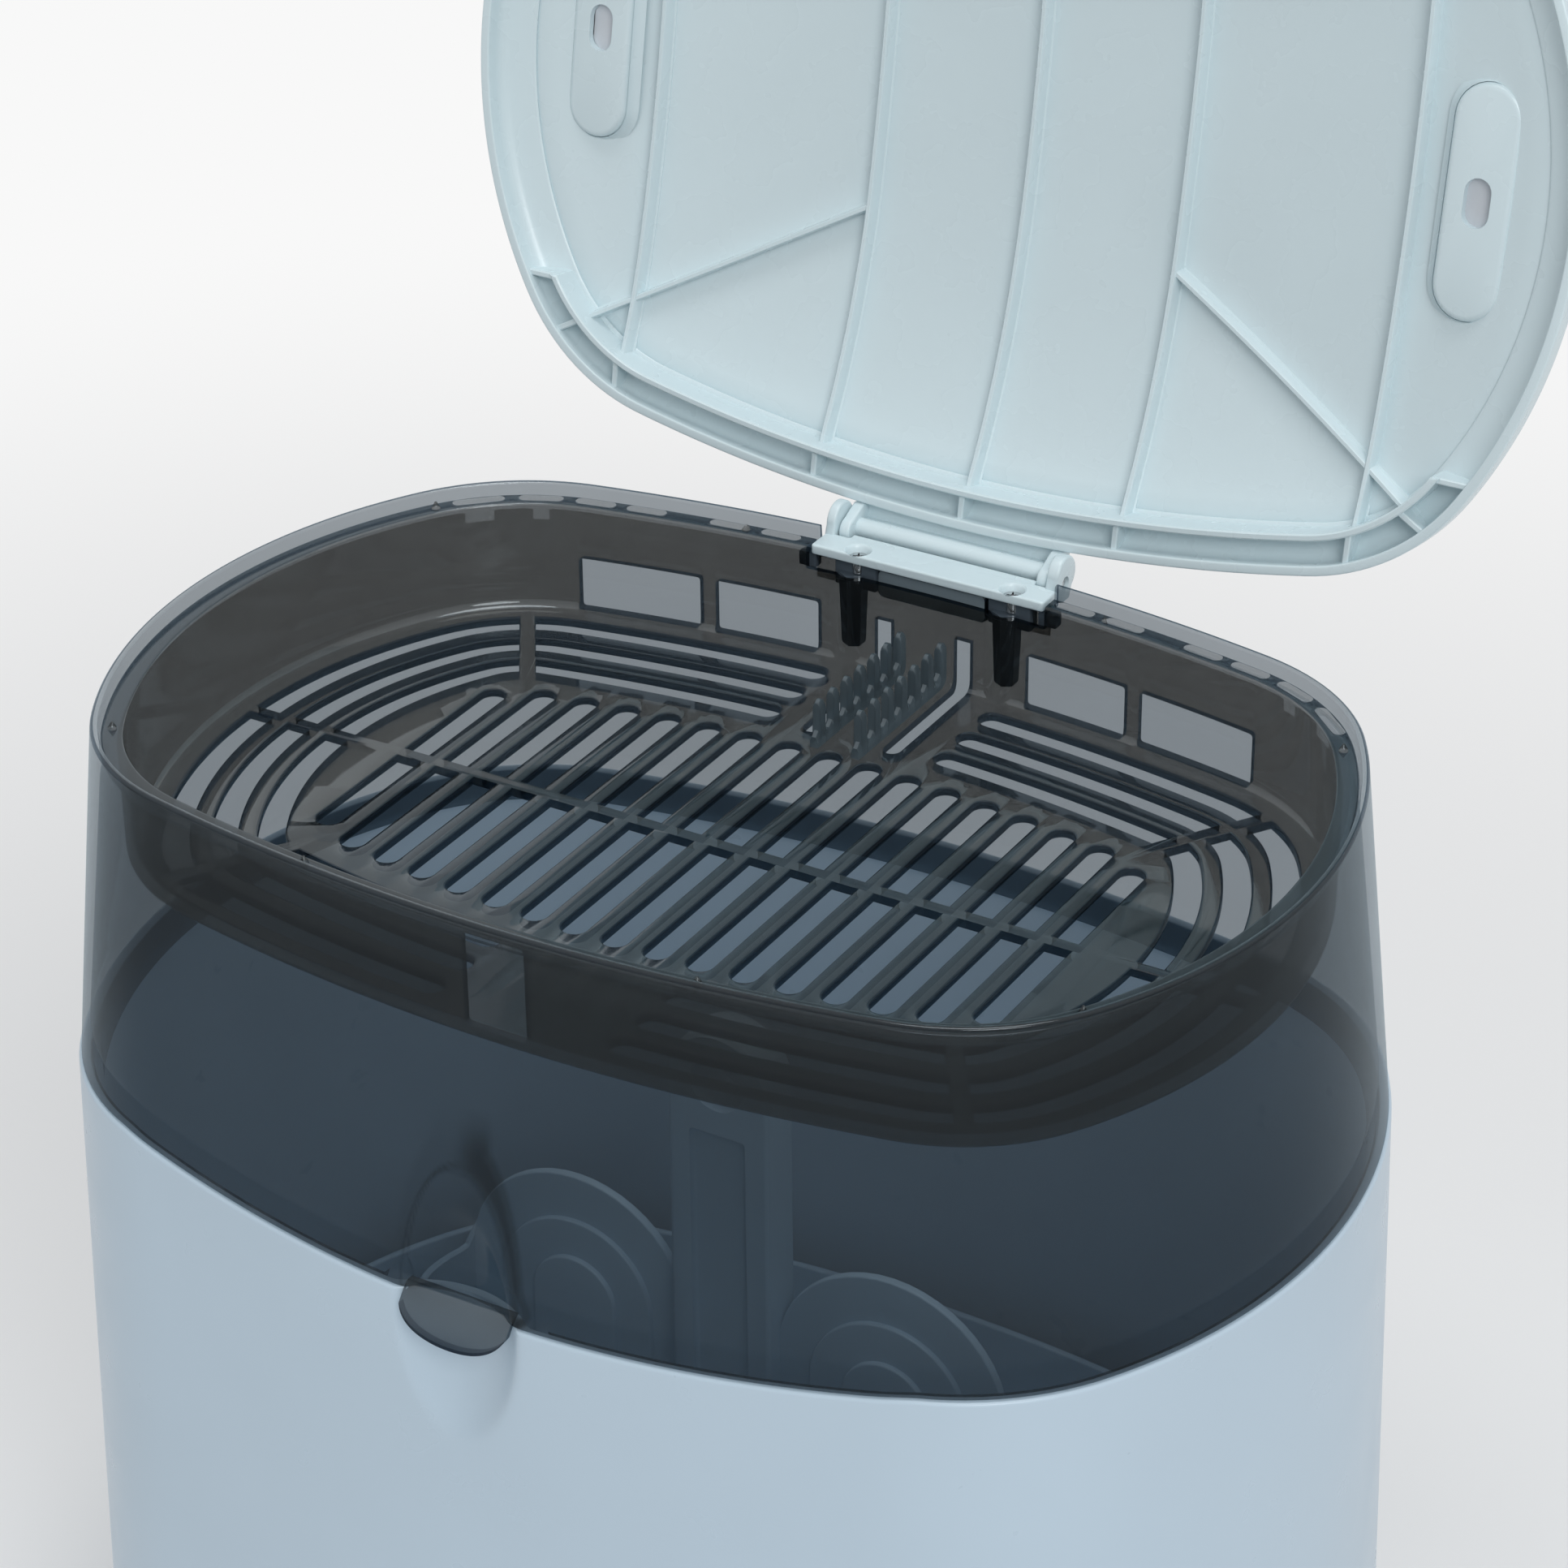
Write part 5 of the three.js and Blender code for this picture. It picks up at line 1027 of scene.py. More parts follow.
def build_hood_shell():
    """The hood's wall: one closed profile round the outline, changed in three places.

    Over the grip its foot keeps to the seam. The grip's brow and bowl are pressed into the front with an egg
    each. At the hinge the rim is lowered to the pad, and under the ears by a circle about the hinge's axis.
    """
    plan = Plan()
    rim, seam = mm("rim_height"), seam_height()
    flange_top = rim - LIP_HEIGHT
    ledge_top = flange_top - FLANGE_THICK - FIT
    ledge_grow = -LIP_THICK - LEDGE_WIDTH
    foot = LIP_HEIGHT + FLANGE_THICK + LEDGE_THICK + 5
    spigot = SEAM_FLARE + BODY_PROUD - BODY_WALL - SLIDE_FIT
    profile = [
        (0, rim, 0), (SEAM_FLARE, seam + FIT, 1), (spigot, seam + FIT, 1),
        (spigot, seam + FIT - SKIRT_DEPTH, 1), (spigot - SKIRT_WALL, seam + FIT - SKIRT_DEPTH, 1),
        (spigot - SKIRT_WALL, seam + SKIRT_WALL, 1), (SEAM_FLARE - HOOD_WALL, seam + SKIRT_DEPTH, 1),
        (SEAM_FLARE * foot / mm("seam_drop") - HOOD_WALL, rim - foot, 0),
        (ledge_grow, ledge_top - LEDGE_THICK, 0), (ledge_grow, ledge_top, 0),
        (-LIP_THICK, ledge_top, 0), (-LIP_THICK, rim, 0),
    ]
    radii = [0.7, 0.7, 0.3, 0.5, 0.5, 0.6, 2, 3, 0.5, 0.3, 0.3, 0.7]
    rows = fine_rows(rounded(profile, radii, 4), 9, (seam - 1, seam + GRIP_HEIGHT + 2), 1.0)
    notch = [2 * plan.quarter - plan.place_at_x([NOTCH_HALF_WIDTH - HINGE_SHIFT], [-2.0])[0],
             plan.place_at_x([NOTCH_HALF_WIDTH + HINGE_SHIFT], [-2.0])[0]]
    columns = plan.columns(3.0, front=0.6, back=1.5)
    columns = np.unique(np.concatenate([columns, [end + o for end in notch for o in (-0.02, 0.02)]]))
    rings = plan_shell(plan, rows, columns)

    outer = np.interp(rows[:, 1], [seam, rim], [SEAM_FLARE, 0])
    extra = np.clip(outer - rows[:, 0], 0, HOOD_WALL)
    front_seam = seam - SEAM_DIP
    near = (np.abs(rings[..., 0] - GRIP_X) < GRIP_BROW[0] + 5.6) & (rings[..., 1] < 0)
    foot_of = seam + FIT - SEAM_DIP * seam_share(rings[..., :2])
    rings[..., 2] = np.where(near, np.maximum(rings[..., 2], foot_of), rings[..., 2])
    rings = press_hollow(rings, extra, *GRIP_BROW, front_y(SEAM_FLARE), front_seam, 0.25, 1.5)
    rings = press_hollow(
        rings, extra, GRIP_HALF_WIDTH, GRIP_HEIGHT, GRIP_DEPTH, front_y(SEAM_FLARE), front_seam, 0.25, 1.0)

    in_notch = (columns > min(notch)) & (columns < max(notch))
    axis_y, axis_z = hinge_axis()
    reach = EAR_RADIUS + SLIDE_FIT
    under_ear = axis_z - np.sqrt(np.clip(reach**2 - (rings[..., 1] - axis_y) ** 2, 0, None))
    near_ear = np.abs(rings[..., 1] - axis_y) < reach
    level = np.where(near_ear, np.minimum(pad_top(), under_ear), pad_top())
    rings[..., 2] = np.where(in_notch[None], np.minimum(rings[..., 2], level), rings[..., 2])
    piece = add_piece("hood_shell", [outward(loft(rings, wrap=True))], finish("smoked hood"), 40)
    # painted shade along the grip's creases, kept as a point attribute that the hood's finish reads
    painted_crease_shade = piece.data.attributes.new("painted_crease_shade", "FLOAT", "POINT")
    painted_crease_shade.data.foreach_set("value", crease_shade_share(rings.reshape(-1, 3), front_seam))
    grow, middle_z = row_middles(rows)
    edge_rows(piece, finish("smoked lip"), middle_z > flange_top, len(columns))
    # painted shade: a dark line along the rim's rounded top edge
    edge_rows(piece, finish("smoked edge"), (middle_z > rim - 0.7) & (grow > -0.85), len(columns))
    finish_piece(piece, "hood", "smoked_clear", "hood")


def crease_shade_share(points, front_seam):
    """Painted shade for the grip's creases at points: how dark they are, the greater of a band and a line.

    Bowl and brow are ellipses about the middle of the grip's foot. The band of painted shade lies between them
    and fades to the left, so the right side of the recess is darker. The line of painted shade follows the
    bowl's edge.
    """
    across, up = points[:, 0] - GRIP_X, np.clip(points[:, 2] - front_seam, 0, None)
    brow = np.hypot(across / GRIP_BROW[0], up / GRIP_BROW[1])
    bowl = np.hypot(across / GRIP_HALF_WIDTH, up / GRIP_HEIGHT)
    band = np.clip((bowl - 0.97) / 0.05, 0, 1) * np.clip((1.02 - brow) / 0.06, 0, 1)
    band = band * np.clip(across / 6 + 0.3, 0.1, 1)
    line = 0.8 * np.clip(1 - np.abs(bowl - 1) / 0.035, 0, 1)
    return np.maximum(band, line) * (points[:, 1] < front_y(0) + 3)


def build_tongue():
    """The tongue: a lens under the grip, as a sheet on a grid of places across it and down it.

    Its foot curves with an ellipse. It leans out by its reach times a power of the sine of the way down.
    """
    front_seam = seam_height() - SEAM_DIP
    root = front_seam + 1.6
    top_y = front_y(SEAM_FLARE) + GRIP_DEPTH * 0.55
    across = np.sin(np.linspace(-math.pi / 2, math.pi / 2, 49)) * (GRIP_HALF_WIDTH - 0.5)
    drop = TONGUE_DROP * np.sqrt(np.clip(1 - (across / GRIP_HALF_WIDTH) ** 2, 0, None))
    z = root - (drop[None] + 1.6) * np.linspace(0, 1, 13)[:, None]
    low = np.clip((root - z) / (TONGUE_DROP + 1.6), 0, 1)
    lean = TONGUE_REACH * np.sin(low * math.pi / 2) ** 0.8
    x = np.broadcast_to(across + GRIP_X, z.shape)
    front = np.stack([x, top_y - lean, z], -1)
    back = np.stack([x, top_y - lean + TONGUE_THICK, z], -1)
    tongue = outward(closed_sheet(np.concatenate([front, back[::-1]])))
    # the tongue's finish is darkened as painted shade
    piece = add_piece("grip_tongue", [tongue], finish("smoked tongue"), 40)
    # painted shade: a dark line along the tongue's lower edge
    edge_faces(piece, finish("smoked edge"), lambda p: (p[:, 2] - front_seam) < -TONGUE_DROP * 0.93 * np.sqrt(
        np.clip(1 - ((p[:, 0] - GRIP_X) / GRIP_HALF_WIDTH) ** 2, 0, None)))
    finish_piece(piece, "hood", "smoked_clear")


def build_hinge_mount():
    """What the hood has under the bracket: six-sided tapered posts, a seat, a box, a web and two ends."""
    top = pad_top()
    angle = np.arange(6) * math.pi / 3 + math.pi / 6
    corners = np.stack([np.cos(angle), np.sin(angle)], -1)
    low, high = top - PAD_THICK - POST_LENGTH, top - PAD_THICK
    posts = []
    for side in (-1, 1):
        posts.append(moved(prism((corners * 0.0, corners), [
            (POST_RADIUS * 0.72, low), (POST_RADIUS * 0.8, low + 0.5), (POST_RADIUS, high)]),
            (side * SCREW_X, screw_y(), 0)))
        arms = block_ring((side * SCREW_X - 4.9, MOUNT_FRONT), (side * SCREW_X + 6.3, MOUNT_FRONT + 4.1), 0.5)
        posts.append(prism(arms, soft_levels(top - ARM_DROP, top - 0.2, 0.4)))
    finish_piece(add_piece("hinge_posts", posts, finish("smoked posts"), 25), "hood", "smoked_clear")

    wide, back = MOUNT_HALF_WIDTH, MOUNT_FRONT + 3.1
    seat = prism(block_ring((-wide, MOUNT_FRONT), (wide, back), 0.5), soft_levels(top - 1.1, top - 0.1, 0.3))
    finish_piece(add_piece("hinge_seat", [seat], finish("smoked posts"), 25), "hood", "smoked_clear")
    ring = block_ring((top - 8.8, -14.8), (top - 1.0, 14.8), 1.8)
    box = to_axis(prism(ring, soft_levels(94.6, 97.2, 1.0)), "Y")
    # painted shade on the box's sides, a dark outline round it; its front gets a plainer tint
    box = add_piece("hinge_box", [box], finish("smoked edge"), 25)
    edge_faces(box, finish("smoked box"), lambda p: p[:, 1] < 94.7)
    finish_piece(box, "hood", "smoked_clear")
    web = prism(block_ring((-wide, 95.0), (wide, 95.9), 0.2), soft_levels(top - 7.6, top - 0.6, 0.1))
    finish_piece(add_piece("hinge_web", [web], finish("smoked tray"), 25), "hood", "smoked_clear")
    levels = soft_levels(top - 4.6, top - 1.0, 0.3)
    ends = [prism(block_ring((x - 2.4, MOUNT_FRONT), (x + 2.4, back), 0.5), levels) for x in (-33.2, 31.4)]
    finish_piece(add_piece("hinge_ends", ends, finish("smoked posts"), 25), "hood", "smoked_clear")


def closed_sheet(rings):
    """A flat bag: a grid whose rows run down one face and up the other, closed along both of its sides."""
    rows, columns = rings.shape[:2]
    down = np.arange(rows // 2 - 1)
    edge = np.stack([down, down + 1, rows - 2 - down, rows - 1 - down], -1) * columns
    faces = [grid_faces(rows, columns, True, False), edge[:, ::-1], edge + columns - 1]
    return rings.reshape(-1, 3), faces


def comb_blade(x, end):
    """A comb: a low fin that stands up as a row of pins with round tops, and joins the wall at its end.

    The top follows the highest of the fin's saddle and, near each pin's middle, a half circle on the pin.
    """
    half, fin, tall, start = 1.35, 2.6, 11.6, COMB_START
    floor = mm("rim_height") - mm("tray_depth")
    middles = start + COMB_PITCH * np.arange(COMB_PINS)
    swing = np.sin(np.linspace(-math.pi / 2, math.pi / 2, 9))
    across = np.concatenate([[-half - 0.002], half * swing, [half + 0.002]])
    saddle = np.linspace(half + 0.3, COMB_PITCH - half - 0.3, 7)
    y = np.unique(np.concatenate([
        [start - 2.6, end], (middles[:, None] + across[None]).reshape(-1),
        (middles[:, None] + saddle).reshape(-1)]))
    y = y[(y >= start - 2.6) & (y <= end)]
    near = np.abs(y[:, None] - middles[None]).min(1)
    low = fin + 1.4 * (1 - np.clip((near - half) / (COMB_PITCH / 2 - half), 0, 1)) ** 2
    top = np.where(near <= half, tall - half + np.sqrt(np.clip(half**2 - near**2, 0, None)), low)
    top = np.where(y > middles[-1], np.maximum(top, tall - 0.4 - 0.2 * (y - middles[-1])), top)
    under = np.full(len(y), floor - 1.0)
    shoulder = floor + np.maximum(top - 1.0, fin * 0.6)
    section = (
        (-1.1, under), (1.1, under), (1.0, shoulder), (0.5, floor + top), (-0.5, floor + top),
        (-1.0, shoulder))
    rings = np.stack([np.column_stack([np.full(len(y), x + a), y, z]) for a, z in section], 1)
    return outward(loft(rings, poles=[rings[0].mean(0), rings[-1].mean(0)]))


def slot_ring(x, near, far, half, steps=10):
    """Points and normals of a slot that is square at its near end and round at its far end, along Y."""
    turn = np.linspace(0, math.pi, steps + 1)
    round_end = np.stack([np.cos(turn), np.sin(turn)], -1)
    points = np.concatenate([[[x + half, near]], [[x, far]] + half * round_end, [[x - half, near]]])
    normals = np.concatenate([[[1, 0]], round_end, [[-1, 0]]])
    return points, normals


def tray_cutters(plan, under, top):
    """Slots across the floor, rows of curved slots round it, windows and grooves in the wall."""
    levels = cut_levels(under, top, 0.45)
    shapes = []
    half = SLOT_WIDTH / 2
    for x in (np.arange(SLOT_COUNT) - (SLOT_COUNT - 1) / 2) * SLOT_PITCH:
        far = plan.edge_y(x, -SLOT_INSET) - half
        slot = prism(slot_ring(x, MID_RIB_WIDTH / 2, far, half), levels)
        shapes += [slot, mirrored(slot, y=-1)]
    rib = np.array([math.cos(CORNER_RIB_TURN), math.sin(CORNER_RIB_TURN)])
    across = np.array([-rib[1], rib[0]])
    swing = np.sin(np.linspace(-math.pi / 2, math.pi / 2, 11))
    for order in range(3):
        offsets = -(ROW_INSET + order * ROW_PITCH) + half * swing
        middle = plan.place_on_line((0, MID_RIB_WIDTH / 2), (0, 1), offsets)
        low, high = (
            plan.place_on_line(np.array(CORNER_RIB) + s * CORNER_RIB_WIDTH / 2 * across, across, offsets)
            for s in (-1, 1))
        rounded_end = plan.place_at_x(ROW_START + half - half * np.sqrt(1 - swing**2), offsets)
        for begin, end in ((middle, low), (high, rounded_end)):
            row = strip(plan, begin, end, offsets, levels, 22)
            shapes += [mirrored(row, x=a, y=b) for a in (-1, 1) for b in (-1, 1)]
    sill = top + 0.5
    for near, far in WINDOWS:
        ring = block_ring((sill, near), (sill + 13.4, far), 0.8, 4)
        window = to_axis(prism(ring, [(0, plan.edge_y(far, -WALL_INSET) - 5), (0, 104)]), "Y")
        shapes += [window, mirrored(window, x=-1)]
    ring = block_ring((top + 1.6, -7.7), (top + 24.2, 7.7), 1.0, 4)
    shapes.append(to_axis(prism(ring, [(0, -104), (0, -89.1)]), "Y"))
    for side in (-1, 1):
        groove = stadium_ring((side * 10.7, 57), (side * 10.7, 98), 2.2)
        shapes.append(prism(groove, [(0.3, under - 3), (0.3, under), (0, under + 0.3), (0, top + 12.9)]))
    return shapes


def tray_screw_flutes(plan, top):
    """Round columns in the tray's back wall that go round the hood's posts, kept inside the wall."""
    turn = np.linspace(0, 2 * math.pi, 40, endpoint=False)
    limit = plan.edge_y(SCREW_X, -WALL_INSET - TRAY_WALL / 2)
    shapes = []
    for side in (-1, 1):
        ring = np.array([side * SCREW_X, screw_y()]) + 5.6 * np.stack([np.cos(turn), np.sin(turn)], -1)
        ring[:, 1] = np.minimum(ring[:, 1], limit)
        shapes.append(prism((ring, ring * 0), [(0, top - 0.5), (0, pad_top() - TRAY_TRAVEL)]))
    return shapes


def tray_nubs(plan, flange_top):
    """Small cones on the tray's flange, each at the outline's point whose direction is closest to its own."""
    places = plan.columns(1.0)
    points = plan.at(places, np.full(places.shape, -LIP_THICK - SLIDE_FIT - 2.6))
    shapes = []
    for angle in NUB_TURNS:
        for sign in (-1, 1):
            away = np.abs(np.arctan2(points[:, 1] * sign, points[:, 0]) - math.radians(angle))
            x, y = points[np.argmin(away)]
            shapes.append(turned(
                [(0, -0.6), (1.2, -0.6), (1.05, 0.3), (0.25, 1.7), (0, 1.9)], 20, (x, y, flange_top)))
    return shapes


def hinge_block(near, far, low):
    """A block as wide as the hinge's notch in the tray, between two depths, from a level up past the rim."""
    notch = NOTCH_HALF_WIDTH + FIT
    ring = block_ring((HINGE_SHIFT - notch, near), (HINGE_SHIFT + notch, far), 0.5)
    return prism(ring, [(0, low), (0, mm("rim_height") + 3)])


def build_tray():
    """The accessory tray: a thin bowl from one profile carried round the outline, then cut and added to.

    It gets slots, rows of slots, windows and grooves, then flutes round the posts, nubs and combs, and last
    the notch for the hinge, the holes in the flange and the bores for the posts.
    """
    plan = Plan()
    rim = mm("rim_height")
    top = rim - mm("tray_depth")
    under = top - TRAY_FLOOR_THICK
    flange_top = rim - LIP_HEIGHT
    flange_under = flange_top - FLANGE_THICK
    wall = -WALL_INSET
    profile = [
        (-52, top, 0), (wall - TRAY_WALL, top, 0), (wall - TRAY_WALL, flange_top, 0),
        (-LIP_THICK - SLIDE_FIT, flange_top, 0), (-LIP_THICK - SLIDE_FIT, flange_under, 0),
        (wall, flange_under, 0), (wall, under, 0), (-52, under, 0),
    ]
    rows = rounded(profile, [0, 3.2, 0.9, 0.5, 0.4, 0.4, 3.4, 0], 5)
    columns = plan.columns(3.4)
    shell = outward(loft(plan_shell(plan, rows, columns), poles=((0, 0, top), (0, 0, under))))
    piece = add_piece("tray", [shell], finish("smoked tray"), 35)
    grow, middle_z = row_middles(rows)
    edge_rows(piece, finish("thin edge"), (grow > wall + 0.05) & (middle_z < flange_top), len(columns))
    # the flange's top face gets painted shade and a painted bluish sheen
    edge_rows(piece, finish("smoked flange"), middle_z > flange_top - 0.15, len(columns))
    # the cut faces of slots, windows and grooves get painted shade as dark outlines
    cut(piece, tray_cutters(plan, under, top), 35, material=finish("smoked edge"))
    cut(piece, tray_screw_flutes(plan, top) + tray_nubs(plan, flange_top), 35, joined=True)
    combs = [comb_blade(side * COMB_X, mm("rim_half_depth") + wall - 0.8) for side in (-1, 1)]
    cut(piece, combs, 35, joined=True, material=finish("smoked comb"))

    front = mm("rim_half_depth") - BRACKET_FRONT - FIT * 2
    # the notch's cut faces get painted shade as well
    cut(piece, [hinge_block(front, 103, pad_top() - TRAY_TRAVEL)], 35, material=finish("smoked edge"))
    holes = []
    for side in (-1, 1):
        for x in FLANGE_HOLES:
            ends = [(side * p, plan.edge_y(p, -4.0)) for p in (x - 3.6, x + 3.6)]
            holes.append(prism(stadium_ring(*ends, 1.3), cut_levels(flange_under, flange_top, 0.2)))
    cut(piece, holes, 35, material=finish("thin edge"))
    back = mm("rim_half_depth") - PAD_INSET - SLIDE_FIT
    cut(piece, [hinge_block(back, 104, pad_top() - ARM_DROP - TRAY_TRAVEL - FIT)], 35)
    bores = [turned([(0, under - 2), (4, under - 2), (4, rim), (0, rim)], 32, (side * SCREW_X, screw_y(), 0))
             for side in (-1, 1)]
    cut(piece, bores, 35)
    finish_piece(piece, "tray", "smoked_clear", "upper_tray")


# Lid


def opened():
    """The turn that stands the shut lid open about its hinge, as a matrix in metres."""
    y, z = hinge_axis()
    pivot = Matrix.Translation((0, y * METRES, z * METRES))
    return pivot @ Matrix.Rotation(-LID_TURN, 4, "X") @ pivot.inverted()


def dome_rows(edge, top, count=34):
    """Shares of the way out and heights of a dome, from its middle to the band.

    The height is the top less the rise times the share to the power of the dome.
    """
    share = (np.linspace(1, 0, count + 1)[:-1] ** 0.8)[::-1]
    return share, top - (top - edge) * share**DOME_POWER


def lid_rings(plan, columns):
    """Rings of the lid's skin, from the middle of its top, over its edge and back to the middle inside."""
    rim = mm("rim_height") + FIT
    out_share, out_height = dome_rows(LID_INNER_EDGE + LID_SKIN, LID_INNER_TOP + LID_SKIN)
    in_share, in_height = dome_rows(LID_INNER_EDGE, LID_INNER_TOP)
    edge = [(-LID_BAND + 5, LID_INNER_EDGE + LID_SKIN - 0.4, 1)]
    edge += [(g, h, 1) for g, h in outer_side()[:3][::-1]]
    edge += [(-LID_INSET, 0, 1), (-LID_INSET - LID_WALL, 0, 1)]
    edge += [(g, h, 1) for g, h in inner_side()[:3]] + [(-LID_BAND + 2, LID_INNER_EDGE - 0.6, 1)]
    edge = np.array(edge, float)
    radii = np.array([1, 3.0, 1.5, 1.5, 0.5, 0.5, 2.0, 2.5, 4.0, 1])
    smooth = rounded(edge, radii, 4)
    first = np.column_stack([np.full(len(out_share), -LID_BAND), out_height, out_share])
    last = np.column_stack([np.full(len(in_share), -LID_BAND), in_height, in_share])[::-1]
    rows = np.concatenate([first, fine_open(smooth, 3.0), last])
    base, normal = plan.frame(columns)
    flat = (base[None] + rows[:, 0, None, None] * normal[None]) * rows[:, 2, None, None]
    height = np.broadcast_to((rows[:, 1] + rim)[:, None, None], flat.shape[:2] + (1,))
    poles = ((0, 0, rim + LID_INNER_TOP + LID_SKIN), (0, 0, rim + LID_INNER_TOP))
    return np.concatenate([flat, height], -1), poles


def fine_open(profile, step):
    """An open profile with its long edges divided."""
    rows = [start + (end - start) * (np.arange(n) / n)[:, None]
            for start, end in zip(profile[:-1], profile[1:])
            for n in [max(1, math.ceil(np.linalg.norm((end - start)[:2]) / step))]]
    return np.concatenate(rows + [profile[-1:]])


def straight_path(start, end, count):
    """Points along a straight line in plan, and the direction to its left."""
    start, end = np.asarray(start, float), np.asarray(end, float)
    along = (end - start) / np.linalg.norm(end - start)
    return start + (end - start) * np.linspace(0, 1, count)[:, None], np.array([-along[1], along[0]])


def skin_rib(skin, start, end, half, height, flare, sink=1.2, count=60):
    """A rib under the lid's skin, carried along a straight line in plan.

    Its section is upright sides, a rounded tip and a foot that flares out to the skin.
    """
    path, side = straight_path(start, end, count)
    section = np.array([
        (-half - flare, -sink), (-half - flare, 0), (-half - flare * 0.4, 0.25 * flare), (-half - 0.1, flare),
        (-half, height - 0.35), (-half + 0.3, height), (half - 0.3, height), (half, height - 0.35),
        (half + 0.1, flare), (half + flare * 0.4, 0.25 * flare), (half + flare, 0), (half + flare, -sink),
    ])
    flat = path[:, None] + section[None, :, :1] * side
    z = skin.height(path)[:, None] - section[None, :, 1]
    rings = np.concatenate([flat, z[..., None]], -1)
    return outward(loft(rings, poles=(rings[0].mean(0), rings[-1].mean(0))))


def upright_web(skin, start, end, half, low, count=10):
    """A thin upright wall between two plan points, from a level up into the skin."""
    path, side = straight_path(start, end, count)
    top = skin.height(path) + 1.0
    rings = []
    for a, b in ((-half, 1), (-half, 0), (-half + 0.3, -1), (half - 0.3, -1), (half, 0), (half, 1)):
        z = top if b == 1 else np.full(count, low + (0.3 if b == 0 else 0))
        rings.append(np.column_stack([path + a * side, z]))
    rings = np.stack(rings, 1)
    return outward(loft(rings, poles=(rings[0].mean(0), rings[-1].mean(0))))


def lid_level():
    """Height of the shut lid's lower edge."""
    return mm("rim_height") + FIT


def finish_lid(piece, *nodes):
    """Stands a piece of the lid open with the rest of it, and puts it on the lid's body."""
    piece.data.transform(opened())
    finish_piece(piece, "lid", "light_blue", *nodes)


def vent_ring(side, size, more=0.0, steps=10):
    """A long round outline about a vent, with a length and width, made wider all round by more."""
    reach = (size[0] - size[1]) / 2
    x, y = side * VENT[0], VENT[1]
    return stadium_ring((x, y - reach), (x, y + reach), size[1] / 2 + more, steps)


def build_lid():
    """The lid: skin, ribs, water channel, vents, hollow handle and leaf, made shut and then stood open."""
    plan = Plan()
    rim = lid_level()
    skin = Skin(plan, LID_INNER_EDGE, LID_INNER_TOP, inner_side())
    holes = [prism(vent_ring(side, VENT_HOLE), [(0, rim + 2), (0, rim + 40)]) for side in (-1, 1)]
    straight = HANDLE_HALF[0] - HANDLE_HALF[1]
    handle = stadium_ring((-straight, HANDLE_Y), (straight, HANDLE_Y), HANDLE_HALF[1] - LID_SKIN / 2, 16)
    rings, poles = lid_rings(plan, plan.columns(2.8))
    piece = add_piece("lid_skin", [outward(loft(rings, poles=poles))], finish("lid blue"), 40)
    cut(piece, [prism(handle, [(0, rim + 5), (0, rim + 40)])] + holes, 40)
    finish_lid(piece, "lid")
    finish_lid(add_piece("lid_ribs", lid_rib_shapes(plan, skin), finish("lid blue"), 40))
    build_vents(skin, holes)
    build_handle(plan, skin)
    build_leaf()


def lid_rib_shapes(plan, skin):
    """Ribs and webs inside the lid: five long ribs, two struts and the water channel along the hinge.

    The struts and the channel's ends stop on growths of the outline, found where lines in plan cross it.
    """
    low = lid_level() + 1.2
    shapes = []
    for x in LID_RIBS:
        start, end = -plan.edge_y(x, -LID_BAND + 4), plan.edge_y(x, -LID_BAND + 4.6)
        shapes.append(skin_rib(skin, (x, start), (x, end), 0.7, 3.8, 0.7))
        far, near = (plan.edge_y(x, grow) for grow in WEB_GROWTHS)
        shapes.append(upright_web(skin, (x, far), (x, near), 0.75, low))
    for side in (-1, 1):
        inner = np.array([side * LID_RIBS[3], STRUT_INNER_Y])
        outer = np.array([side * STRUT_OUTER[0], STRUT_OUTER[1]])
        shapes.append(skin_rib(skin, inner, outer, 0.7, 3.4, 0.7))
        way = (outer - inner) / np.linalg.norm(outer - inner)
        across = np.array([-way[1] * side, way[0]])
        reach = [plan.at(plan.place_on_line(outer * (side, 1), across, [g]), [g])[0] * (side, 1)
                 for g in WEB_GROWTHS]
        shapes.append(upright_web(skin, *reach, 0.75, low))
    offsets = np.linspace(-8.9, -8.9 - CHANNEL_WALL, 3)
    begin = plan.place_on_line((0, CHANNEL_END_Y), (0, 1), offsets)
    rim = lid_level()
    levels = [(-0.35, rim), (0, rim + 0.35), (0, rim + LID_INNER_EDGE + 0.8)]
    shapes.append(strip(plan, begin, 2 * plan.quarter - begin, offsets, levels, 160))
    y = CHANNEL_END_Y + 0.7
    for side in (-1, 1):
        x = [plan.at(plan.place_on_line((0, y), (0, 1), [g]), [g])[0, 0] for g in WEB_GROWTHS]
        shapes.append(upright_web(skin, (side * x[0], y), (side * x[1], y), 0.75, low))
    return shapes


def build_vents(skin, holes):
    """The vents: long round bosses under the lid's skin, each with a hole and a soft flap in it."""
    level = lid_level() + VENT_BOSS_LEVEL
    bosses = []
    for side in (-1, 1):
        top = float(skin.height([[side * VENT[0], VENT[1]]])[0]) + 1.2
        bosses.append(prism(vent_ring(side, VENT_BOSS, steps=14), [
            (-1.6, level), (-0.9, level + 0.15), (-0.4, level + 0.5), (-0.1, level + 1.1), (0, level + 2.0),
            (0.1, top - 2.6), (0.5, top - 1.7), (1.2, top - 0.9), (2.2, top - 0.3)]))
    piece = add_piece("lid_vents", bosses, finish("lid blue"), 40)
    cut(piece, holes, 40)
    flaps = [prism(vent_ring(side, VENT_HOLE, 0.1), [(0, level + 2.2), (0, level + 3.4)]) for side in (-1, 1)]
    finish_lid(add_piece("vent_flaps", flaps, finish("vent flap"), 40))
    finish_lid(piece)


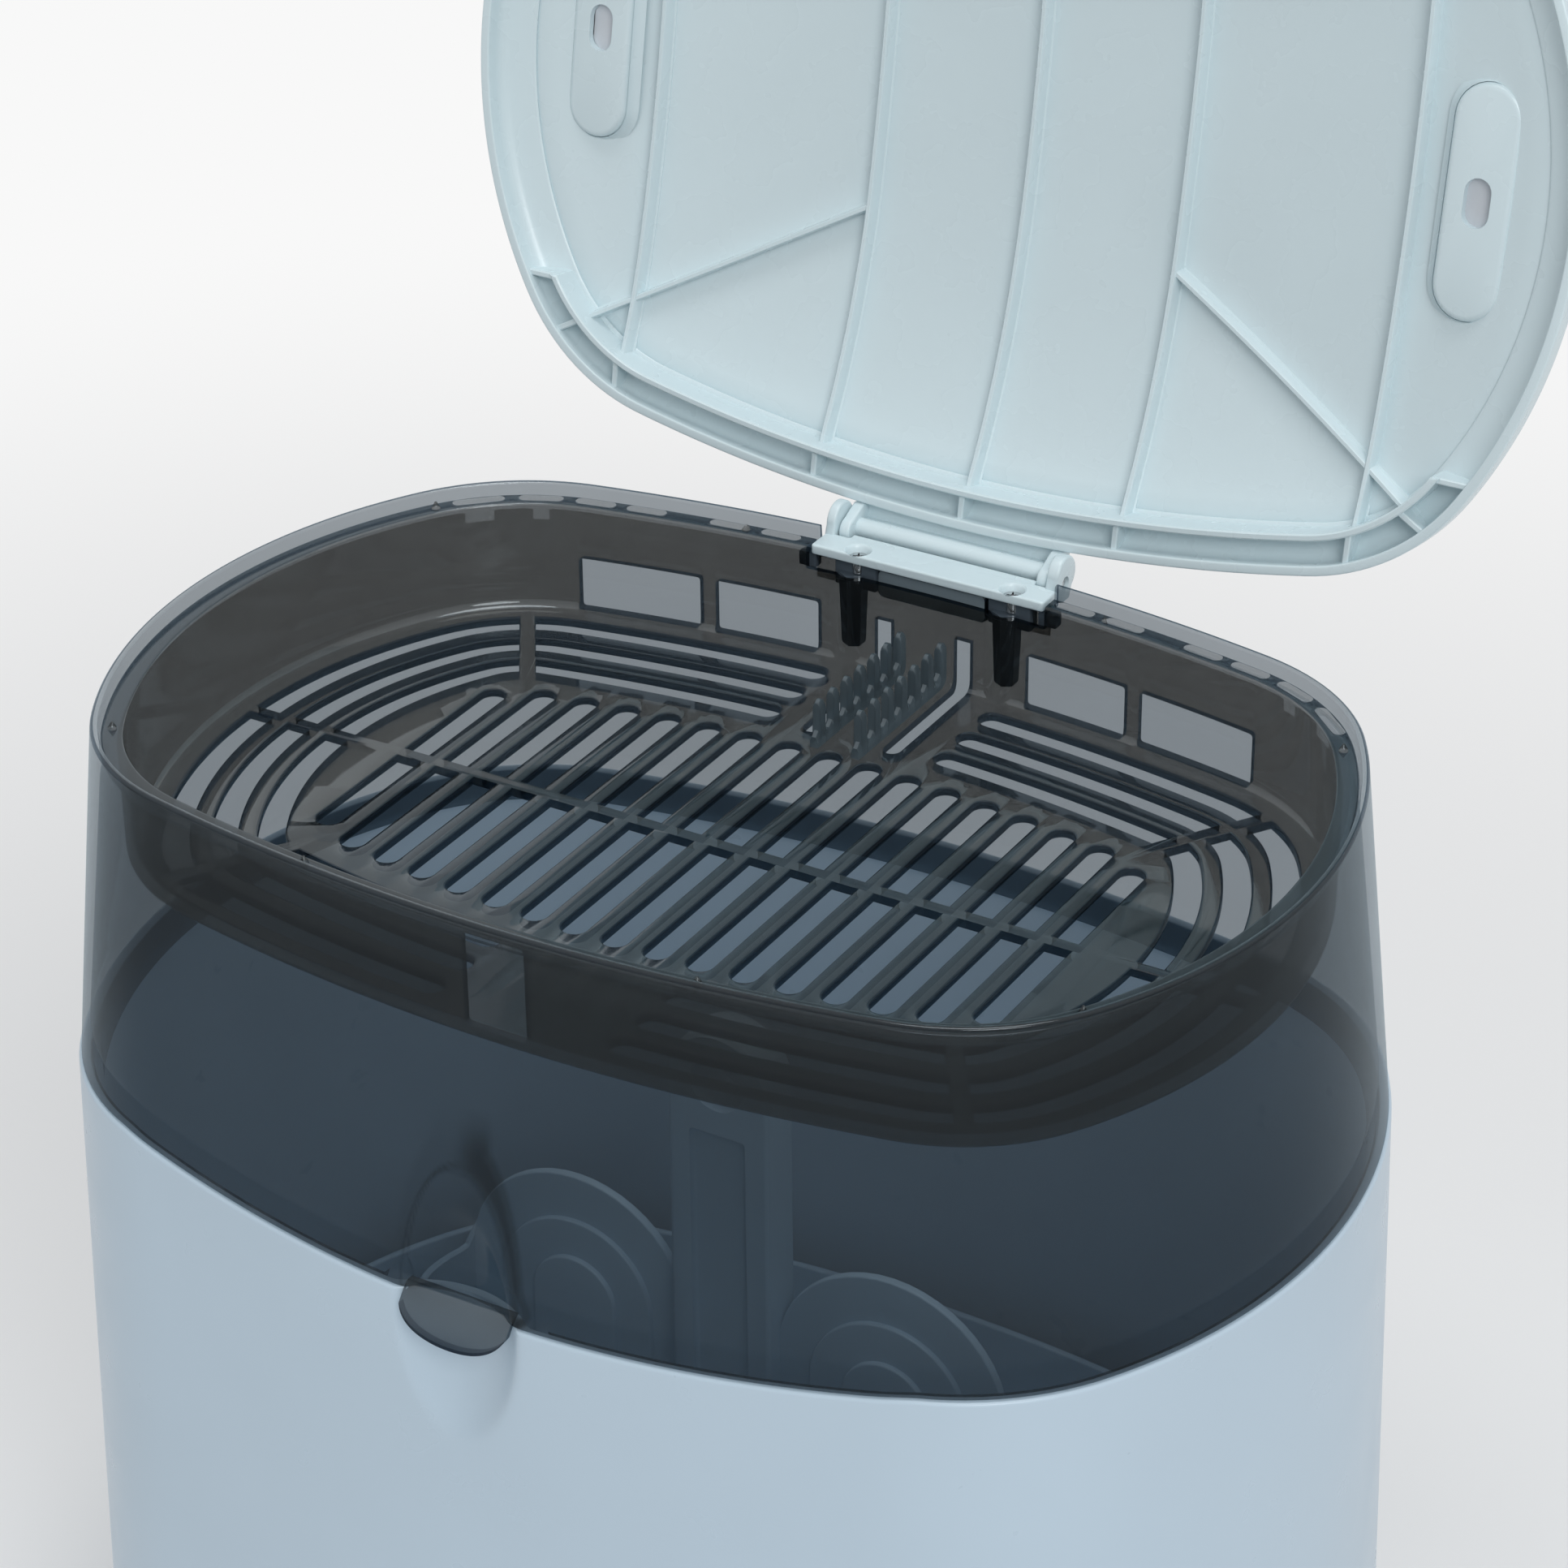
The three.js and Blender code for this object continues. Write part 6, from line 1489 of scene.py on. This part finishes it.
def build_handle(plan, skin):
    """The handle: a long rounded block that stands on the dome, hollow inside, and narrows towards its top.

    Its rings grow with a power of what is left of the climb, for the foot's sweep, less a straight taper. The
    top's edges are quarter circles.
    """
    outer_skin = Skin(plan, LID_INNER_EDGE + LID_SKIN, LID_INNER_TOP + LID_SKIN, outer_side())
    straight = HANDLE_HALF[0] - HANDLE_HALF[1]
    points, normals = stadium_ring((-straight, HANDLE_Y), (straight, HANDLE_Y), HANDLE_HALF[1], 20)
    top = lid_level() + HANDLE_TOP
    inner_top = top - LID_SKIN
    foot = outer_skin.height(points + 2.2 * normals) - 0.5
    base = skin.height(points - LID_SKIN * normals)
    outside, inside = [], []
    for t in np.linspace(0, 1, 9):
        grow = 2.2 * (1 - t) ** 3 - 1.9 * t
        z = foot + (top - 3.5 - foot) * (0.02 + 0.98 * t)
        outside.append(np.column_stack([points + grow * normals, z]))
        grow = -LID_SKIN + 0.5 * (1 - t) ** 4 - 1.9 * t
        z = base + (inner_top - 2 - base) * t
        inside.append(np.column_stack([points + grow * normals, z]))
    rims = ((outside, 7, -1.9, 3.5, top), (inside, 5, -LID_SKIN - 1.9, 2, inner_top))
    for rings, steps, start, edge, z in rims:
        for turn in np.linspace(0, math.pi / 2, steps)[1:]:
            grow = start - edge * (1 - math.cos(turn))
            level = np.full(len(points), z - edge + edge * math.sin(turn))
            rings.append(np.column_stack([points + grow * normals, level]))
    poles = ((0, HANDLE_Y, top), (0, HANDLE_Y, inner_top))
    shell = outward(loft(np.array(outside[::-1] + inside), poles=poles))
    finish_lid(add_piece("lid_handle", [shell], finish("lid blue"), 40))


def build_leaf():
    """The leaf: it joins the lid's back wall to the roll that turns on the pins, with a cheek at each end."""
    y, z = hinge_axis()
    rim = lid_level()
    barrel_half = EAR_OUTER - EAR_THICK - SLIDE_FIT
    wall_back = mm("rim_half_depth") - LID_INSET - 0.6
    turn = np.linspace(-math.pi * 0.9, math.pi * 0.35, 19)
    knuckle = np.stack([y + CHEEK_RADIUS * np.cos(turn), z + CHEEK_RADIUS * np.sin(turn)], -1)
    cheek = np.concatenate([knuckle, [
        (y + 1.6, rim + 3.4), (wall_back, rim + LID_SIDE_HEIGHT - 1), (wall_back, rim + 0.6),
        (CHEEK_FOOT_Y, rim - 2.1)]])
    roll_y, roll_z = y + ROLL_SHIFT[0], z + ROLL_SHIFT[1]
    across = np.array([
        (wall_back, rim + 3.2), (roll_y - 1.2, rim + 3.0), (roll_y + 0.7, rim + 3.4),
        (wall_back, rim + LID_SIDE_HEIGHT - 0.9)])
    down = np.array([
        (roll_y - 1.5, roll_z + 0.9), (roll_y + 1.6, roll_z + 0.6), (roll_y + 1.5, rim + 2.4),
        (roll_y + 0.6, rim + 3.5), (roll_y - 1.8, rim + 3.2)])
    shapes = []
    for side in (-1, 1):
        low, high = sorted((side * barrel_half, side * (barrel_half - 2.8)))
        shapes.append(section_block(cheek, low, high, 0.6))
    shapes += [section_block(part, -barrel_half + 2.2, barrel_half - 2.2, 0.1) for part in (across, down)]
    low, high = -barrel_half + 2.0, barrel_half - 2.0
    roll = turned([(0, low), (ROLL_RADIUS, low), (ROLL_RADIUS, high), (0, high)], 40)
    shapes.append(to_axis(roll, "X", (0, roll_y, roll_z)))
    finish_lid(add_piece("lid_hinge_leaf", shapes, finish("lid blue"), 35))


def section_block(section, low, high, edge):
    """A closed block along X from a convex outline in Y and Z, with softened ends."""
    middle = section.mean(0)
    unit = (section - middle) / np.linalg.norm(section - middle, axis=1)[:, None]
    return to_axis(prism((section, unit), soft_levels(low, high, edge)), "X")


# Hinge bracket, screws and pins


def build_bracket():
    """The hinge bracket with its screws and the hinge's pins."""
    build_plate_and_trough()
    build_ears()
    build_screws_and_pins()


def bracket_level():
    """Height of the bracket plate's upper face."""
    return mm("rim_height") - BRACKET_DROP


def build_plate_and_trough():
    """The bracket's plate, with cut corners and dimples for the screws, and the curved trough under the roll.

    The plate's normals are square to the line between each point's two neighbours. The trough is an arc with
    its thickness, drawn out along X.
    """
    y, z = hinge_axis()
    top = bracket_level()
    under = top - BRACKET_THICK
    front = mm("rim_half_depth") - PLATE_FRONT
    back, tongue = PLATE_BACK
    wide, narrow = LOBE_OUTER, EAR_OUTER - EAR_THICK - 3.6
    corners = np.array([
        (-wide, back), (-wide, front), (wide, front), (wide, back), (narrow, back), (narrow, tongue),
        (-narrow, tongue), (-narrow, back)]) + (PLATE_SHIFT, 0)
    outline = rounded(corners, [0.9, 0.9, 0.9, 0.9, 0.5, 0.7, 0.7, 0.5], 4)
    step = np.roll(outline, -1, 0) - np.roll(outline, 1, 0)
    normals = np.stack([step[:, 1], -step[:, 0]], -1)
    normals /= np.linalg.norm(normals, axis=1)[:, None]
    if ((outline - outline.mean(0)) * normals).sum() < 0:
        normals = -normals
    plate = prism((outline, normals), soft_levels(under, top, 0.5))
    piece = add_piece("bracket_plate", [plate], finish("lid blue"), 35)
    dimple = [
        (0, under - 1), (2.5, under - 1), (2.5, under + 0.7), (2.85, top - 0.6), (3.05, top - 0.25),
        (3.4, top + 0.05), (3.4, top + 1), (0, top + 1)]
    cut(piece, [turned(dimple, 48, screw_place(side)) for side in (-1, 1)], 35)
    finish_piece(piece, "hood", "light_blue", "hinge_bracket")

    turn = np.linspace(math.pi * 1.18, math.pi * 1.84, 17)
    arc = np.stack([np.cos(turn), np.sin(turn)], -1)
    section = np.concatenate([TROUGH_RADIUS * arc, (TROUGH_RADIUS + 0.7) * arc[::-1]]) + (y, z)
    ends = np.array([np.column_stack([np.full(len(section), side * (EAR_OUTER - EAR_THICK + 0.3)), section])
                     for side in (-1, 1)])
    half = len(turn)
    order = np.arange(half - 1)
    cap = np.stack([order, order + 1, 2 * half - 2 - order, 2 * half - 1 - order], -1)
    trough = outward((ends.reshape(-1, 3), [grid_faces(2, 2 * half), cap, (cap + 2 * half)[:, ::-1]]))
    piece = add_piece("bracket_trough", [trough], finish("lid blue"), 35)
    finish_piece(piece, "hood", "light_blue")


def screw_place(side):
    """Where a screw of the hinge stands in plan."""
    return side * SCREW_X + SCREW_SHIFT, screw_y(), 0


def build_ears():
    """The bracket's ears: lobes, part of a circle each, that reach down behind the plate, with a bore."""
    y, z = hinge_axis()
    top = bracket_level()
    under = top - BRACKET_THICK
    back = PLATE_BACK[0]
    turn = np.linspace(-0.3 * math.pi, math.pi, 30)
    lobe = np.stack([LOBE[0] + LOBE[2] * np.cos(turn), LOBE[1] + LOBE[2] * np.sin(turn)], -1)
    foot = [
        (back - 1.2, top - 0.1), (back - 1.2, under + 0.1), (back + 2.6, under - 2.2),
        (back + 5.6, under - 2.2)]
    ears = []
    for side in (-1, 1):
        low, high = sorted((side * (EAR_OUTER - EAR_THICK), side * LOBE_OUTER + PLATE_SHIFT))
        ears.append(section_block(np.concatenate([lobe, foot]), low, high, 0.6))
    piece = add_piece("bracket_ears", ears, finish("lid blue"), 35)
    cut(piece, [to_axis(turned([(0, -40), (1.75, -40), (1.75, 40), (0, 40)], 32), "X", (0, y, z))], 35)
    finish_piece(piece, "hood", "light_blue")


def build_screws_and_pins():
    """The bracket's two screws, with a cross cut in each head, and the two pins of the hinge."""
    y, z = hinge_axis()
    top = bracket_level()
    for name, side in (("left", -1), ("right", 1)):
        screw = turned([
            (0, top - 5.7), (SCREW_SHANK, top - 5.7), (SCREW_SHANK, top - 2.9), (2.45, top - 2.4),
            (2.45, top - 1.9), (2.1, top - 1.6), (1.2, top - 1.5), (0, top - 1.5),
        ], 32, screw_place(side))
        piece = add_piece(f"bracket_screw_{name}", [screw], finish("plated steel"), 30)
        for turn in (0.4, 0.4 + math.pi / 2):
            x, across = 1.2 * math.cos(turn), 1.2 * math.sin(turn)
            slot = prism(stadium_ring((-x, -across), (x, across), 0.32, 4), [
                (-0.15, top - 2.3 - turn * 0.01), (0, top)])
            cut(piece, [moved(slot, screw_place(side))], 30)
        finish_piece(piece, "hood", "steel", f"hinge_screw_{name}")
        low, high = sorted((side * (LOBE_OUTER - 0.4), side * (EAR_OUTER - EAR_THICK - 2.8)))
        pin = turned([(0, low), (1.2, low), (1.6, low + 0.4), (1.6, high - 0.4), (1.2, high), (0, high)], 28)
        piece = add_piece(f"hinge_rod_{name}", [to_axis(pin, "X", (0, y, z))], finish("plated steel"), 30)
        finish_piece(piece, "hood", "steel", f"hinge_pin_{name}")


# Basket


def cup_wall(x, y, floor):
    """A bottle cup: a thin round wall whose height climbs in soft steps towards the long side of the basket.

    The height is a base plus two smooth steps of how far out a point lies, and it falls to a low lip on the
    side towards the basket's middle.
    """
    turn = np.linspace(0, 2 * math.pi, 96, endpoint=False)
    out = np.sin(turn) * (1 if y > 0 else -1) * CUP_RADIUS
    height = 18.0 + (8 / (1 + np.exp(-(out + 7) / 0.8)) + 8 / (1 + np.exp(-(out - 15) / 0.8)))
    height = 6 + (height - 6) / (1 + np.exp(-(out + 30) / 1.0))
    around = np.stack([np.cos(turn), np.sin(turn)], -1)
    inner = CUP_RADIUS - CUP_WALL
    rows = []
    for radius, share, drop in (
        (inner, 0, 0), (inner, 1, -0.5), (inner + 0.5, 1, 0),
        (CUP_RADIUS - 0.5, 1, 0), (CUP_RADIUS, 1, -0.5), (CUP_RADIUS, 0, 0),
    ):
        rows.append(np.column_stack([around * radius + (x, y), floor + FIT + share * height + drop]))
    return outward(loft(rows, wrap=True))


def arch_plate(x, radius, top, thick, low):
    """A plate with a round top, standing on the basket's floor, its edges softened."""
    turn = np.linspace(0, math.pi, 25)
    curve = np.stack([x + radius * np.cos(turn), top - radius + radius * np.sin(turn)], -1)
    normals = np.stack([np.cos(turn), np.sin(turn)], -1)
    points = np.concatenate([curve, [[x - radius, low], [x + radius, low]]])
    normals = np.concatenate([normals, [[-1, 0], [1, 0]]])
    shape = prism((points, normals), soft_levels(-thick / 2, thick / 2, 0.5))
    upright = shape[0][:, [0, 2, 1]]
    return outward((upright, shape[1]))


def build_basket():
    """The bottle basket: a rimmed floor with six holes, six cups, nested arches and a lifting post."""
    plan = Plan()
    grow = body_grow(DECK) - BODY_WALL - 4 - SCOOP_DEPTH
    rows = rounded([
        (-50, BASKET_TOP, 0), (grow - 2, BASKET_TOP, 0), (grow - 2, BASKET_TOP + 26, 0),
        (grow, BASKET_TOP + 26, 0), (grow - 1, BASKET_FLOOR, 0), (-50, BASKET_FLOOR, 0),
    ], [0, 2, 0.8, 0.8, 3, 0], 5)
    rings = plan_shell(plan, rows, plan.columns(5.0))
    shell = outward(loft(rings, poles=((0, 0, BASKET_TOP), (0, 0, BASKET_FLOOR))))
    piece = add_piece("basket_floor", [shell], finish("basket blue"), 35)
    cups = [(a * CUP_PITCH[0], b * CUP_PITCH[1] / 2) for a in (-1, 0, 1) for b in (-1, 1)]
    hole = [(0, 70), (20.4, 70), (20.4, BASKET_FLOOR), (20, BASKET_FLOOR + 0.4), (20, BASKET_TOP - 0.4),
            (20.4, BASKET_TOP), (20.4, 80), (0, 80)]
    cut(piece, [turned(hole, 48, (x, y, 0)) for x, y in cups], 35)
    low, high = DECK + FIT, BASKET_FLOOR + 0.5
    foot = [(0, low), (5.4, low), (6, DECK + 0.9), (6, high), (0, high)]
    feet = [turned(foot, 24, (a * 44, b * 68, 0)) for a in (-1, 1) for b in (-1, 1)]
    finish_piece(add_piece("basket_feet", feet, finish("basket blue"), 35), "basket", "light_blue_inside")
    finish_piece(piece, "basket", "light_blue_inside", "basket_rack")
    walls = [cup_wall(x, y, BASKET_TOP) for x, y in cups]
    names = [f"bottle_cup_{a}_{b}" for a in ("left", "mid", "right") for b in ("front", "back")]
    piece = add_piece("basket_cups", walls, finish("basket blue"), 35)
    finish_piece(piece, "basket", "light_blue_inside", *names)

    low = BASKET_TOP + FIT
    arches = [arch_plate(side * 43.0, radius, low + top, thick, low)
              for side in (-1, 1) for radius, top, thick in ((30.5, 109, 2.4), (21, 97, 5.2), (11.5, 87, 8))]
    piece = add_piece("basket_arches", arches, finish("basket blue"), 35)
    finish_piece(piece, "basket", "light_blue_inside")

    high = BASKET_TOP + 152.0
    post = prism(block_ring((-13.5, -6), (13.5, 6), 1.2), soft_levels(low, high, 0.4))
    piece = add_piece("basket_post", [post], finish("basket blue"), 35)
    levels = soft_levels(low + 5, high - 13.5, 1.0)
    grooves = [prism(block_ring((-7.5, side * 6 - 2), (7.5, side * 6 + 2), 0.8), levels) for side in (-1, 1)]
    cut(piece, grooves, 35)
    knob = turned([(0, -6), (12.7, -6), (13.5, -5.2), (13.5, 5.2), (12.7, 6), (0, 6)], 64)
    cut(piece, [to_axis(knob, "Y", (0, 0, high))], 35, joined=True)
    hole = turned([(0, -8), (7.4, -8), (6.75, -5.2), (6.75, 5.2), (7.4, 8), (0, 8)], 48)
    cut(piece, [to_axis(hole, "Y", (0, 0, high))], 35)
    finish_piece(piece, "basket", "light_blue_inside", "lift_post")


# Controls, plate and small parts


def build_controls():
    """Button, bezel, lens and gland in the body's wall, as soft-edged revolves."""
    wall = wall_y(BUTTON_Z)
    button = to_axis(turned([
        (0, 9), (13, 9), (13, 7), (11, 7), (11, 1.2), (10.7, 0.5), (10.0, 0.1), (8.5, 0), (6.0, 0.35),
        (0, 0.5),
    ], 64), "Y", (0, wall - 1.6, BUTTON_Z))
    piece = add_piece("button_cap", [outward(button)], finish("basket blue"), 30)
    finish_piece(piece, "button", "light_blue_inside", "power_button")
    bezel = to_axis(turned([
        (11.3, 5.1), (14, 5.1), (14, -0.6), (15.3, -0.7), (15.6, -1.2), (15.2, -1.9), (14.4, -2.2),
        (11.8, -2.2), (11.3, -1.8),
    ], 72), "Y", (0, wall, BUTTON_Z))
    piece = add_piece("bezel_ring", [outward(bezel)], finish("plated steel"), 30)
    finish_piece(piece, "base", "steel", "button_bezel")
    lens = to_axis(turned([
        (0, 3.1), (2.4, 3.1), (2.4, -0.3), (2.1, -0.7), (1.2, -1.05), (0, -1.2),
    ], 40), "Y", (0, wall_y(LENS_Z), LENS_Z))
    piece = add_piece("lens_cap", [outward(lens)], finish("lens"), 40)
    finish_piece(piece, "base", "lens", "indicator_lens")
    x, z = GLAND
    gland = to_axis(turned([
        (3.4, 2.2), (8.4, 2.2), (9.2, 1.6), (9.2, 0.6), (7, 0.6), (7, -14), (3.4, -14),
    ], 48), "Y", (x, Plan().edge_y(x, body_grow(z)) + FIT, z))
    piece = add_piece("inlet_gland", [outward(gland)], finish("dark plastic"), 30)
    finish_piece(piece, "base", "dark_plastic", "cord_gland")


def build_plate():
    """The heating plate, its seal and the feet, as soft-edged revolves."""
    low = DECK + FIT + 1.6 + FIT
    plate = turned([
        (0, low), (65, low), (66, low + 1), (66, low + 4.6), (65.6, low + 5), (64.4, low + 5),
        (64, low + 4.6), (62.8, low + 2.6), (61.5, low + 2.0), (24, low + 2.0), (22, low + 2.5),
        (20, low + 2.7), (0, low + 2.8),
    ], 128)
    piece = add_piece("plate_dish", [plate], finish("brushed steel"), 30)
    finish_piece(piece, "base", "steel", "heating_plate")
    under = DECK + FIT
    seal = turned([(61.3, under), (65.7, under), (65.7, under + 1.6), (61.3, under + 1.6)], 96)
    piece = add_piece("seal_ring", [seal], finish("seal silicone"), 30)
    finish_piece(piece, "base", "seal", "plate_seal")
    feet = {
        "front_left": (-115, -70), "front_right": (115, -70), "back_left": (-115, 70), "back_right": (115, 70),
    }
    for name, (x, y) in feet.items():
        foot = turned([
            (0, -4), (8.2, -4), (9.3, -3.7), (10, -2.8), (10, -0.6), (9.7, -0.3), (3, -0.3), (3, 3), (0, 3)],
            40, (x, y, 0))
        piece = add_piece(f"rubber_foot_{name}", [foot], finish("foot rubber"), 30)
        finish_piece(piece, "base", "rubber", f"foot_{name}")


def dress_nodes():
    """Puts each remaining solid's finish on it."""
    finishes = {
        "bottom_cover": "basket blue", "heater_element": "heater steel", "thermostat": "dark plastic",
        "thermal_fuse": "plated steel", "control_board": "board", "push_switch": "dark plastic",
        **{f"cover_screw_{k}": "plated steel" for k in (1, 2, 3, 4)},
    }
    for name, look in finishes.items():
        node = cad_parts[name]
        node.data.materials.clear()
        node.data.materials.append(finish(look))


# Stage


def build_stage():
    """Pale floor, even light from the sky, soft lamps and the camera that looks into the open steriliser."""
    scene = bpy.context.scene
    scene.view_settings.view_transform = "Standard"
    pale = tuple(colours().floor) + (1.0,)
    u = np.linspace(-FLOOR_REACH, FLOOR_REACH, 41)
    grid = np.stack(np.meshgrid(u, u, indexing="ij") + [np.full((41, 41), BOTTOM * METRES)], -1)
    sheet = grid.reshape(-1, 3) / METRES, [grid_faces(41, 41, False, False)]
    floor = add_piece("floor", [sheet], floor_finish(pale))
    build_sky(pale)
    build_lamps()
    build_camera()


def build_sky(pale):
    """An even sky: it lights the object a little cooler and dimmer than it is seen itself."""
    world = bpy.data.worlds.new("even sky")
    world.use_nodes = True
    tree = world.node_tree
    tree.nodes.clear()
    light = add(tree, "Background", {"Color": (0.96, 0.98, 1.0, 1.0), "Strength": 0.47})
    backdrop = add(tree, "Background", {"Color": pale, "Strength": 1.0})
    both = add(tree, "MixShader", {0: seen_directly(tree), 1: light.outputs[0], 2: backdrop.outputs[0]})
    output = add(tree, "OutputWorld")
    tree.links.new(both.outputs[0], output.inputs["Surface"])
    bpy.context.scene.world = world


def build_lamps():
    """Two round soft lamps, each aimed at the object's middle.

    A lamp's energy is its share of pi squared times the square of how far away it stands, so that the share
    is what reaches the object.
    """
    aim = np.array([0.0, 0.0, 0.25])
    for name, place, size, share in (
        ("key", (1.5, -1.5, 1.8), 1.2, 0.33), ("top", (0.1, 0.1, 2.6), 1.3, 0.34),
    ):
        lamp = bpy.data.lights.new(name, "AREA")
        lamp.shape, lamp.size = "DISK", size
        place = np.array(place)
        far = float(np.linalg.norm(place - aim))
        lamp.energy = share * math.pi**2 * far**2
        back = (place - aim) / far
        right = np.cross((0, 0, 1), back)
        right /= np.linalg.norm(right)
        stand(name, lamp, right, np.cross(back, right), back, place)


def build_camera():
    """The camera: turned about the upright, tilted down, rolled a little and off to one side of the rim."""
    turn, tilt, roll = math.radians(30.75), math.radians(29.52), -0.01
    ahead = np.array([-math.sin(turn) * math.cos(tilt), math.cos(turn) * math.cos(tilt), -math.sin(tilt)])
    right = np.array([math.cos(turn), math.sin(turn), 0.0])
    up = np.cross(right, ahead)
    side = math.cos(roll) * right + math.sin(roll) * up
    rise = -math.sin(roll) * right + math.cos(roll) * up
    place = -ahead * 1.0044 + side * 0.013337 - rise * 0.013099 + np.array([0, 0, mm("rim_height") * METRES])
    camera = bpy.data.cameras.new("camera")
    camera.sensor_width, camera.lens = 36.0, 104.91
    camera.clip_start, camera.clip_end = 0.05, 20.0
    bpy.context.scene.camera = stand("camera", camera, side, rise, -ahead, place)


def seen_directly(tree):
    """One for rays that show a thing as it is seen: those of the camera, mirrored ones and clear ones."""
    path = add(tree, "LightPath").outputs
    seen = math_node(tree, "MAXIMUM", path["Is Camera Ray"], path["Is Glossy Ray"])
    return math_node(tree, "MAXIMUM", seen, path["Is Transmission Ray"])


def stand(name, data, right, up, back, place):
    """Puts a lamp or a camera at a place, with its own axes to the right, up and back."""
    holder = bpy.data.objects.new(name, data)
    bpy.context.scene.collection.objects.link(holder)
    matrix = Matrix(np.stack([right, up, back], 1).tolist()).to_4x4()
    matrix.translation = place.tolist()
    holder.matrix_world = matrix
    return holder


def floor_finish(pale):
    """Matt pale floor that takes the object's shadow and passes into the plain backdrop further out."""
    material, tree, output, place = start_finish("pale floor")
    away = add(tree, "VectorMath", {0: place}, operation="LENGTH").outputs["Value"]
    far = add(
        tree, "MapRange", {"Value": away, 1: 0.35, 2: 1.1, 3: 0.0, 4: 1.0}, interpolation_type="SMOOTHSTEP")
    share = math_node(tree, "MULTIPLY", far.outputs[0], seen_directly(tree))
    matt = add(tree, "BsdfDiffuse", {"Color": tinted(pale, 0.95)}).outputs[0]
    glow = add(tree, "Emission", {"Color": pale, "Strength": 1.0}).outputs[0]
    both = add(tree, "MixShader", {0: share, 1: matt, 2: glow})
    tree.links.new(both.outputs[0], output.inputs["Surface"])
    return material


# Operators and panel


class MESH_OT_steriliser_stage(bpy.types.Operator):
    """Sets the floor, the sky, the lamps and the camera"""

    bl_idname = "mesh.steriliser_stage"
    bl_label = "Stage"

    def execute(self, context):
        build_stage()
        return {"FINISHED"}


class MESH_OT_steriliser_body(bpy.types.Operator):
    """Builds the light blue body with its deck and finger scoop"""

    bl_idname = "mesh.steriliser_body"
    bl_label = "Body"

    def execute(self, context):
        build_body()
        return {"FINISHED"}


class MESH_OT_steriliser_hood(bpy.types.Operator):
    """Builds the smoked hood with its grip, tongue and hinge posts"""

    bl_idname = "mesh.steriliser_hood"
    bl_label = "Hood"

    def execute(self, context):
        build_hood()
        return {"FINISHED"}


class MESH_OT_steriliser_tray(bpy.types.Operator):
    """Builds the slotted accessory tray with its combs"""

    bl_idname = "mesh.steriliser_tray"
    bl_label = "Tray"

    def execute(self, context):
        build_tray()
        return {"FINISHED"}


class MESH_OT_steriliser_lid(bpy.types.Operator):
    """Builds the ribbed lid, stood open on its hinge"""

    bl_idname = "mesh.steriliser_lid"
    bl_label = "Lid"

    def execute(self, context):
        build_lid()
        return {"FINISHED"}


class MESH_OT_steriliser_bracket(bpy.types.Operator):
    """Builds the hinge bracket with its screws and pins"""

    bl_idname = "mesh.steriliser_bracket"
    bl_label = "Hinge bracket"

    def execute(self, context):
        build_bracket()
        return {"FINISHED"}


class MESH_OT_steriliser_basket(bpy.types.Operator):
    """Builds the bottle basket with its cups, arches and post"""

    bl_idname = "mesh.steriliser_basket"
    bl_label = "Bottle basket"

    def execute(self, context):
        build_basket()
        return {"FINISHED"}


class MESH_OT_steriliser_controls(bpy.types.Operator):
    """Builds the button, its bezel, the lens and the inlet gland"""

    bl_idname = "mesh.steriliser_controls"
    bl_label = "Controls"

    def execute(self, context):
        build_controls()
        return {"FINISHED"}


class MESH_OT_steriliser_plate(bpy.types.Operator):
    """Builds the heating plate, its seal and the feet, and finishes the small solids"""

    bl_idname = "mesh.steriliser_plate"
    bl_label = "Plate and feet"

    def execute(self, context):
        build_plate()
        dress_nodes()
        return {"FINISHED"}


class VIEW3D_PT_steriliser(bpy.types.Panel):
    """Lists the steriliser's sizes, colours and pieces"""

    bl_label = "Steriliser"
    bl_idname = "VIEW3D_PT_steriliser"
    bl_space_type = "VIEW_3D"
    bl_region_type = "UI"
    bl_category = "Steriliser"

    def draw(self, context):
        layout = self.layout
        for group in (sizes(), colours()):
            for name in group.__annotations__:
                layout.prop(group, name)
        for operator in OPERATORS:
            layout.operator(operator.bl_idname)


OPERATORS = (
    MESH_OT_steriliser_stage, MESH_OT_steriliser_body, MESH_OT_steriliser_hood, MESH_OT_steriliser_tray,
    MESH_OT_steriliser_lid, MESH_OT_steriliser_bracket, MESH_OT_steriliser_basket,
    MESH_OT_steriliser_controls, MESH_OT_steriliser_plate,
)
CLASSES = (SteriliserSizes, SteriliserColours) + OPERATORS + (VIEW3D_PT_steriliser,)


def register():
    """Adds the classes and hangs the sizes and colours on the scene."""
    for made in CLASSES:
        bpy.utils.register_class(made)
    bpy.types.Scene.steriliser_sizes = PointerProperty(type=SteriliserSizes)
    bpy.types.Scene.steriliser_colours = PointerProperty(type=SteriliserColours)


def unregister():
    """Takes the classes, sizes and colours away again."""
    del bpy.types.Scene.steriliser_colours
    del bpy.types.Scene.steriliser_sizes
    for made in reversed(CLASSES):
        bpy.utils.unregister_class(made)


def main():
    """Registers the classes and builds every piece."""
    register()
    bpy.ops.mesh.steriliser_stage()
    bpy.ops.mesh.steriliser_body()
    bpy.ops.mesh.steriliser_hood()
    bpy.ops.mesh.steriliser_tray()
    bpy.ops.mesh.steriliser_lid()
    bpy.ops.mesh.steriliser_bracket()
    bpy.ops.mesh.steriliser_basket()
    bpy.ops.mesh.steriliser_controls()
    bpy.ops.mesh.steriliser_plate()


if __name__ == "__main__":
    main()
